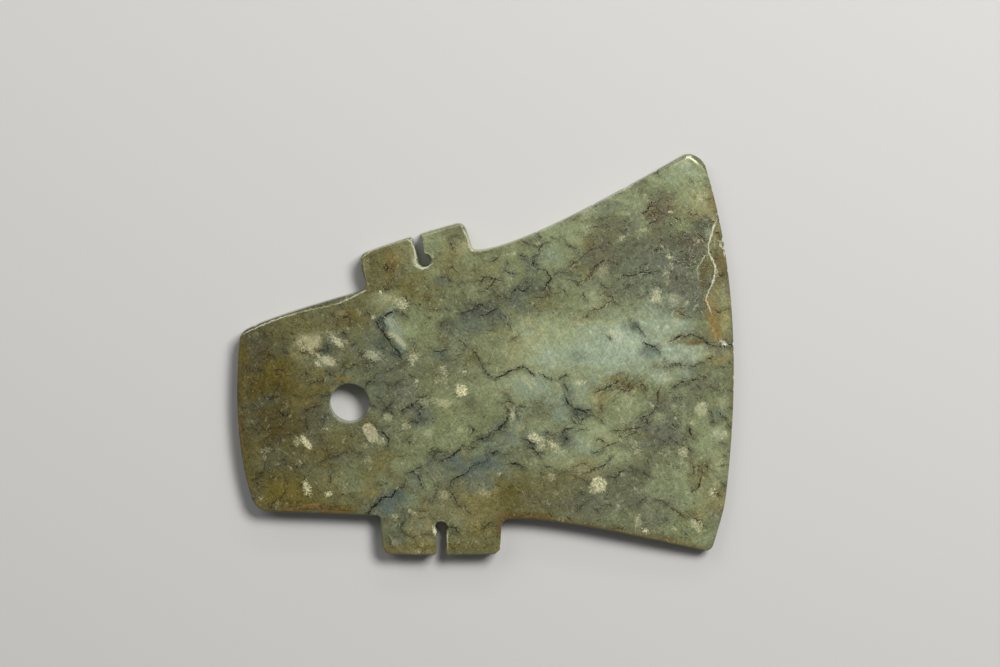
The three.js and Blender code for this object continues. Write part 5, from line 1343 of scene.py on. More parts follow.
    (1.6, 0.95, 0.1, [(547, 285), (545.5, 288), (543.5, 290)]),
    (1.7, 0.95, 0.2, [(512, 293), (515, 290), (518.5, 288.7), (522, 291.3), (526, 290), (529.5, 287)]),
    (1.1, 0.75, 0.2, [(525.5, 281.5), (529, 282.5), (532, 283)]),
    (1.2, 0.75, 0.1, [(511, 273.5), (514.5, 273.3)]),
    (1.4, 0.9, 0.5, [(577, 263), (580, 258.5), (584, 255.3), (588, 252), (592.5, 249)]),
    (1.4, 0.85, 0.8, [(568, 268.3), (571, 266.5), (573, 262.5), (577, 262)]),
    (1.2, 0.75, 0.8, [(569, 267), (575, 268)]),
    (0.8, 0.5, 0.8, [(560, 269.2), (568, 269)]),
    (1.6, 0.95, 0.6, [(591.5, 271.5), (595, 267.5), (598, 264.3), (602, 261.5), (607, 260.3), (611, 261), (615, 263.7)]),
    (1.4, 0.9, 0.3, [(616, 262), (617, 265)]),
    (1.3, 0.8, 0.6, [(592.5, 280), (592, 275.5), (590.5, 272)]),
    (1.3, 0.75, 0.9, [(579, 282), (583, 280.8), (587, 277.8), (590, 274)]),
    (1.1, 0.8, 0.4, [(571, 280.5), (575, 280.8), (577, 282.3), (579.5, 284)]),
    (1.0, 0.7, 0.3, [(556.5, 272.8), (559, 272), (563, 273), (570, 272.3)]),
    (2.0, 0.9, 0.0, [(582, 294), (585, 297), (587, 300)]),
    (1.3, 0.85, 0.3, [(600, 283), (603, 285.7), (606.5, 288)]),
    (1.4, 0.85, 0.5, [(608, 289.3), (612, 288.5)]),
    (1.7, 0.85, 0.9, [(594, 309.5), (600, 308.8), (604, 307), (605.5, 304.2)]),
    (1.5, 0.8, 0.9, [(605, 303.5), (609, 302.7), (614, 299.5)]),
    (1.2, 0.75, 0.7, [(608, 296.7), (612, 297.2)]),
    (1.3, 0.75, 0.7, [(603, 294), (605, 292.5)]),
    (1.1, 0.7, 0.4, [(586, 317.5), (588, 314), (591, 311)]),
    (1.0, 0.6, 0.6, [(576, 320), (580, 320), (584, 318)]),
    (1.6, 0.95, 0.1, [(622, 275.7), (627, 276), (633, 275), (640, 273), (646, 272.3), (652, 272.8)]),
    (1.3, 0.85, 0.4, [(640.5, 268), (644, 268.3), (647, 267.8)]),
    (1.0, 0.65, 0.3, [(623, 290), (627, 287.5), (631, 284.5), (637, 284)]),
    (1.3, 0.8, 0.4, [(656, 284), (659, 286), (662, 289.3)]),
    (1.0, 0.7, 0.4, [(611, 303), (615, 302.5), (619, 304)]),
    (1.1, 0.7, 0.6, [(546, 296.5), (550, 293.5), (555, 294), (559, 292)]),
    (1.2, 0.75, 0.7, [(534, 298), (540, 297.3), (544, 298.3)]),
    (1.3, 0.8, 0.9, [(532, 305), (537, 306)]),
    (1.2, 0.8, 0.4, [(562.5, 286.7), (564, 289.5), (566, 293)]),
    (1.2, 0.7, 0.6, [(575, 283), (578, 286)]),
    (1.2, 0.95, 0.0, [(632, 321), (636, 325), (640, 329.7), (643, 333.5)]),
    (1.8, 0.9, 0.0, [(634, 326), (638, 327), (641, 331)]),
    (2.0, 0.95, 0.3, [(609, 337), (611, 338)]),
    (2.0, 0.95, 0.0, [(645, 343), (648, 344.5), (652, 346), (656, 347.7), (659, 351), (660, 353.5)]),
    (1.2, 0.7, 0.2, [(669, 224), (672, 226)]),
    (1.1, 0.75, 0.6, [(682, 234.3), (685, 232.5), (688, 234)]),
    (1.1, 0.75, 0.6, [(680, 240.3), (683, 239), (687, 236)]),
    (1.3, 0.8, 0.6, [(697, 234), (701, 236), (704.5, 240)]),
    (1.6, 0.8, 0.5, [(675, 217.5), (678, 219), (681, 221)]),
    (1.6, 0.8, 0.6, [(689, 216.5), (691.5, 214.5), (695.5, 215)]),
    (1.3, 0.7, 0.3, [(689, 209), (690.5, 209.7)]),
    (1.2, 0.7, 0.2, [(671, 235.5), (673, 238.5)]),
    (1.8, 0.9, 0.8, [(707, 199), (711, 200), (714.5, 199.3)]),
    (1.3, 0.75, 0.7, [(705.5, 186), (709, 189)]),
    (1.3, 0.8, 0.7, [(711.5, 222), (716, 222.3), (720, 220.5)]),
    (1.7, 0.75, 1.0, [(714.5, 233), (719, 233.5), (720.5, 237)]),
    (1.5, 0.75, 0.1, [(703.5, 227), (706, 228.3), (710, 227.5)]),
    (1.4, 0.65, 0.5, [(690, 178), (692, 180.5)]),
    (2.0, 0.9, 0.2, [(656, 171.5), (657.5, 173.5), (659, 174.5)]),
    (1.2, 0.6, 0.8, [(656, 250), (662, 240.5), (660, 238)]),
    (1.0, 0.65, 0.3, [(674, 252.5), (678, 254), (683, 251.7), (688, 253)]),
    (1.2, 0.75, 0.3, [(674, 260), (677, 262.7), (681, 263.5), (686, 263)]),
    (1.3, 0.75, 0.8, [(692.5, 259.5), (696, 256.5), (698.5, 256)]),
    (1.3, 0.75, 0.3, [(690, 266), (694, 264.5), (698, 264)]),
    (1.9, 0.8, 0.2, [(676, 276.5), (677, 278.5)]),
    (1.0, 0.65, 0.3, [(680, 276), (684, 275.3), (688, 277.5)]),
    (1.1, 0.75, 0.4, [(684, 289.7), (687, 293), (689, 298)]),
    (1.0, 0.7, 0.3, [(652, 272), (656, 271), (660, 271.5)]),
    (1.4, 0.8, 0.2, [(697.5, 309), (699.5, 311.5)]),
    (1.2, 0.7, 0.4, [(672, 308), (677, 311), (680, 312)]),
    (1.5, 0.75, 0.2, [(681, 314), (686, 316)]),
    (1.0, 0.65, 0.2, [(698, 300), (701, 298.7)]),
    (1.1, 0.75, 0.8, [(703, 255), (706, 252.5)]),
    (1.5, 0.85, 0.6, [(715, 276), (720, 276.3), (727, 275.2)]),
    (1.2, 0.75, 0.5, [(713, 285), (717, 285.7)]),
    (1.3, 0.7, 0.7, [(704, 290.5), (707, 289)]),
    (1.6, 0.9, 1.0, [(704.5, 303), (706.5, 304.5), (708, 308), (710, 311)]),
    (1.0, 0.6, 0.8, [(722, 311), (726, 310), (729, 309.3)]),
    (1.5, 0.85, 0.9, [(717, 312.5), (720, 312.2)]),
    (1.2, 0.6, 0.8, [(703, 266.5), (710, 267)]),
    (1.2, 0.75, 0.5, [(727, 271), (728, 275), (727.5, 279)]),
    # the crack that runs in from the cutting edge
    (1.7, 0.95, 0.4, [(671, 341.5), (674, 340), (677, 338.2), (681, 335.7), (685, 336.3), (689, 334.8), (694, 335.6), (698, 337.2), (703, 340), (707, 342.5), (711, 345), (715, 346.3), (720, 347)]),
    (2.0, 1.0, 0.2, [(720, 347), (726, 347), (730, 346.5), (733.5, 345)]),
    (1.6, 0.9, 0.1, [(704, 341), (708, 345), (711, 346)]),
    (1.8, 0.95, 0.0, [(724, 343.8), (727, 345)]),
    # lower right
    (1.5, 0.85, 0.2, [(665, 361.5), (667, 364), (666, 367)]),
    (1.5, 0.9, 0.1, [(672, 365), (675, 364.3), (677, 365.3), (679.5, 363.6), (681.5, 366.5)]),
    (1.3, 0.9, 0.1, [(688, 366.3), (691, 367)]),
    (1.5, 0.9, 0.1, [(692, 368), (695, 365.8), (697, 364.3)]),
    (1.4, 0.8, 0.5, [(699, 364.5), (701, 363.5)]),
    (1.6, 0.95, 0.2, [(673, 388), (676, 386), (678, 384.5)]),
    (1.6, 0.85, 0.1, [(679, 383.5), (683, 381.8), (686, 382.3)]),
    (1.9, 0.85, 0.1, [(692.5, 380.3), (695.5, 380)]),
    (1.5, 0.75, 0.8, [(699, 375), (702, 377.3), (704.5, 378), (707.5, 377)]),
    (1.7, 0.8, 0.5, [(716.5, 388.5), (718.5, 390)]),
    (1.4, 0.7, 0.6, [(710, 387), (712.5, 388)]),
    (1.8, 0.9, 0.4, [(709.3, 359), (711, 358.3)]),
    (1.3, 0.65, 0.3, [(673, 399), (676, 397.7)]),
    (1.6, 0.75, 0.2, [(679.5, 397.8), (683, 397.5)]),
    (1.2, 0.75, 0.2, [(703.5, 399), (707, 402)]),
    (1.8, 0.85, 0.1, [(710, 412), (712, 413.8)]),
    (1.2, 0.8, 0.1, [(713, 420), (713.5, 424)]),
    (1.8, 0.95, 0.2, [(720.5, 414), (723, 417), (726, 419)]),
    (2.6, 0.9, 0.4, [(689, 428), (690.3, 431), (691.5, 435)]),
    (1.2, 0.75, 0.4, [(683, 440.5), (688, 439.5), (692, 438.7), (696, 441)]),
    (1.2, 0.8, 0.3, [(672.5, 414), (675.5, 415.5), (678, 418.5)]),
    (2.0, 0.8, 0.3, [(672.5, 424.5), (674.5, 427)]),
    (1.1, 0.7, 0.3, [(660, 440.7), (664, 441.3), (667, 442.5)]),
    (1.2, 0.8, 0.2, [(670.5, 439), (674, 441.5), (678, 443.5)]),
    (1.6, 0.85, 0.5, [(729, 426), (730.5, 428.5), (732.5, 430)]),
    (1.1, 0.75, 0.3, [(729, 391), (733, 392.5)]),
    (1.0, 0.65, 0.4, [(730, 408.5), (733.5, 409)]),
    (1.5, 0.85, 0.4, [(680, 445), (684, 446.7), (688, 448.7), (691.5, 452)]),
    (1.8, 0.75, 0.6, [(690.5, 461), (692.5, 464), (694, 468), (694.5, 473)]),
    (1.7, 0.7, 0.6, [(698, 467), (700.5, 466.5)]),
    (1.8, 0.75, 0.6, [(706, 466), (709, 468.5)]),
    (1.5, 0.9, 0.6, [(700, 471), (704, 473)]),
    (1.9, 0.85, 0.9, [(701, 479.5), (700.5, 483), (698.5, 487), (696.5, 489.5)]),
    (1.9, 0.9, 0.5, [(693, 490.5), (695, 489.5)]),
    (1.4, 0.85, 0.8, [(714, 493.5), (717.5, 495), (721, 497.3)]),
    (1.8, 0.9, 0.8, [(672, 509.5), (676, 511), (680, 514), (683.5, 517.5)]),
    (1.6, 0.85, 0.8, [(692, 517), (695, 519), (699, 521.7), (703, 526)]),
    (1.4, 0.8, 0.7, [(703, 526), (707.5, 527.3)]),
    (1.3, 0.75, 0.4, [(659, 500), (664, 501.5), (667, 505.5)]),
    (1.6, 0.75, 0.4, [(677, 468), (678.3, 469)]),
    (1.2, 0.75, 0.2, [(684, 532.5), (687, 535.5)]),
    (1.3, 0.7, 0.3, [(664, 520.5), (668, 520)]),
    (1.5, 0.75, 0.8, [(722.5, 466.7), (725, 466.3)]),
    (1.5, 0.7, 0.3, [(724.5, 456), (725.5, 457)]),
    (1.4, 0.7, 0.3, [(724.5, 485), (726, 486)]),
    (1.4, 0.75, 0.2, [(722.5, 444), (724.5, 444.5)]),
    # dark lines in the stained lower edge
    (1.6, 0.9, 1.0, [(508, 515.5), (514, 516.5), (520, 516.7), (526, 515.5), (531, 513.5), (536, 516)]),
    (1.6, 0.85, 1.0, [(550, 514), (551.5, 517)]),
    (1.6, 0.85, 1.0, [(568, 518), (570.5, 520.5)]),
    (1.4, 0.85, 0.9, [(612, 528.5), (618, 528), (624, 529.5)]),
    (1.4, 0.7, 0.9, [(586, 524), (592, 526)]),
    (1.6, 0.8, 0.9, [(664, 537.3), (669, 540)]),
]

# pale threads and wisps, and painted highlights (glints) along edges, creases and chip rims: full width (frame pixels),
# strength, points
PALE_AND_GLINTS = [
    # painted highlights: glints along the creases of the worn bevels, along the upper edges of the butt, flange,
    # shoulder and blade, round the upper notch's rim and round the tip
    (0.9, 0.95, [(244.6, 333.4), (250, 330.6), (256.7, 327.6), (266, 323.6), (277.4, 319.3)]),
    (0.9, 0.95, [(277.4, 319.3), (287, 316), (297.4, 312.9)]),
    (0.8, 0.65, [(297.4, 312.9), (307, 310.4), (317.4, 308.4), (327, 306.6), (336, 304.2)]),
    (0.9, 0.85, [(336, 304.2), (343, 301.6), (350.3, 298.4), (358, 294.2), (365.3, 290.4)]),
    (1.0, 0.7, [(362.2, 258), (365, 254.8), (368, 252.6), (374.5, 249.6)]),
    (0.8, 0.55, [(374.5, 249.6), (386, 245.6), (397, 242.2), (408.5, 239.2)]),
    (2.0, 0.9, [(407.5, 239.6), (410.4, 240.6), (411.6, 243), (413.2, 247.4), (414.6, 251.6), (415.6, 256), (416, 261)]),
    (1.0, 0.4, [(422, 236.4), (440, 230.4), (455, 226), (462, 225)]),
    (2.2, 0.75, [(462.8, 229.4), (466, 234.6), (468.4, 241), (470, 246), (472.6, 250.6)]),
    (1.0, 0.5, [(472.6, 250.9), (480, 251.4), (489, 249.8)]),
    (0.7, 0.6, [(575, 215.4), (590, 207.6), (603.6, 200.2), (622.9, 189.6)]),
    (0.7, 0.55, [(630, 185.4), (642, 179), (655, 171.8), (671, 163)]),
    (2.2, 0.95, [(415.4, 257), (415.6, 262.5), (418, 266.6), (422, 268.6), (427, 267.8), (430.6, 265)]),
    (1.2, 0.5, [(411.5, 258), (413, 263.5), (416, 267.4)]),
    (1.1, 0.4, [(363.6, 259), (364.2, 268), (366, 278), (368.6, 286)]),
    (2.0, 1.0, [(686.4, 158.6), (688.4, 157.8), (690.4, 157.8), (693, 159.6), (696.4, 162.2)]),
    (1.2, 0.6, [(696.4, 162.2), (699.5, 164.8), (702.5, 167.2), (705, 170.8)]),
    (0.8, 0.45, [(658.7, 174.2), (671.2, 166.9), (681, 161.2), (686.4, 158.6)]),
    (0.8, 0.5, [(671, 162.8), (680, 157.9), (687, 154.4), (691, 155)]),
    # the long pale crack near the cutting edge, and its branches
    (2.1, 1.0, [(716.5, 222), (714, 228), (712.5, 234), (711, 238), (709.5, 243), (708.7, 247), (708.5, 251)]),
    (1.9, 1.0, [(708.5, 251), (710.5, 256), (713.5, 262), (716, 268), (715.5, 274), (714, 280), (712, 286), (710, 290), (708.5, 293.5)]),
    (1.6, 0.85, [(708.5, 293.5), (706.5, 298), (706, 301), (708, 304), (709.5, 308), (711.5, 313)]),
    (1.6, 0.75, [(705.5, 255.5), (703, 260), (699, 266), (697, 269.5)]),
    (1.6, 0.4, [(697, 269.5), (698, 275), (699, 280), (702, 281)]),
    (1.0, 0.5, [(716, 268), (719, 272), (718, 276)]),
    (1.3, 0.5, [(715, 216), (713.5, 220), (717, 223)]),
    # painted glints on the rims of the chips at the cutting edge (the rows between frame y 241 and 256) and a painted
    # highlight at the tip (y 157 to 163); the other rows here are pale marks in the stone
    (1.3, 0.85, [(721, 243), (722, 247), (724.5, 250)]),
    (1.1, 0.7, [(719, 241), (723, 242)]),
    (1.3, 0.6, [(691, 157.5), (694, 160), (697, 162.5)]),
    (1.6, 0.9, [(720.5, 342.5), (723, 341.3), (727, 343.5)]),
    (1.0, 0.4, [(711, 344.5), (716, 344.7)]),
    (1.7, 1.0, [(720, 245.2), (721.4, 247.2)]), (1.5, 1.0, [(724.5, 253.6), (725.5, 255.8)]),
    (1.8, 0.95, [(722, 342.6), (727, 345.2)]),
    (1.5, 1.0, [(434.4, 526.5), (433.6, 530), (435, 533.4)]), (2.4, 0.9, [(433.6, 529.5), (435.2, 532.5)]),
    (1.0, 0.9, [(447.6, 533), (447.5, 540), (447.6, 546)]), (1.0, 0.8, [(439.5, 520.8), (443.5, 521), (447, 524)]),
    (1.2, 0.9, [(423.4, 249), (424.4, 252.6), (427.4, 253.4)]),
    (1.1, 0.4, [(661, 342.5), (665, 340.5), (670, 340)]),
    (1.0, 0.35, [(672, 338), (676, 335.5), (680, 333.5)]),
    (1.2, 0.55, [(511, 409), (513.5, 413), (515.5, 417)]),
    (1.8, 0.6, [(511.5, 413), (512.5, 418)]),
    (1.5, 0.4, [(528.5, 312), (529.5, 319), (530, 326)]),
    (1.5, 0.3, [(522, 319), (524, 326), (523, 331)]),
    (2.0, 0.5, [(521.5, 377), (525.5, 382), (530, 387), (534, 387.5)]),
    (1.8, 0.45, [(531, 378), (534.5, 382.5), (537, 387)]),
    (1.6, 0.3, [(479, 347.5), (481, 352)]),
    (1.3, 0.25, [(482, 343), (487, 344.5)]),
    (1.5, 0.3, [(491, 359), (493, 353), (494, 349)]),
    (2.2, 0.35, [(637.5, 519), (636, 526), (635.5, 531)]),
    (1.6, 0.4, [(661, 245), (663, 248.5), (664, 250)]),
    (1.4, 0.4, [(641, 229.5), (645, 229), (648, 231)]),
    (1.8, 0.4, [(389, 333), (394, 334), (399, 338), (403, 343), (405, 349)]),
    (1.6, 0.35, [(384, 316.5), (389, 321), (392, 327)]),
    (1.4, 0.35, [(375, 314), (373, 318)]),
    (1.2, 0.35, [(437, 470), (442, 477)]),
    (1.2, 0.3, [(425, 468), (431, 475), (436, 482)]),
    (1.3, 0.3, [(405, 408), (402.5, 404), (404, 398)]),
    (1.0, 0.45, [(428, 400.5), (431, 399), (435, 397)]), (1.0, 0.4, [(430, 405), (434, 402.5), (438, 401.5)]),
    (0.9, 0.35, [(423, 408.5), (427, 406), (431, 406.5)]), (0.9, 0.35, [(416, 392), (419, 388.5), (421, 385)]),
    (1.0, 0.3, [(408, 389), (411, 386), (415, 385)]), (1.4, 0.5, [(386.5, 318), (390, 324), (394, 330)]),
    (1.2, 0.4, [(391, 317), (395, 322), (398, 328)]), (1.6, 0.45, [(397, 334), (401, 340), (405, 347)]),
    (1.1, 0.4, [(334, 337), (338, 341), (343, 346)]), (1.1, 0.4, [(560, 308), (564, 304), (569, 302)]),
    (1.2, 0.4, [(624, 318), (617, 322), (610, 326)]), (1.2, 0.35, [(602, 331), (595, 334), (589, 338)]),
    (1.2, 0.35, [(646, 352), (642, 357), (640, 363)]), (1.2, 0.3, [(560, 330), (557, 338), (556, 346)]),
    (1.2, 0.3, [(545, 326), (543, 334), (543, 342)]), (1.2, 0.3, [(508, 318), (506, 326), (507, 333)]),
    (1.1, 0.35, [(625, 408), (630, 404), (634, 399)]), (1.1, 0.3, [(637, 420), (642, 416), (648, 414)]),
    (1.0, 0.35, [(613, 403), (617, 400), (620, 395)]),
    (1.2, 0.3, [(609, 333), (612, 330), (616, 328)]),
    (1.2, 0.3, [(615, 393), (620, 398), (624, 404)]),
    (1.1, 0.25, [(619, 392), (624, 397), (628, 402)]),
    (1.1, 0.25, [(516, 433), (521, 430), (526, 426)]),
    (1.3, 0.35, [(687, 293), (689, 297)]),
    (1.0, 0.3, [(622, 419), (625, 423), (628, 425)]),
    # a small round inclusion
    (1.1, 0.45, [(391.7, 417.6), (391.0, 419.8), (389.1, 421.1), (386.9, 421.1), (385.0, 419.8), (384.3, 417.6), (385.0, 415.4), (386.9, 414.1), (389.1, 414.1), (391.0, 415.4), (391.7, 417.6)]),
    # white hairs in the pale stone
    (0.9, 0.5, [(600, 388), (604, 384), (609, 381)]), (0.9, 0.5, [(612, 396), (618, 392), (622, 386)]),
    (0.9, 0.5, [(618, 401), (624, 396), (628, 390)]), (0.9, 0.45, [(628, 404), (633, 398), (637, 395)]),
    (0.9, 0.45, [(604, 402), (609, 399), (613, 394)]), (1.0, 0.5, [(596, 396), (600, 392), (604, 391)]),
    (0.9, 0.5, [(640, 376), (645, 372), (649, 366)]), (0.9, 0.4, [(648, 380), (654, 374), (657, 368)]),
    (0.9, 0.45, [(656, 384), (661, 378), (664, 371)]), (0.9, 0.4, [(574, 352), (579, 347), (586, 344)]),
    (0.9, 0.4, [(584, 356), (592, 350), (600, 347)]), (0.8, 0.4, [(628, 346), (637, 341), (646, 339)]),
    (0.9, 0.4, [(655, 348), (660, 345), (666, 344)]), (0.8, 0.35, [(612, 352), (618, 349), (625, 349)]),
    (1.0, 0.5, [(688, 334), (682, 337), (676, 341), (669, 343), (661, 344)]),
    (1.2, 0.75, [(722, 341), (723, 347)]), (0.9, 0.4, [(546, 402), (549, 395), (551, 388)]),
    (0.9, 0.4, [(556, 404), (559, 397), (562, 392)]), (1.0, 0.35, [(552, 448), (558, 444), (563, 443)]),
    (0.9, 0.4, [(568, 270), (573, 266), (579, 264)]), (0.9, 0.35, [(548, 262), (552, 257), (557, 255)]),
]

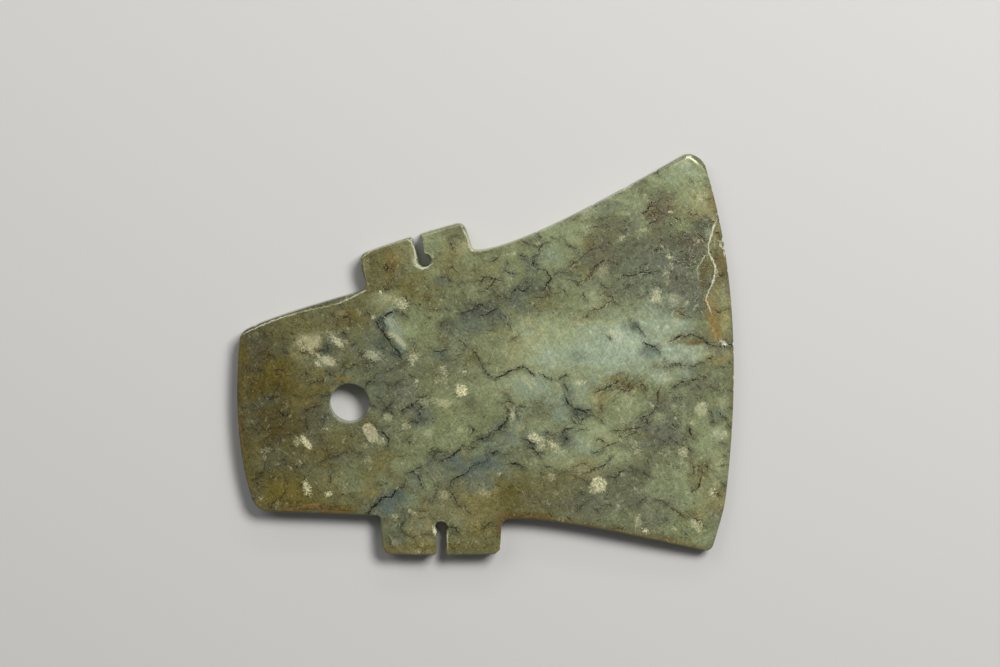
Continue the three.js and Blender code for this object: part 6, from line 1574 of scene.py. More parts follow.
# cream flecks: centre x, y, half length, half width (frame pixels), turn, strength, coarseness
FLECKS = [
    (370.4, 432.6, 10.3, 6.2, -60, 0.62, 0.25), (380.0, 440.5, 5.0, 3.8, -20, 0.45, 1.0),
    (336.5, 341.5, 6.8, 2.0, -48, 0.95, 0.35), (413.0, 357.0, 4.2, 5.6, 10, 0.5, 1.1),
    (306.0, 442.5, 7.6, 2.9, -55, 1.0, 0.4), (298.0, 442.0, 4.5, 3.6, 20, 0.4, 1.0),
    (307.0, 488.0, 6.8, 3.2, -72, 0.95, 0.9), (328.5, 494.0, 3.6, 2.4, 10, 0.8, 0.4),
    (461.5, 390.8, 5.8, 5.2, 20, 1.0, 0.6), (458.0, 386.0, 3.0, 2.0, 40, 0.6, 0.9),
    (599.0, 484.5, 7.8, 7.0, -20, 0.95, 0.7), (594.0, 489.5, 5.0, 4.4, 0, 0.55, 0.9),
    (316.5, 341.0, 6.5, 3.0, 75, 0.35, 0.6), (303.0, 340.5, 4.0, 3.4, 60, 0.3, 1.0),
    (304.0, 347.5, 3.6, 2.2, 10, 0.6, 0.9), (311.0, 349.5, 5.5, 2.6, -40, 0.5, 0.9),
    (337.5, 341.5, 7.5, 2.9, -42, 0.9, 0.9), (345.0, 341.0, 3.0, 2.0, 0, 0.5, 1.0),
    (328.5, 360.5, 7.5, 4.0, -16, 0.5, 0.5), (318.0, 363.5, 3.6, 2.4, -60, 0.8, 0.9),
    (317.5, 355.5, 3.2, 2.2, 0, 0.55, 1.0), (330.0, 332.5, 4.5, 1.6, 0, 0.35, 1.0),
    (372.0, 355.5, 7.5, 4.4, -28, 0.45, 0.7), (380.5, 353.0, 3.0, 2.2, 0, 0.35, 1.0),
    (402.0, 304.0, 6.0, 5.0, -40, 0.65, 0.8), (396.0, 301.5, 3.6, 3.0, 0, 0.45, 0.8),
    (387.0, 297.5, 6.5, 3.4, 0, 0.3, 0.6), (380.5, 292.0, 1.4, 1.4, 0, 1.0, 0.2),
    (400.0, 341.0, 8.5, 2.6, -48, 0.35, 0.5), (392.0, 335.0, 4.0, 2.4, -20, 0.45, 0.5),
    (373.5, 317.0, 2.0, 1.8, 0, 0.8, 0.5), (413.0, 359.5, 5.5, 2.4, 80, 0.55, 1.2),
    (418.0, 357.0, 4.0, 2.4, 60, 0.35, 1.2), (412.5, 364.5, 1.6, 1.4, 0, 0.8, 0.6),
    (417.0, 380.5, 1.6, 1.6, 0, 0.6, 0.4), (464.0, 372.0, 1.8, 1.4, 0, 0.7, 0.4),
    (444.0, 371.0, 5.5, 3.0, -60, 0.5, 1.0), (442.0, 380.0, 5.0, 2.4, 0, 0.35, 1.2),
    (444.0, 403.0, 7.5, 4.2, -8, 0.4, 0.6), (428.0, 433.5, 4.0, 3.6, 0, 0.22, 0.4),
    (459.5, 431.0, 3.6, 2.2, 10, 0.35, 0.6), (423.0, 401.5, 5.5, 2.2, 0, 0.4, 1.2),
    (387.0, 417.0, 3.8, 3.2, 0, 0.4, 0.7), (341.5, 313.0, 5.0, 2.6, 0, 0.18, 0.8),
    (499.0, 474.0, 1.3, 1.3, 0, 1.0, 0.2), (444.5, 495.5, 4.6, 4.4, 0, 0.35, 1.3),
    (485.0, 493.0, 5.0, 3.0, -15, 0.35, 1.3), (437.0, 475.0, 7.0, 3.4, -50, 0.16, 1.0),
    (512.5, 415.5, 2.4, 4.4, 0, 0.45, 1.0), (520.0, 427.0, 4.0, 3.6, 0, 0.3, 1.0),
    (528.5, 383.0, 6.5, 3.4, -42, 0.35, 1.0), (534.5, 382.0, 4.0, 2.0, -50, 0.35, 1.0),
    (580.5, 382.5, 4.8, 2.8, 4, 0.75, 0.7), (601.0, 376.5, 2.0, 1.8, 0, 0.5, 0.6),
    (536.5, 438.0, 8.0, 4.0, -28, 0.85, 0.7), (541.5, 444.5, 4.0, 5.5, 0, 0.45, 0.9),
    (554.0, 446.0, 7.0, 3.0, -42, 0.7, 0.8), (561.0, 452.0, 5.0, 3.4, -30, 0.35, 0.8),
    (551.5, 476.5, 3.6, 4.0, 0, 0.42, 0.8), (556.0, 494.0, 1.6, 1.8, 0, 0.4, 1.0),
    (656.5, 296.5, 5.4, 6.6, 0, 0.6, 1.1), (674.5, 298.5, 5.0, 4.6, 0, 0.32, 1.1),
    (687.5, 302.5, 1.8, 1.5, 0, 0.7, 0.4), (696.5, 306.0, 1.6, 1.4, 0, 0.6, 0.4),
    (670.0, 257.0, 2.6, 1.6, -30, 0.75, 0.8), (670.5, 266.5, 2.4, 2.0, -60, 0.65, 0.9),
    (666.5, 272.5, 3.0, 2.8, 0, 0.55, 1.0), (667.0, 281.0, 2.2, 5.0, 0, 0.3, 1.3),
    (675.5, 321.5, 4.0, 5.0, 0, 0.3, 0.9), (658.0, 327.0, 1.4, 1.4, 0, 0.6, 0.3),
    (667.0, 327.0, 1.4, 1.6, 0, 0.5, 0.3), (617.0, 335.5, 6.0, 6.0, 0, 0.35, 0.7),
    (611.5, 333.5, 2.2, 3.2, 0, 0.5, 0.8), (626.0, 187.5, 4.6, 1.4, 25, 1.0, 0.4),
    (621.5, 238.5, 3.0, 2.6, 45, 0.6, 0.9), (645.0, 230.0, 4.0, 1.6, 0, 0.3, 0.8),
    (587.5, 212.5, 6.5, 4.0, 20, 0.22, 1.2), (583.0, 219.0, 4.0, 2.4, 0, 0.25, 1.2),
    (595.0, 216.0, 2.0, 2.0, 0, 0.3, 0.8), (605.0, 206.0, 3.0, 1.8, 10, 0.22, 1.0),
    (538.0, 243.0, 2.4, 1.6, 0, 0.45, 0.6), (645.0, 196.0, 1.8, 1.4, 0, 0.4, 0.5),
    (627.0, 213.5, 3.0, 2.0, -20, 0.3, 0.8), (670.5, 212.5, 1.4, 1.4, 0, 0.7, 0.4),
    (701.5, 196.0, 3.4, 3.6, -30, 0.5, 1.2), (699.0, 241.5, 3.4, 2.2, 0, 0.5, 1.2),
    # the two flecks on the next line lie on the tip's crease and are painted highlight
    (689.5, 157.3, 2.4, 1.3, -10, 1.0, 0.2), (695.0, 161.0, 3.0, 1.1, -40, 0.85, 0.2),
    (676.0, 164.5, 1.6, 1.2, 0, 0.45, 0.5), (684.5, 163.0, 6.0, 3.4, 10, 0.2, 0.7),
    (604.0, 270.0, 5.0, 5.5, 0, 0.25, 1.3), (600.5, 276.5, 5.5, 2.8, -40, 0.22, 1.2),
    (592.5, 293.5, 2.0, 4.0, 0, 0.2, 1.0), (618.0, 275.5, 2.4, 1.2, 0, 0.35, 0.6),
    (578.5, 323.0, 3.6, 3.4, 0, 0.28, 1.2), (530.0, 340.0, 5.0, 7.0, 0, 0.14, 0.8),
    (642.0, 292.0, 2.4, 4.0, 0, 0.2, 0.8), (633.5, 391.0, 3.2, 2.4, 30, 0.5, 1.1),
    (626.0, 397.0, 3.4, 3.0, 0, 0.28, 1.2), (665.0, 378.0, 5.0, 5.5, 0, 0.25, 1.2),
    (666.0, 364.0, 2.6, 2.4, 0, 0.35, 1.0), (701.0, 410.0, 5.6, 6.0, 0, 0.34, 0.7),
    (703.5, 405.5, 3.0, 2.6, 30, 0.5, 0.8), (700.5, 404.0, 2.0, 1.6, 0, 0.5, 0.7),
    (692.0, 423.0, 2.0, 1.5, -20, 0.8, 0.4), (653.0, 406.0, 1.4, 2.2, 0, 0.5, 0.6),
    (673.5, 406.5, 1.2, 1.6, 0, 0.5, 0.6), (676.0, 418.5, 1.4, 1.3, 0, 0.5, 0.5),
    (717.0, 434.0, 4.5, 3.4, 0, 0.35, 0.9), (724.0, 435.5, 4.0, 3.4, -20, 0.4, 1.1),
    (722.8, 438.3, 1.8, 1.0, 10, 0.9, 0.3), (722.5, 403.0, 5.0, 5.0, 0, 0.2, 1.3),
    (621.5, 420.5, 2.2, 3.2, 0, 0.35, 0.9), (635.0, 445.0, 3.6, 3.4, 0, 0.42, 1.3),
    (637.5, 451.0, 3.4, 2.8, 0, 0.42, 1.3), (623.5, 474.5, 2.8, 2.4, 0, 0.38, 1.1),
    (618.0, 507.0, 2.0, 2.2, 0, 0.55, 0.8), (635.0, 488.5, 1.4, 1.4, 0, 0.6, 0.4),
    (634.0, 478.5, 3.0, 1.0, -10, 0.3, 0.8), (645.0, 490.5, 2.8, 0.9, 0, 0.4, 0.6),
    (645.5, 530.8, 3.2, 1.8, -10, 0.95, 0.7), (683.0, 452.0, 5.0, 5.0, -30, 0.5, 0.8),
    (686.2, 456.4, 1.7, 1.4, 0, 0.8, 0.4), (682.0, 461.5, 2.0, 3.0, 0, 0.3, 1.0),
    (712.5, 492.5, 3.4, 3.0, 0, 0.85, 1.1), (717.0, 483.5, 2.8, 1.8, 0, 0.35, 0.9),
    (696.5, 525.5, 5.5, 4.0, -35, 0.7, 1.3), (693.8, 523.2, 1.5, 1.4, 0, 0.9, 0.4),
    (699.5, 531.5, 3.0, 2.0, 30, 0.6, 0.9), (674.5, 529.0, 1.8, 1.6, 0, 0.7, 0.5),
    (717.0, 518.0, 1.8, 2.2, 0, 0.4, 0.8), (687.5, 493.5, 1.8, 1.8, 0, 0.3, 0.8),
    (660.0, 453.5, 1.6, 1.4, 0, 0.4, 0.6), (668.0, 451.5, 4.0, 4.0, 0, 0.22, 1.4),
    (660.5, 474.5, 3.2, 3.2, 0, 0.22, 1.4), (683.5, 477.5, 2.4, 2.2, 0, 0.3, 1.0),
    (582.0, 488.0, 1.6, 1.2, 0, 0.35, 0.8), (671.5, 530.0, 1.2, 1.2, 0, 0.3, 0.6),
    (394.5, 516.5, 3.2, 2.8, -50, 0.4, 0.9), (409.5, 510.8, 1.5, 1.3, 0, 0.6, 0.5),
    (413.5, 513.0, 1.9, 2.0, 0, 0.5, 0.7), (395.5, 542.5, 4.4, 3.4, 0, 0.2, 0.6),
    (434.8, 530.3, 1.6, 3.2, 12, 1.0, 0.5), (477.0, 542.0, 2.6, 2.2, 0, 0.3, 0.9),
    (418.5, 551.5, 2.6, 2.0, 0, 0.4, 1.0), (422.5, 544.5, 1.4, 1.4, 0, 0.35, 0.6),
    (327.5, 429.0, 1.6, 1.1, 0, 0.6, 0.5), (323.5, 429.0, 1.4, 1.0, 0, 0.4, 0.5),
    (348.0, 491.0, 4.0, 1.6, 0, 0.35, 1.3), (368.0, 460.5, 4.4, 3.0, 0, 0.32, 1.3),
    (365.0, 446.0, 2.8, 2.2, 0, 0.22, 0.8), (261.0, 498.5, 1.6, 1.4, 0, 0.5, 0.5),
    (266.0, 450.5, 4.6, 2.6, 0, 0.3, 1.4), (277.0, 449.0, 2.0, 1.2, 0, 0.3, 0.8),
    (284.0, 440.5, 1.5, 1.2, 0, 0.3, 0.6), (290.0, 467.5, 1.6, 1.4, 0, 0.45, 0.6),
    (299.0, 462.5, 2.6, 2.2, 0, 0.35, 1.1), (278.0, 503.5, 2.4, 3.2, -35, 0.22, 1.0),
    (286.5, 504.5, 1.3, 1.2, 0, 0.3, 0.6), (264.5, 458.0, 1.2, 2.2, 0, 0.3, 0.8),
    (278.0, 463.5, 1.6, 1.2, 0, 0.3, 0.8), (256.8, 333.5, 1.5, 1.2, 0, 0.4, 0.5),
    (357.5, 310.5, 1.5, 1.8, -30, 0.3, 0.6), (359.0, 313.0, 1.4, 1.2, 0, 0.25, 0.6),
    (348.5, 329.0, 1.5, 1.5, 0, 0.35, 0.5), (286.5, 405.0, 2.2, 3.4, 0, 0.2, 0.8),
    (367.0, 265.0, 1.8, 5.5, 0, 0.3, 1.0), (444.0, 237.5, 2.0, 1.8, 0, 0.25, 0.8),
    (465.0, 245.5, 3.4, 3.0, -40, 0.35, 0.7), (442.0, 300.0, 1.4, 1.3, 0, 0.4, 0.4),
    (510.0, 286.5, 1.4, 1.2, 0, 0.3, 0.6), (455.0, 311.0, 1.8, 0.9, 0, 0.3, 0.6),
    (499.5, 255.0, 1.8, 1.0, 10, 0.3, 0.6), (508.0, 254.5, 4.0, 0.9, 8, 0.4, 0.5),
    (482.0, 318.0, 2.6, 1.6, -20, 0.2, 0.8), (474.0, 343.5, 1.2, 2.0, 0, 0.3, 0.8),
    (497.0, 375.0, 1.0, 1.0, 0, 0.4, 0.5), (539.0, 391.0, 1.5, 2.5, -30, 0.25, 0.8),
    (557.0, 384.5, 1.6, 1.4, 0, 0.3, 0.6), (554.0, 363.0, 1.6, 6.0, 0, 0.2, 1.4), (638.0, 521.5, 3.0, 6.0, 0, 0.5, 0.9),
    (406.0, 426.0, 4.0, 4.6, 0, 0.45, 0.9),
    (582.0, 364.5, 1.8, 3.0, 0, 0.3, 1.0), (588.0, 445.0, 1.3, 1.8, 0, 0.4, 0.6),
]

# stain along the edge: frame line, how far in it reaches (mm), russet 0..1, ochre 0..1
STAINS = [
    ([(282, 512), (300, 513), (322, 513)], 1.8, 0.5, 0.4),
    ([(322, 513), (348, 513)], 1.5, 0.25, 0.5),
    ([(262, 508), (282, 512)], 1.2, 0.1, 0.5),
    ([(383, 545), (386, 552), (400, 554)], 1.9, 0.35, 0.7),
    ([(400, 554), (436, 554)], 1.1, 0.15, 0.6),
    ([(501, 522), (506, 519), (520, 518), (545, 518)], 2.2, 0.85, 0.5),
    ([(545, 518), (580, 523)], 1.6, 0.8, 0.7),
    ([(580, 523), (630, 533)], 1.4, 0.65, 0.8),
    ([(630, 533), (655, 538)], 1.6, 0.6, 0.9),
    ([(655, 538), (690, 546)], 2.0, 0.55, 0.9),
    ([(690, 546), (710, 551)], 1.4, 0.1, 0.5),
    ([(240, 415), (240, 440)], 1.3, 0.45, 0.6),
    ([(239, 345), (239, 375)], 1.2, 0.25, 0.5),
    ([(241, 450), (246, 480)], 1.6, 0.1, 0.4),
    ([(712, 190), (717, 210)], 2.0, 0.15, 0.6),
    ([(500, 525), (500, 548)], 1.0, 0.1, 0.6),
    ([(484, 249), (520, 240)], 0.8, 0.1, 0.3),
    ([(734, 360), (734, 395)], 1.3, 0.25, 0.5),
    ([(725, 255), (731, 290)], 1.4, 0.2, 0.4),
]

# ---- evaluate the markings at the vertices
xy = np.concatenate([front_xy, back_xy, *[l[:, :2] for l in levels]])
on_back = np.zeros(len(xy), bool)
on_back[nf:nf + nk] = True
depth_down = np.concatenate([np.zeros(nf), np.ones(nk), *[np.full(nb, k / WALL_LEVELS) for k in range(1, WALL_LEVELS)]])
total = len(xy)

# frame pixels of every vertex as if it lay on the show face, so marks can be drawn in them
def to_frame(p):
    q = np.column_stack([p, np.full(len(p), THICKNESS)]) - CAM_AT
    z = -(q @ BACK)
    return np.column_stack([FRAME_W / 2 + FOCAL_PX * (q @ RIGHT) / z, FRAME_H / 2 - FOCAL_PX * (q @ CAM_UP) / z])


frame_xy = to_frame(xy)
# the walls carry the face's colours down with a drift, and the back is another cut of the stone
drift = np.column_stack([noise(np.column_stack([xy @ [1, 0.4], depth_down * 9]), 4.0, 61),
                         noise(np.column_stack([xy @ [0.3, 1], depth_down * 9]), 4.0, 62)])
frame_xy = frame_xy + drift * (depth_down * 9)[:, None]

wob = np.column_stack([fbm(frame_xy, 34, 4, 71), fbm(frame_xy, 34, 4, 72)]) * 7.0
wob += np.column_stack([fbm(frame_xy, 7, 3, 73), fbm(frame_xy, 7, 3, 74)]) * 3.0


def ellipse(p, cx, cy, rx, ry, turn):
    a = math.radians(-turn)
    d = p - [cx, cy]
    x = d[:, 0] * math.cos(a) + d[:, 1] * math.sin(a)
    y = -d[:, 0] * math.sin(a) + d[:, 1] * math.cos(a)
    return x / rx, y / ry


tone = np.tile(COLOURS["sage"], (total, 1))
busy = np.full(total, BUSY["sage"])
reach = frame_xy + wob
small = frame_xy + wob * 0.45
for cx, cy, rx, ry, turn, name, much, soft in CLOUDS:
    p = reach if min(rx, ry) > 14 else small
    box = np.where(np.abs(p - [cx, cy]).max(1) < 1.7 * max(rx, ry))[0]
    x, y = ellipse(p[box], cx, cy, rx, ry, turn)
    r = np.hypot(x, y)
    m = much * smooth(1 + 0.55 * soft, 1 - 0.75 * soft, r)
    tone[box] = tone[box] * (1 - m)[:, None] + COLOURS[name] * m[:, None]
    busy[box] = busy[box] * (1 - m) + BUSY[name] * m

# the back: the same stone, cut a few millimetres deeper
patch = fbm(frame_xy, 60, 4, 81) * 0.5 + 0.5
dark_side = fbm(frame_xy, 26, 4, 82)
deep = COLOURS["sage_dark"] * (1 - patch)[:, None] + COLOURS["leaf"] * patch[:, None]
deep = deep * (1 - 0.5 * smooth(0.15, 0.5, dark_side))[:, None] + COLOURS["taupe"] * (0.5 * smooth(0.15, 0.5, dark_side))[:, None]
share = 0.6 * depth_down
tone = tone * (1 - share)[:, None] + deep * share[:, None]


def mark_lines(rows, width_at, warm_at=None, reach_px=7.0):
    """Signed distance to the nearest line (px), its half width, strength and warmth."""
    best = np.full(total, 1e3)
    out = np.zeros((total, 3))
    out[:, 0] = reach_px
    warm = np.zeros(total)
    live = np.where(~on_back)[0]
    fp = frame_xy[live]
    for row in rows:
        w, s = row[0], row[1]
        k = row[2] if warm_at else 0.0
        pts = np.array(row[-1], float)
        lo, hi = pts.min(0) - reach_px, pts.max(0) + reach_px
        sel = np.where(((fp > lo) & (fp < hi)).all(1))[0]
        if not len(sel):
            continue
        p = fp[sel]
        lens = np.hypot(*np.diff(pts, axis=0).T)
        starts = np.r_[0, np.cumsum(lens)]
        near, sign, pos = np.full(len(p), 1e3), np.ones(len(p)), np.zeros(len(p))
        for i, (a, b) in enumerate(zip(pts[:-1], pts[1:])):
            ab = b - a
            t = np.clip(((p - a) @ ab) / (ab @ ab), 0, 1)
            e = p - a - t[:, None] * ab
            d = np.hypot(e[:, 0], e[:, 1])
            c = ab[0] * (p[:, 1] - a[1]) - ab[1] * (p[:, 0] - a[0])
            take = d < near
            near[take], sign[take], pos[take] = d[take], np.where(c[take] < 0, -1, 1), (starts[i] + t * lens[i])[take]
        # taper to both ends
        f = pos / starts[-1]
        taper = 0.55 + 0.45 * np.sin(np.pi * np.clip(f, 0.02, 0.98)) ** 0.6
        half = w * 0.5 * taper
        score = near - half
        idx = live[sel]
        better = score < best[idx]
        bi = idx[better]
        best[bi] = score[better]
        out[bi, 0] = (near * sign)[better]
        out[bi, 1] = half[better]
        out[bi, 2] = s * smooth(7.0, 3.8, near)[better]
        warm[bi] = k
    return out, warm


vein, vein_warm = mark_lines(VEINS, 0, True)
# pale wisps together with the painted highlights along edges, creases and chip rims
pale, _ = mark_lines(PALE_AND_GLINTS, 0)

fleck = np.zeros((total, 3))
fleck[:, 0] = -8.0
for cx, cy, a, b, turn, strength, coarse in FLECKS:
    box = np.where((np.abs(frame_xy - [cx, cy]).max(1) < 2.2 * max(a, b) + 6) & ~on_back)[0]
    x, y = ellipse(frame_xy[box], cx, cy, a, b, turn)
    r = (np.abs(x) ** 2.8 + np.abs(y) ** 2.8) ** (1 / 2.8)
    inside_by = (1 - r) * min(a, b)
    better = inside_by > fleck[box, 0]
    bi = box[better]
    fleck[bi, 0] = inside_by[better]
    fleck[bi, 1] = strength
    fleck[bi, 2] = coarse

stain = np.zeros((total, 3))
d_all = np.concatenate([d_front, d_back, *[np.zeros(nb)] * (WALL_LEVELS - 1)])
for line, wide, rust, gold in STAINS:
    q = spot(line, THICKNESS * 0.8)
    lo_, hi_ = q.min(0) - 6, q.max(0) + 6
    box = np.where(((xy > lo_) & (xy < hi_)).all(1))[0]
    ld = line_distance(xy[box], q)
    n = fbm(xy[box], 3.2, 3, 91)
    m = smooth(1.25, 0.15, d_all[box] / (wide * (1 + 0.7 * n))) * smooth(wide + 2.5, wide + 0.4, ld)
    stain[box, 0] = np.maximum(stain[box, 0], rust * m)
    stain[box, 1] = np.maximum(stain[box, 1], gold * m)
stain[:, 2] = d_all
# painted shade over the bands of the worn bevels, kept off the back
bevel_shade = worn(xy, d_all)[1] * ~on_back


def store(name, kind, data):
    a = mesh.attributes.new(name, kind, "POINT")
    field = {"FLOAT": "value", "FLOAT_VECTOR": "vector", "FLOAT_COLOR": "color"}[kind]
    a.data.foreach_set(field, np.asarray(data, np.float32).ravel())


store("tone", "FLOAT_COLOR", np.column_stack([tone, np.ones(total)]))
store("vein", "FLOAT_VECTOR", vein)
store("vein_warm", "FLOAT", vein_warm)
store("pale", "FLOAT_VECTOR", pale)
store("fleck", "FLOAT_VECTOR", fleck)
store("stain", "FLOAT_VECTOR", stain)
store("busy", "FLOAT", busy)
store("bevel_shade", "FLOAT", bevel_shade)

# =====================================================================================
# 7. The stone
# =====================================================================================
jade = bpy.data.materials.new("jade")
jade.use_nodes = True
tree_ = jade.node_tree
tree_.nodes.clear()
bsdf = tree_.nodes.new("ShaderNodeBsdfPrincipled")
output = tree_.nodes.new("ShaderNodeOutputMaterial")
tree_.links.new(bsdf.outputs[0], output.inputs[0])


def put(socket, value):
    if isinstance(value, bpy.types.NodeSocket):
        tree_.links.new(value, socket)
    elif isinstance(value, (tuple, list, np.ndarray)):
        v = [float(x) for x in value]
        socket.default_value = v + [1.0] if len(v) == 3 and socket.type == "RGBA" else v
    else:
        socket.default_value = value


def math_(op, a, b=None, c=None, clamp=False):
    n = tree_.nodes.new("ShaderNodeMath")
    n.operation, n.use_clamp = op, clamp
    for s, v in zip(n.inputs, (a, b, c)):
        if v is not None:
            put(s, v)
    return n.outputs[0]


def vec(op, a, b=None, scale=None):
    n = tree_.nodes.new("ShaderNodeVectorMath")
    n.operation = op
    put(n.inputs[0], a)
    if b is not None:
        put(n.inputs[1], b)
    if scale is not None:
        put(n.inputs["Scale"], scale)
    return n.outputs["Value"] if op in ("LENGTH", "DOT_PRODUCT") else n.outputs["Vector"]


def remap(x, lo, hi, a=0.0, b=1.0, kind="SMOOTHSTEP"):
    n = tree_.nodes.new("ShaderNodeMapRange")
    n.interpolation_type = kind
    for s, v in zip(("Value", "From Min", "From Max", "To Min", "To Max"), (x, lo, hi, a, b)):
        put(n.inputs[s], v)
    return n.outputs["Result"]


def mix(f, a, b, kind="MIX"):
    n = tree_.nodes.new("ShaderNodeMix")
    n.data_type, n.blend_type = "RGBA", kind
    put(n.inputs[0], f)
    put(n.inputs[6], a)
    put(n.inputs[7], b)
    return n.outputs[2]


def noise_(p, scale, detail=2.0, rough=0.5, distort=0.0):
    n = tree_.nodes.new("ShaderNodeTexNoise")
    n.noise_dimensions = "3D"
    put(n.inputs["Vector"], p)
    n.inputs["Scale"].default_value = scale
    n.inputs["Detail"].default_value = detail
    n.inputs["Roughness"].default_value = rough
    n.inputs["Distortion"].default_value = distort
    return n.outputs["Fac"]


def attribute(name, out="Vector"):
    n = tree_.nodes.new("ShaderNodeAttribute")
    n.attribute_type, n.attribute_name = "GEOMETRY", name
    return n.outputs[out]


def split(v):
    n = tree_.nodes.new("ShaderNodeSeparateXYZ")
    put(n.inputs[0], v)
    return n.outputs[0], n.outputs[1], n.outputs[2]


where = tree_.nodes.new("ShaderNodeTexCoord").outputs["Object"]
turned = tree_.nodes.new("ShaderNodeMapping")
put(turned.inputs["Vector"], where)
turned.inputs["Rotation"].default_value = (0, 0, TURN)
turned.inputs["Scale"].default_value = (1000, 1000, 1000)
P = turned.outputs["Vector"]              # millimetres, x along the frame
flat = tree_.nodes.new("ShaderNodeMapping")
put(flat.inputs["Vector"], P)
flat.inputs["Scale"].default_value = (0.72, 1.35, 1.0)
Q = flat.outputs["Vector"]                # drawn out along x

base = attribute("tone", "Color")
busy_ = attribute("busy", "Fac")
calm = math_("SUBTRACT", 1.0, busy_, clamp=True)
grain1 = noise_(P, 0.42, 5, 0.62)
grain2 = noise_(P, 1.5, 4, 0.6)
grain3 = noise_(vec("ADD", P, (31.0, 7.0, 0.0)), 0.9, 4, 0.6, 0.6)
grain4 = noise_(vec("ADD", P, (13.0, 71.0, 0.0)), 2.2, 3, 0.65)
light = math_("ADD", remap(grain1, 0.28, 0.72, -0.20, 0.20, "LINEAR"), remap(grain2, 0.25, 0.75, -0.26, 0.26, "LINEAR"))
light = math_("ADD", light, remap(grain4, 0.25, 0.75, -0.20, 0.20, "LINEAR"))
light = math_("MULTIPLY_ADD", light, remap(busy_, 0.05, 0.5, 0.5, 1.06, "LINEAR"), 1.0)
col = vec("SCALE", base, scale=light)
col = mix(remap(grain3, 0.52, 0.68, 0.0, 0.45), col, vec("MULTIPLY", col, (1.08, 0.93, 0.70)))
col = mix(remap(grain3, 0.46, 0.34, 0.0, 0.4), col, vec("MULTIPLY", col, (0.95, 1.04, 1.14)))

# fine crinkled threads all through the stone: short, mostly lying along the frame
rag = math_("ADD", math_("MULTIPLY", math_("SUBTRACT", noise_(P, 1.3, 3, 0.65), 0.5), 5.0),
            math_("MULTIPLY", math_("SUBTRACT", noise_(P, 5.0, 2, 0.5), 0.5), 2.6))


def aligned(turn, sx, sy, move):
    r = tree_.nodes.new("ShaderNodeMapping")
    put(r.inputs["Vector"], P)
    r.inputs["Rotation"].default_value = (0, 0, math.radians(turn))
    k = tree_.nodes.new("ShaderNodeMapping")
    put(k.inputs["Vector"], r.outputs[0])
    k.inputs["Scale"].default_value = (sx, sy, 1.0)
    k.inputs["Location"].default_value = (*move, 0.0)
    return k.outputs[0]


# a felt of fibres in two directions
for turn_, move_ in ((-20, (7, 9)), (58, (51, 33))):
    fibre = remap(noise_(aligned(turn_, 0.55, 1.5, move_), 1.0, 2, 0.6), 0.3, 0.7, 0.87, 1.13, "LINEAR")
    col = vec("SCALE", col, scale=fibre)
# the calm pale stone is brushed with long fine fibres instead
for turn_, move_ in ((22, (17, 3)), (-34, (5, 73))):
    fibre = remap(noise_(aligned(turn_, 1.9, 0.34, move_), 1.0, 2, 0.6, 0.6), 0.3, 0.7, -1.0, 1.0, "LINEAR")
    col = vec("SCALE", col, scale=math_("MULTIPLY_ADD", fibre, remap(busy_, 0.1, 0.6, 0.13, 0.05, "LINEAR"), 1.0))


def threads(coords, scale, middle, lo, hi, distort, cut_scale, cut_move):
    n = noise_(coords, scale, 5, 0.64, distort)
    t = math_("ABSOLUTE", math_("SUBTRACT", n, middle))
    cut = noise_(vec("ADD", P, (*cut_move, 0.0)), cut_scale, 2, 0.5)
    return math_("MULTIPLY", remap(t, hi, lo), remap(cut, 0.46, 0.56))


m1 = noise_(vec("ADD", P, (5.0, 55.0, 0.0)), 0.34, 3, 0.6)
m2 = noise_(vec("ADD", P, (77.0, 15.0, 0.0)), 0.45, 3, 0.6)
m3 = noise_(vec("ADD", P, (27.0, 115.0, 0.0)), 0.26, 3, 0.6)
room = math_("MULTIPLY", calm, 0.10)
thread1 = math_("MULTIPLY", threads(aligned(-14, 0.6, 1.5, (0, 0)), 0.36, 0.5, 0.004, 0.020, 0.5, 0.8, (60, 4)),
                remap(math_("SUBTRACT", m1, room), 0.48, 0.55))
thread2 = math_("MULTIPLY", threads(aligned(18, 0.65, 1.4, (91, 3)), 0.62, 0.49, 0.005, 0.028, 0.5, 1.1, (22, 48)),
                remap(math_("SUBTRACT", m2, room), 0.47, 0.55))
thread3 = math_("MULTIPLY", remap(noise_(aligned(-12, 0.40, 1.7, (81, 14)), 1.0, 3, 0.6, 0.8), 0.585, 0.67),
                remap(math_("SUBTRACT", m3, room), 0.40, 0.54))
hair = math_("MULTIPLY", remap(noise_(aligned(36, 0.45, 1.9, (61, 24)), 1.0, 3, 0.6, 0.9), 0.59, 0.66),
             remap(math_("SUBTRACT", m1, room), 0.42, 0.54))
lively = remap(busy_, 0.12, 0.45, 0.12, 1.0, "LINEAR")
col = mix(math_("MULTIPLY", math_("MULTIPLY", thread3, lively), 0.66), col, COLOURS["umber"] * 0.30)
col = mix(math_("MULTIPLY", math_("MULTIPLY", hair, lively), 0.74), col, COLOURS["umber"] * 0.26)
col = mix(math_("MULTIPLY", math_("MULTIPLY", thread2, lively), 0.66), col, COLOURS["russet"] * 0.38)
col = mix(math_("MULTIPLY", math_("MULTIPLY", thread1, lively), 0.74), col, COLOURS["umber"] * 0.13)

# the back has long threads and cream flecks of its own
on_under = remap(split(P)[2], 1.4, 0.4)
for turn_, scale_, move_, cut_ in ((-24, 0.13, (140, 60), (9, 140)), (20, 0.19, (33, 210), (77, 31))):
    long_ = threads(aligned(turn_, 0.6, 1.3, move_), scale_, 0.5, 0.002, 0.0075, 0.7, 0.22, cut_)
    col = mix(math_("MULTIPLY", math_("MULTIPLY", long_, on_under), 0.85), col, COLOURS["umber"] * 0.16)
blot_ = noise_(vec("ADD", P, (201.0, 57.0, 0.0)), 0.22, 2, 0.5)
blot_ = math_("MULTIPLY", remap(math_("ADD", blot_, math_("MULTIPLY", math_("SUBTRACT", grain3, 0.5), 0.10)), 0.70, 0.73), on_under)
col = mix(math_("MULTIPLY", blot_, 0.8), col, vec("SCALE", tuple(COLOURS["cream"]), scale=remap(grain4, 0.35, 0.65, 0.6, 1.25, "LINEAR")))

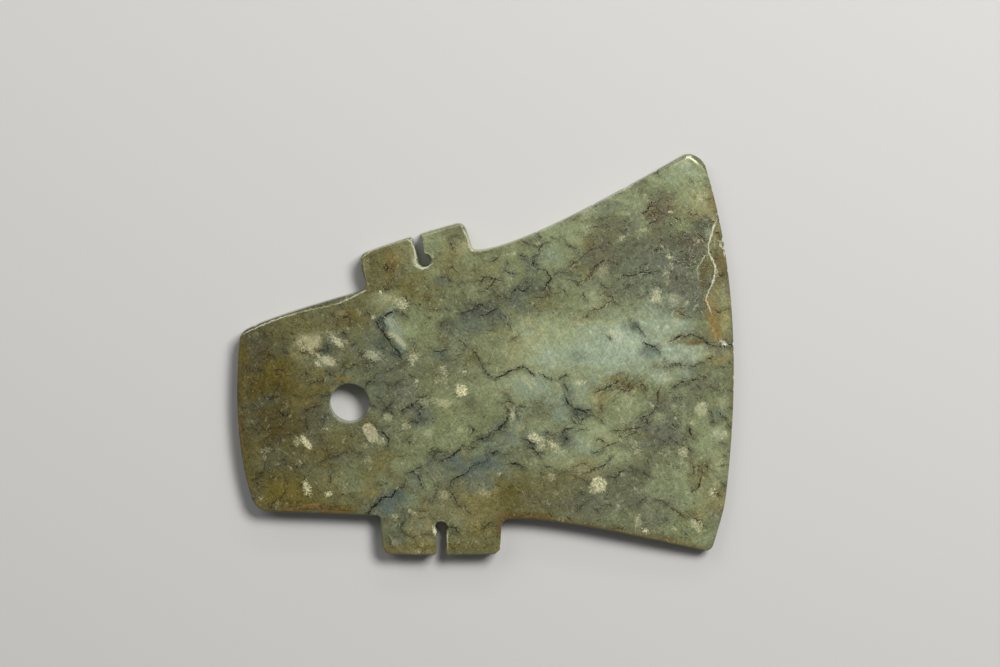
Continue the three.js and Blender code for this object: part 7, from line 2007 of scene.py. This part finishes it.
# the placed threads, with short spurs beside them
thick = remap(noise_(vec("ADD", P, (3.0, 44.0, 0.0)), 0.9, 2, 0.5), 0.3, 0.7, 0.55, 1.3, "LINEAR")
vd, vw, vs = split(attribute("vein"))
dist = math_("ABSOLUTE", math_("ADD", vd, rag))
core = math_("MULTIPLY", vw, math_("MULTIPLY", thick, 0.68))
line = remap(math_("SUBTRACT", dist, core), 0.34, -0.22)
spur_at = math_("ABSOLUTE", math_("SUBTRACT", noise_(vec("ADD", P, (41.0, 9.0, 0.0)), 0.8, 4, 0.65, 0.4), 0.5))
spur = math_("MULTIPLY", remap(spur_at, 0.034, 0.008), remap(dist, 5.0, 1.2))
line = math_("MAXIMUM", line, math_("MULTIPLY", spur, 0.75))
line = math_("MULTIPLY", line, math_("MULTIPLY", vs, 1.22), clamp=True)
halo = math_("MULTIPLY", remap(dist, 3.6, 0.3), math_("MULTIPLY", vs, 0.18))
# painted shade: a soft slate shadow on the lower side of each cool thread
below = math_("ADD", vd, math_("MULTIPLY", rag, 0.6))
below = math_("MULTIPLY", remap(below, 6.5, 0.6), remap(below, -0.8, 0.6))
warm = attribute("vein_warm", "Fac")
ink = mix(warm, (0.009, 0.011, 0.005), COLOURS["russet"] * 0.30)
shade = mix(warm, COLOURS["slate"] * 0.8, COLOURS["russet"])
col = mix(math_("MULTIPLY", math_("MULTIPLY", below, vs), math_("MULTIPLY", math_("SUBTRACT", 1.0, warm), 0.34)), col, COLOURS["slate"] * 0.9)
col = mix(halo, col, shade)
col = mix(line, col, ink)

# edge stain
sr, sg, edge_mm = split(attribute("stain"))
blot = remap(noise_(P, 0.8, 4, 0.65), 0.36, 0.62, 0.25, 1.0, "LINEAR")
col = mix(math_("MULTIPLY", math_("MULTIPLY", sg, blot), 0.75), col, COLOURS["ochre"])
col = mix(math_("MULTIPLY", sr, blot), col, COLOURS["russet"])

# painted shade: the bands of the bevels worn along the upper edges are darkened
col = vec("SCALE", col, scale=math_("SUBTRACT", 1.0, math_("MULTIPLY", attribute("bevel_shade", "Fac"), 0.42)))

# cream flecks, made of grains (two at the tip are painted highlight), and pale wisps together with painted highlights
# (glints) along edges, creases and chip rims
fx, fs, fc = split(attribute("fleck"))
tear = math_("MULTIPLY", math_("SUBTRACT", noise_(P, 1.7, 4, 0.75), 0.5), math_("MULTIPLY_ADD", fc, 13.0, 3.6))
fm = remap(math_("ADD", fx, tear), -0.4, 0.5)
grit = noise_(vec("ADD", P, (3.0, 8.0, 0.0)), 1.5, 4, 0.75)
crumb = remap(grit, 0.36, 0.60, remap(fc, 0.3, 0.9, 0.80, 0.30, "LINEAR"), 1.0, "LINEAR")
fm = math_("MULTIPLY", math_("MULTIPLY", fm, fs), crumb)
bright = remap(grit, 0.44, 0.64, 1.0, 1.95, "LINEAR")
col = mix(math_("MULTIPLY", fm, 0.92), col, vec("SCALE", tuple(COLOURS["cream"]), scale=bright))
pd, pw, ps = split(attribute("pale"))
pdist = math_("ABSOLUTE", math_("ADD", pd, math_("MULTIPLY", rag, 0.75)))
pale_and_glint_line = math_("MULTIPLY", remap(math_("SUBTRACT", pdist, math_("MULTIPLY", pw, math_("MULTIPLY", thick, 0.8))), 0.5, -0.4), ps)
col = mix(math_("MULTIPLY", pale_and_glint_line, 0.95), col, mix(remap(ps, 0.6, 0.95), COLOURS["cream"] * 1.05, COLOURS["chalk"]))

# feathery bright strokes, in two directions
f1 = noise_(aligned(24, 1.6, 0.42, (0, 0)), 1.0, 3, 0.6, 0.7)
f2 = noise_(vec("ADD", P, (64.0, 21.0, 0.0)), 0.3, 2, 0.5)
f3 = noise_(aligned(-38, 1.6, 0.45, (33, 12)), 1.0, 3, 0.6, 0.7)
s1 = math_("MULTIPLY", remap(f1, 0.56, 0.66), remap(f2, 0.47, 0.6))
s2 = math_("MULTIPLY", remap(f3, 0.56, 0.66), remap(f2, 0.53, 0.40))
strokes = math_("MAXIMUM", s1, s2)
strokes = math_("MULTIPLY", strokes, remap(noise_(vec("ADD", P, (4.0, 91.0, 0.0)), 0.55, 3, 0.6), 0.40, 0.60, 0.25, 1.0, "LINEAR"))
strokes = math_("MULTIPLY", strokes, remap(busy_, 0.9, 0.2, 0.58, 0.48, "LINEAR"))
col = mix(strokes, col, mix(0.5, vec("SCALE", col, scale=2.0), COLOURS["mist"] * 1.2))

# painted glints: scattered sparkles of cream colour
glint_cells = tree_.nodes.new("ShaderNodeTexVoronoi")
put(glint_cells.inputs["Vector"], P)
glint_cells.inputs["Scale"].default_value = 0.85
lot, lot2, _ = split(glint_cells.outputs["Color"])
size_ = remap(lot2, 0.0, 1.0, 0.10, 0.34, "LINEAR")
glint_dots = math_("MULTIPLY", remap(math_("ADD", glint_cells.outputs["Distance"], math_("MULTIPLY", math_("SUBTRACT", grain4, 0.5), 0.5)), size_, 0.04), remap(lot, 0.80, 0.90))
glint_dots = math_("MULTIPLY", glint_dots, remap(noise_(P, 0.2, 2, 0.5), 0.44, 0.58, 0.0, 0.42))
col = mix(glint_dots, col, COLOURS["cream"] * 1.1)
col = vec("MULTIPLY", col, (0.958, 0.978, 1.0))

put(bsdf.inputs["Base Color"], col)
gloss = math_("ADD", remap(grain1, 0.3, 0.7, 0.15, 0.21, "LINEAR"), math_("MULTIPLY", fm, 0.12))
put(bsdf.inputs["Roughness"], gloss)
bsdf.inputs["IOR"].default_value = 1.6
bsdf.inputs["Specular IOR Level"].default_value = 0.38
bsdf.inputs["Specular Tint"].default_value = (1.0, 1.0, 0.72, 1.0)
bsdf.inputs["Subsurface Weight"].default_value = 0.08
bsdf.inputs["Subsurface Radius"].default_value = (1.0, 1.1, 0.6)
bsdf.inputs["Subsurface Scale"].default_value = 0.0009

height = math_("ADD", math_("MULTIPLY", line, -1.0), math_("MULTIPLY", fm, -0.25))
height = math_("ADD", height, math_("MULTIPLY", grain2, 0.35))
height = math_("ADD", height, math_("MULTIPLY", pale_and_glint_line, -0.6))
bump = tree_.nodes.new("ShaderNodeBump")
bump.inputs["Strength"].default_value = 0.35
bump.inputs["Distance"].default_value = 0.00008
put(bump.inputs["Height"], height)
tree_.links.new(bump.outputs[0], bsdf.inputs["Normal"])
mesh.materials.append(jade)

axe = bpy.data.objects.new("jade_axe_head", mesh)
bpy.context.scene.collection.objects.link(axe)
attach(axe, "root")
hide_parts("axe_head")

# =====================================================================================
# 8. Floor, light, camera
# =====================================================================================
floor_mesh = bpy.data.meshes.new("floor")
s = 3.0
floor_mesh.from_pydata([(-s, -s, 0), (s, -s, 0), (s, s, 0), (-s, s, 0)], [], [(0, 1, 2, 3)])
floor = bpy.data.objects.new("floor", floor_mesh)
floor.location.z = -0.00003
bpy.context.scene.collection.objects.link(floor)
paper = bpy.data.materials.new("floor_paper")
paper.use_nodes = True
pb = paper.node_tree.nodes["Principled BSDF"]
pb.inputs["Base Color"].default_value = (0.60, 0.595, 0.58, 1)
pb.inputs["Roughness"].default_value = 0.9
pb.inputs["Specular IOR Level"].default_value = 0.1
floor_mesh.materials.append(paper)

world = bpy.data.worlds.new("studio")
world.use_nodes = True
world.node_tree.nodes["Background"].inputs[0].default_value = (1, 1, 1, 1)
world.node_tree.nodes["Background"].inputs[1].default_value = 0.11
bpy.context.scene.world = world


def softbox(name, across, up, high, width, height, watts, colour=(1, 1, 1)):
    """A soft light placed in the frame's own right / up / towards-the-viewer directions, in metres."""
    data = bpy.data.lights.new(name, "AREA")
    data.shape, data.size, data.size_y, data.energy, data.color = "RECTANGLE", width, height, watts, colour
    o = bpy.data.objects.new(name, data)
    at = Vector(RIGHT) * across + Vector(AWAY) * up + Vector((0, 0, high))
    o.location = at
    o.rotation_mode = "QUATERNION"
    o.rotation_quaternion = (-at).to_track_quat("-Z", "Y")
    bpy.context.scene.collection.objects.link(o)
    return o


softbox("key", 0.65, 0.75, 1.12, 0.7, 0.5, 23.4, (1.0, 0.99, 0.975))
softbox("rim", 0.20, 0.90, 0.42, 0.9, 0.12, 1.4)
softbox("fill", -0.8, 0.9, 0.9, 0.9, 0.9, 5.0, (0.97, 0.985, 1.0))

camera_data = bpy.data.cameras.new("camera")
camera_data.lens, camera_data.sensor_width = LENS, SENSOR
camera_data.clip_start, camera_data.clip_end = 0.01, 20
camera = bpy.data.objects.new("camera", camera_data)
at = (CAM_AT - [shift[0], shift[1], 0]) * MM
turn = Matrix((RIGHT, CAM_UP, BACK)).transposed()
camera.matrix_world = Matrix.Translation(Vector(at)) @ turn.to_4x4()
bpy.context.scene.collection.objects.link(camera)
bpy.context.scene.camera = camera

view = bpy.context.scene.view_settings
view.view_transform = "Standard"
view.look = "None"
view.exposure = 0.0
view.gamma = 1.0

print("faces", len(faces), "verts", total, "shift", shift)
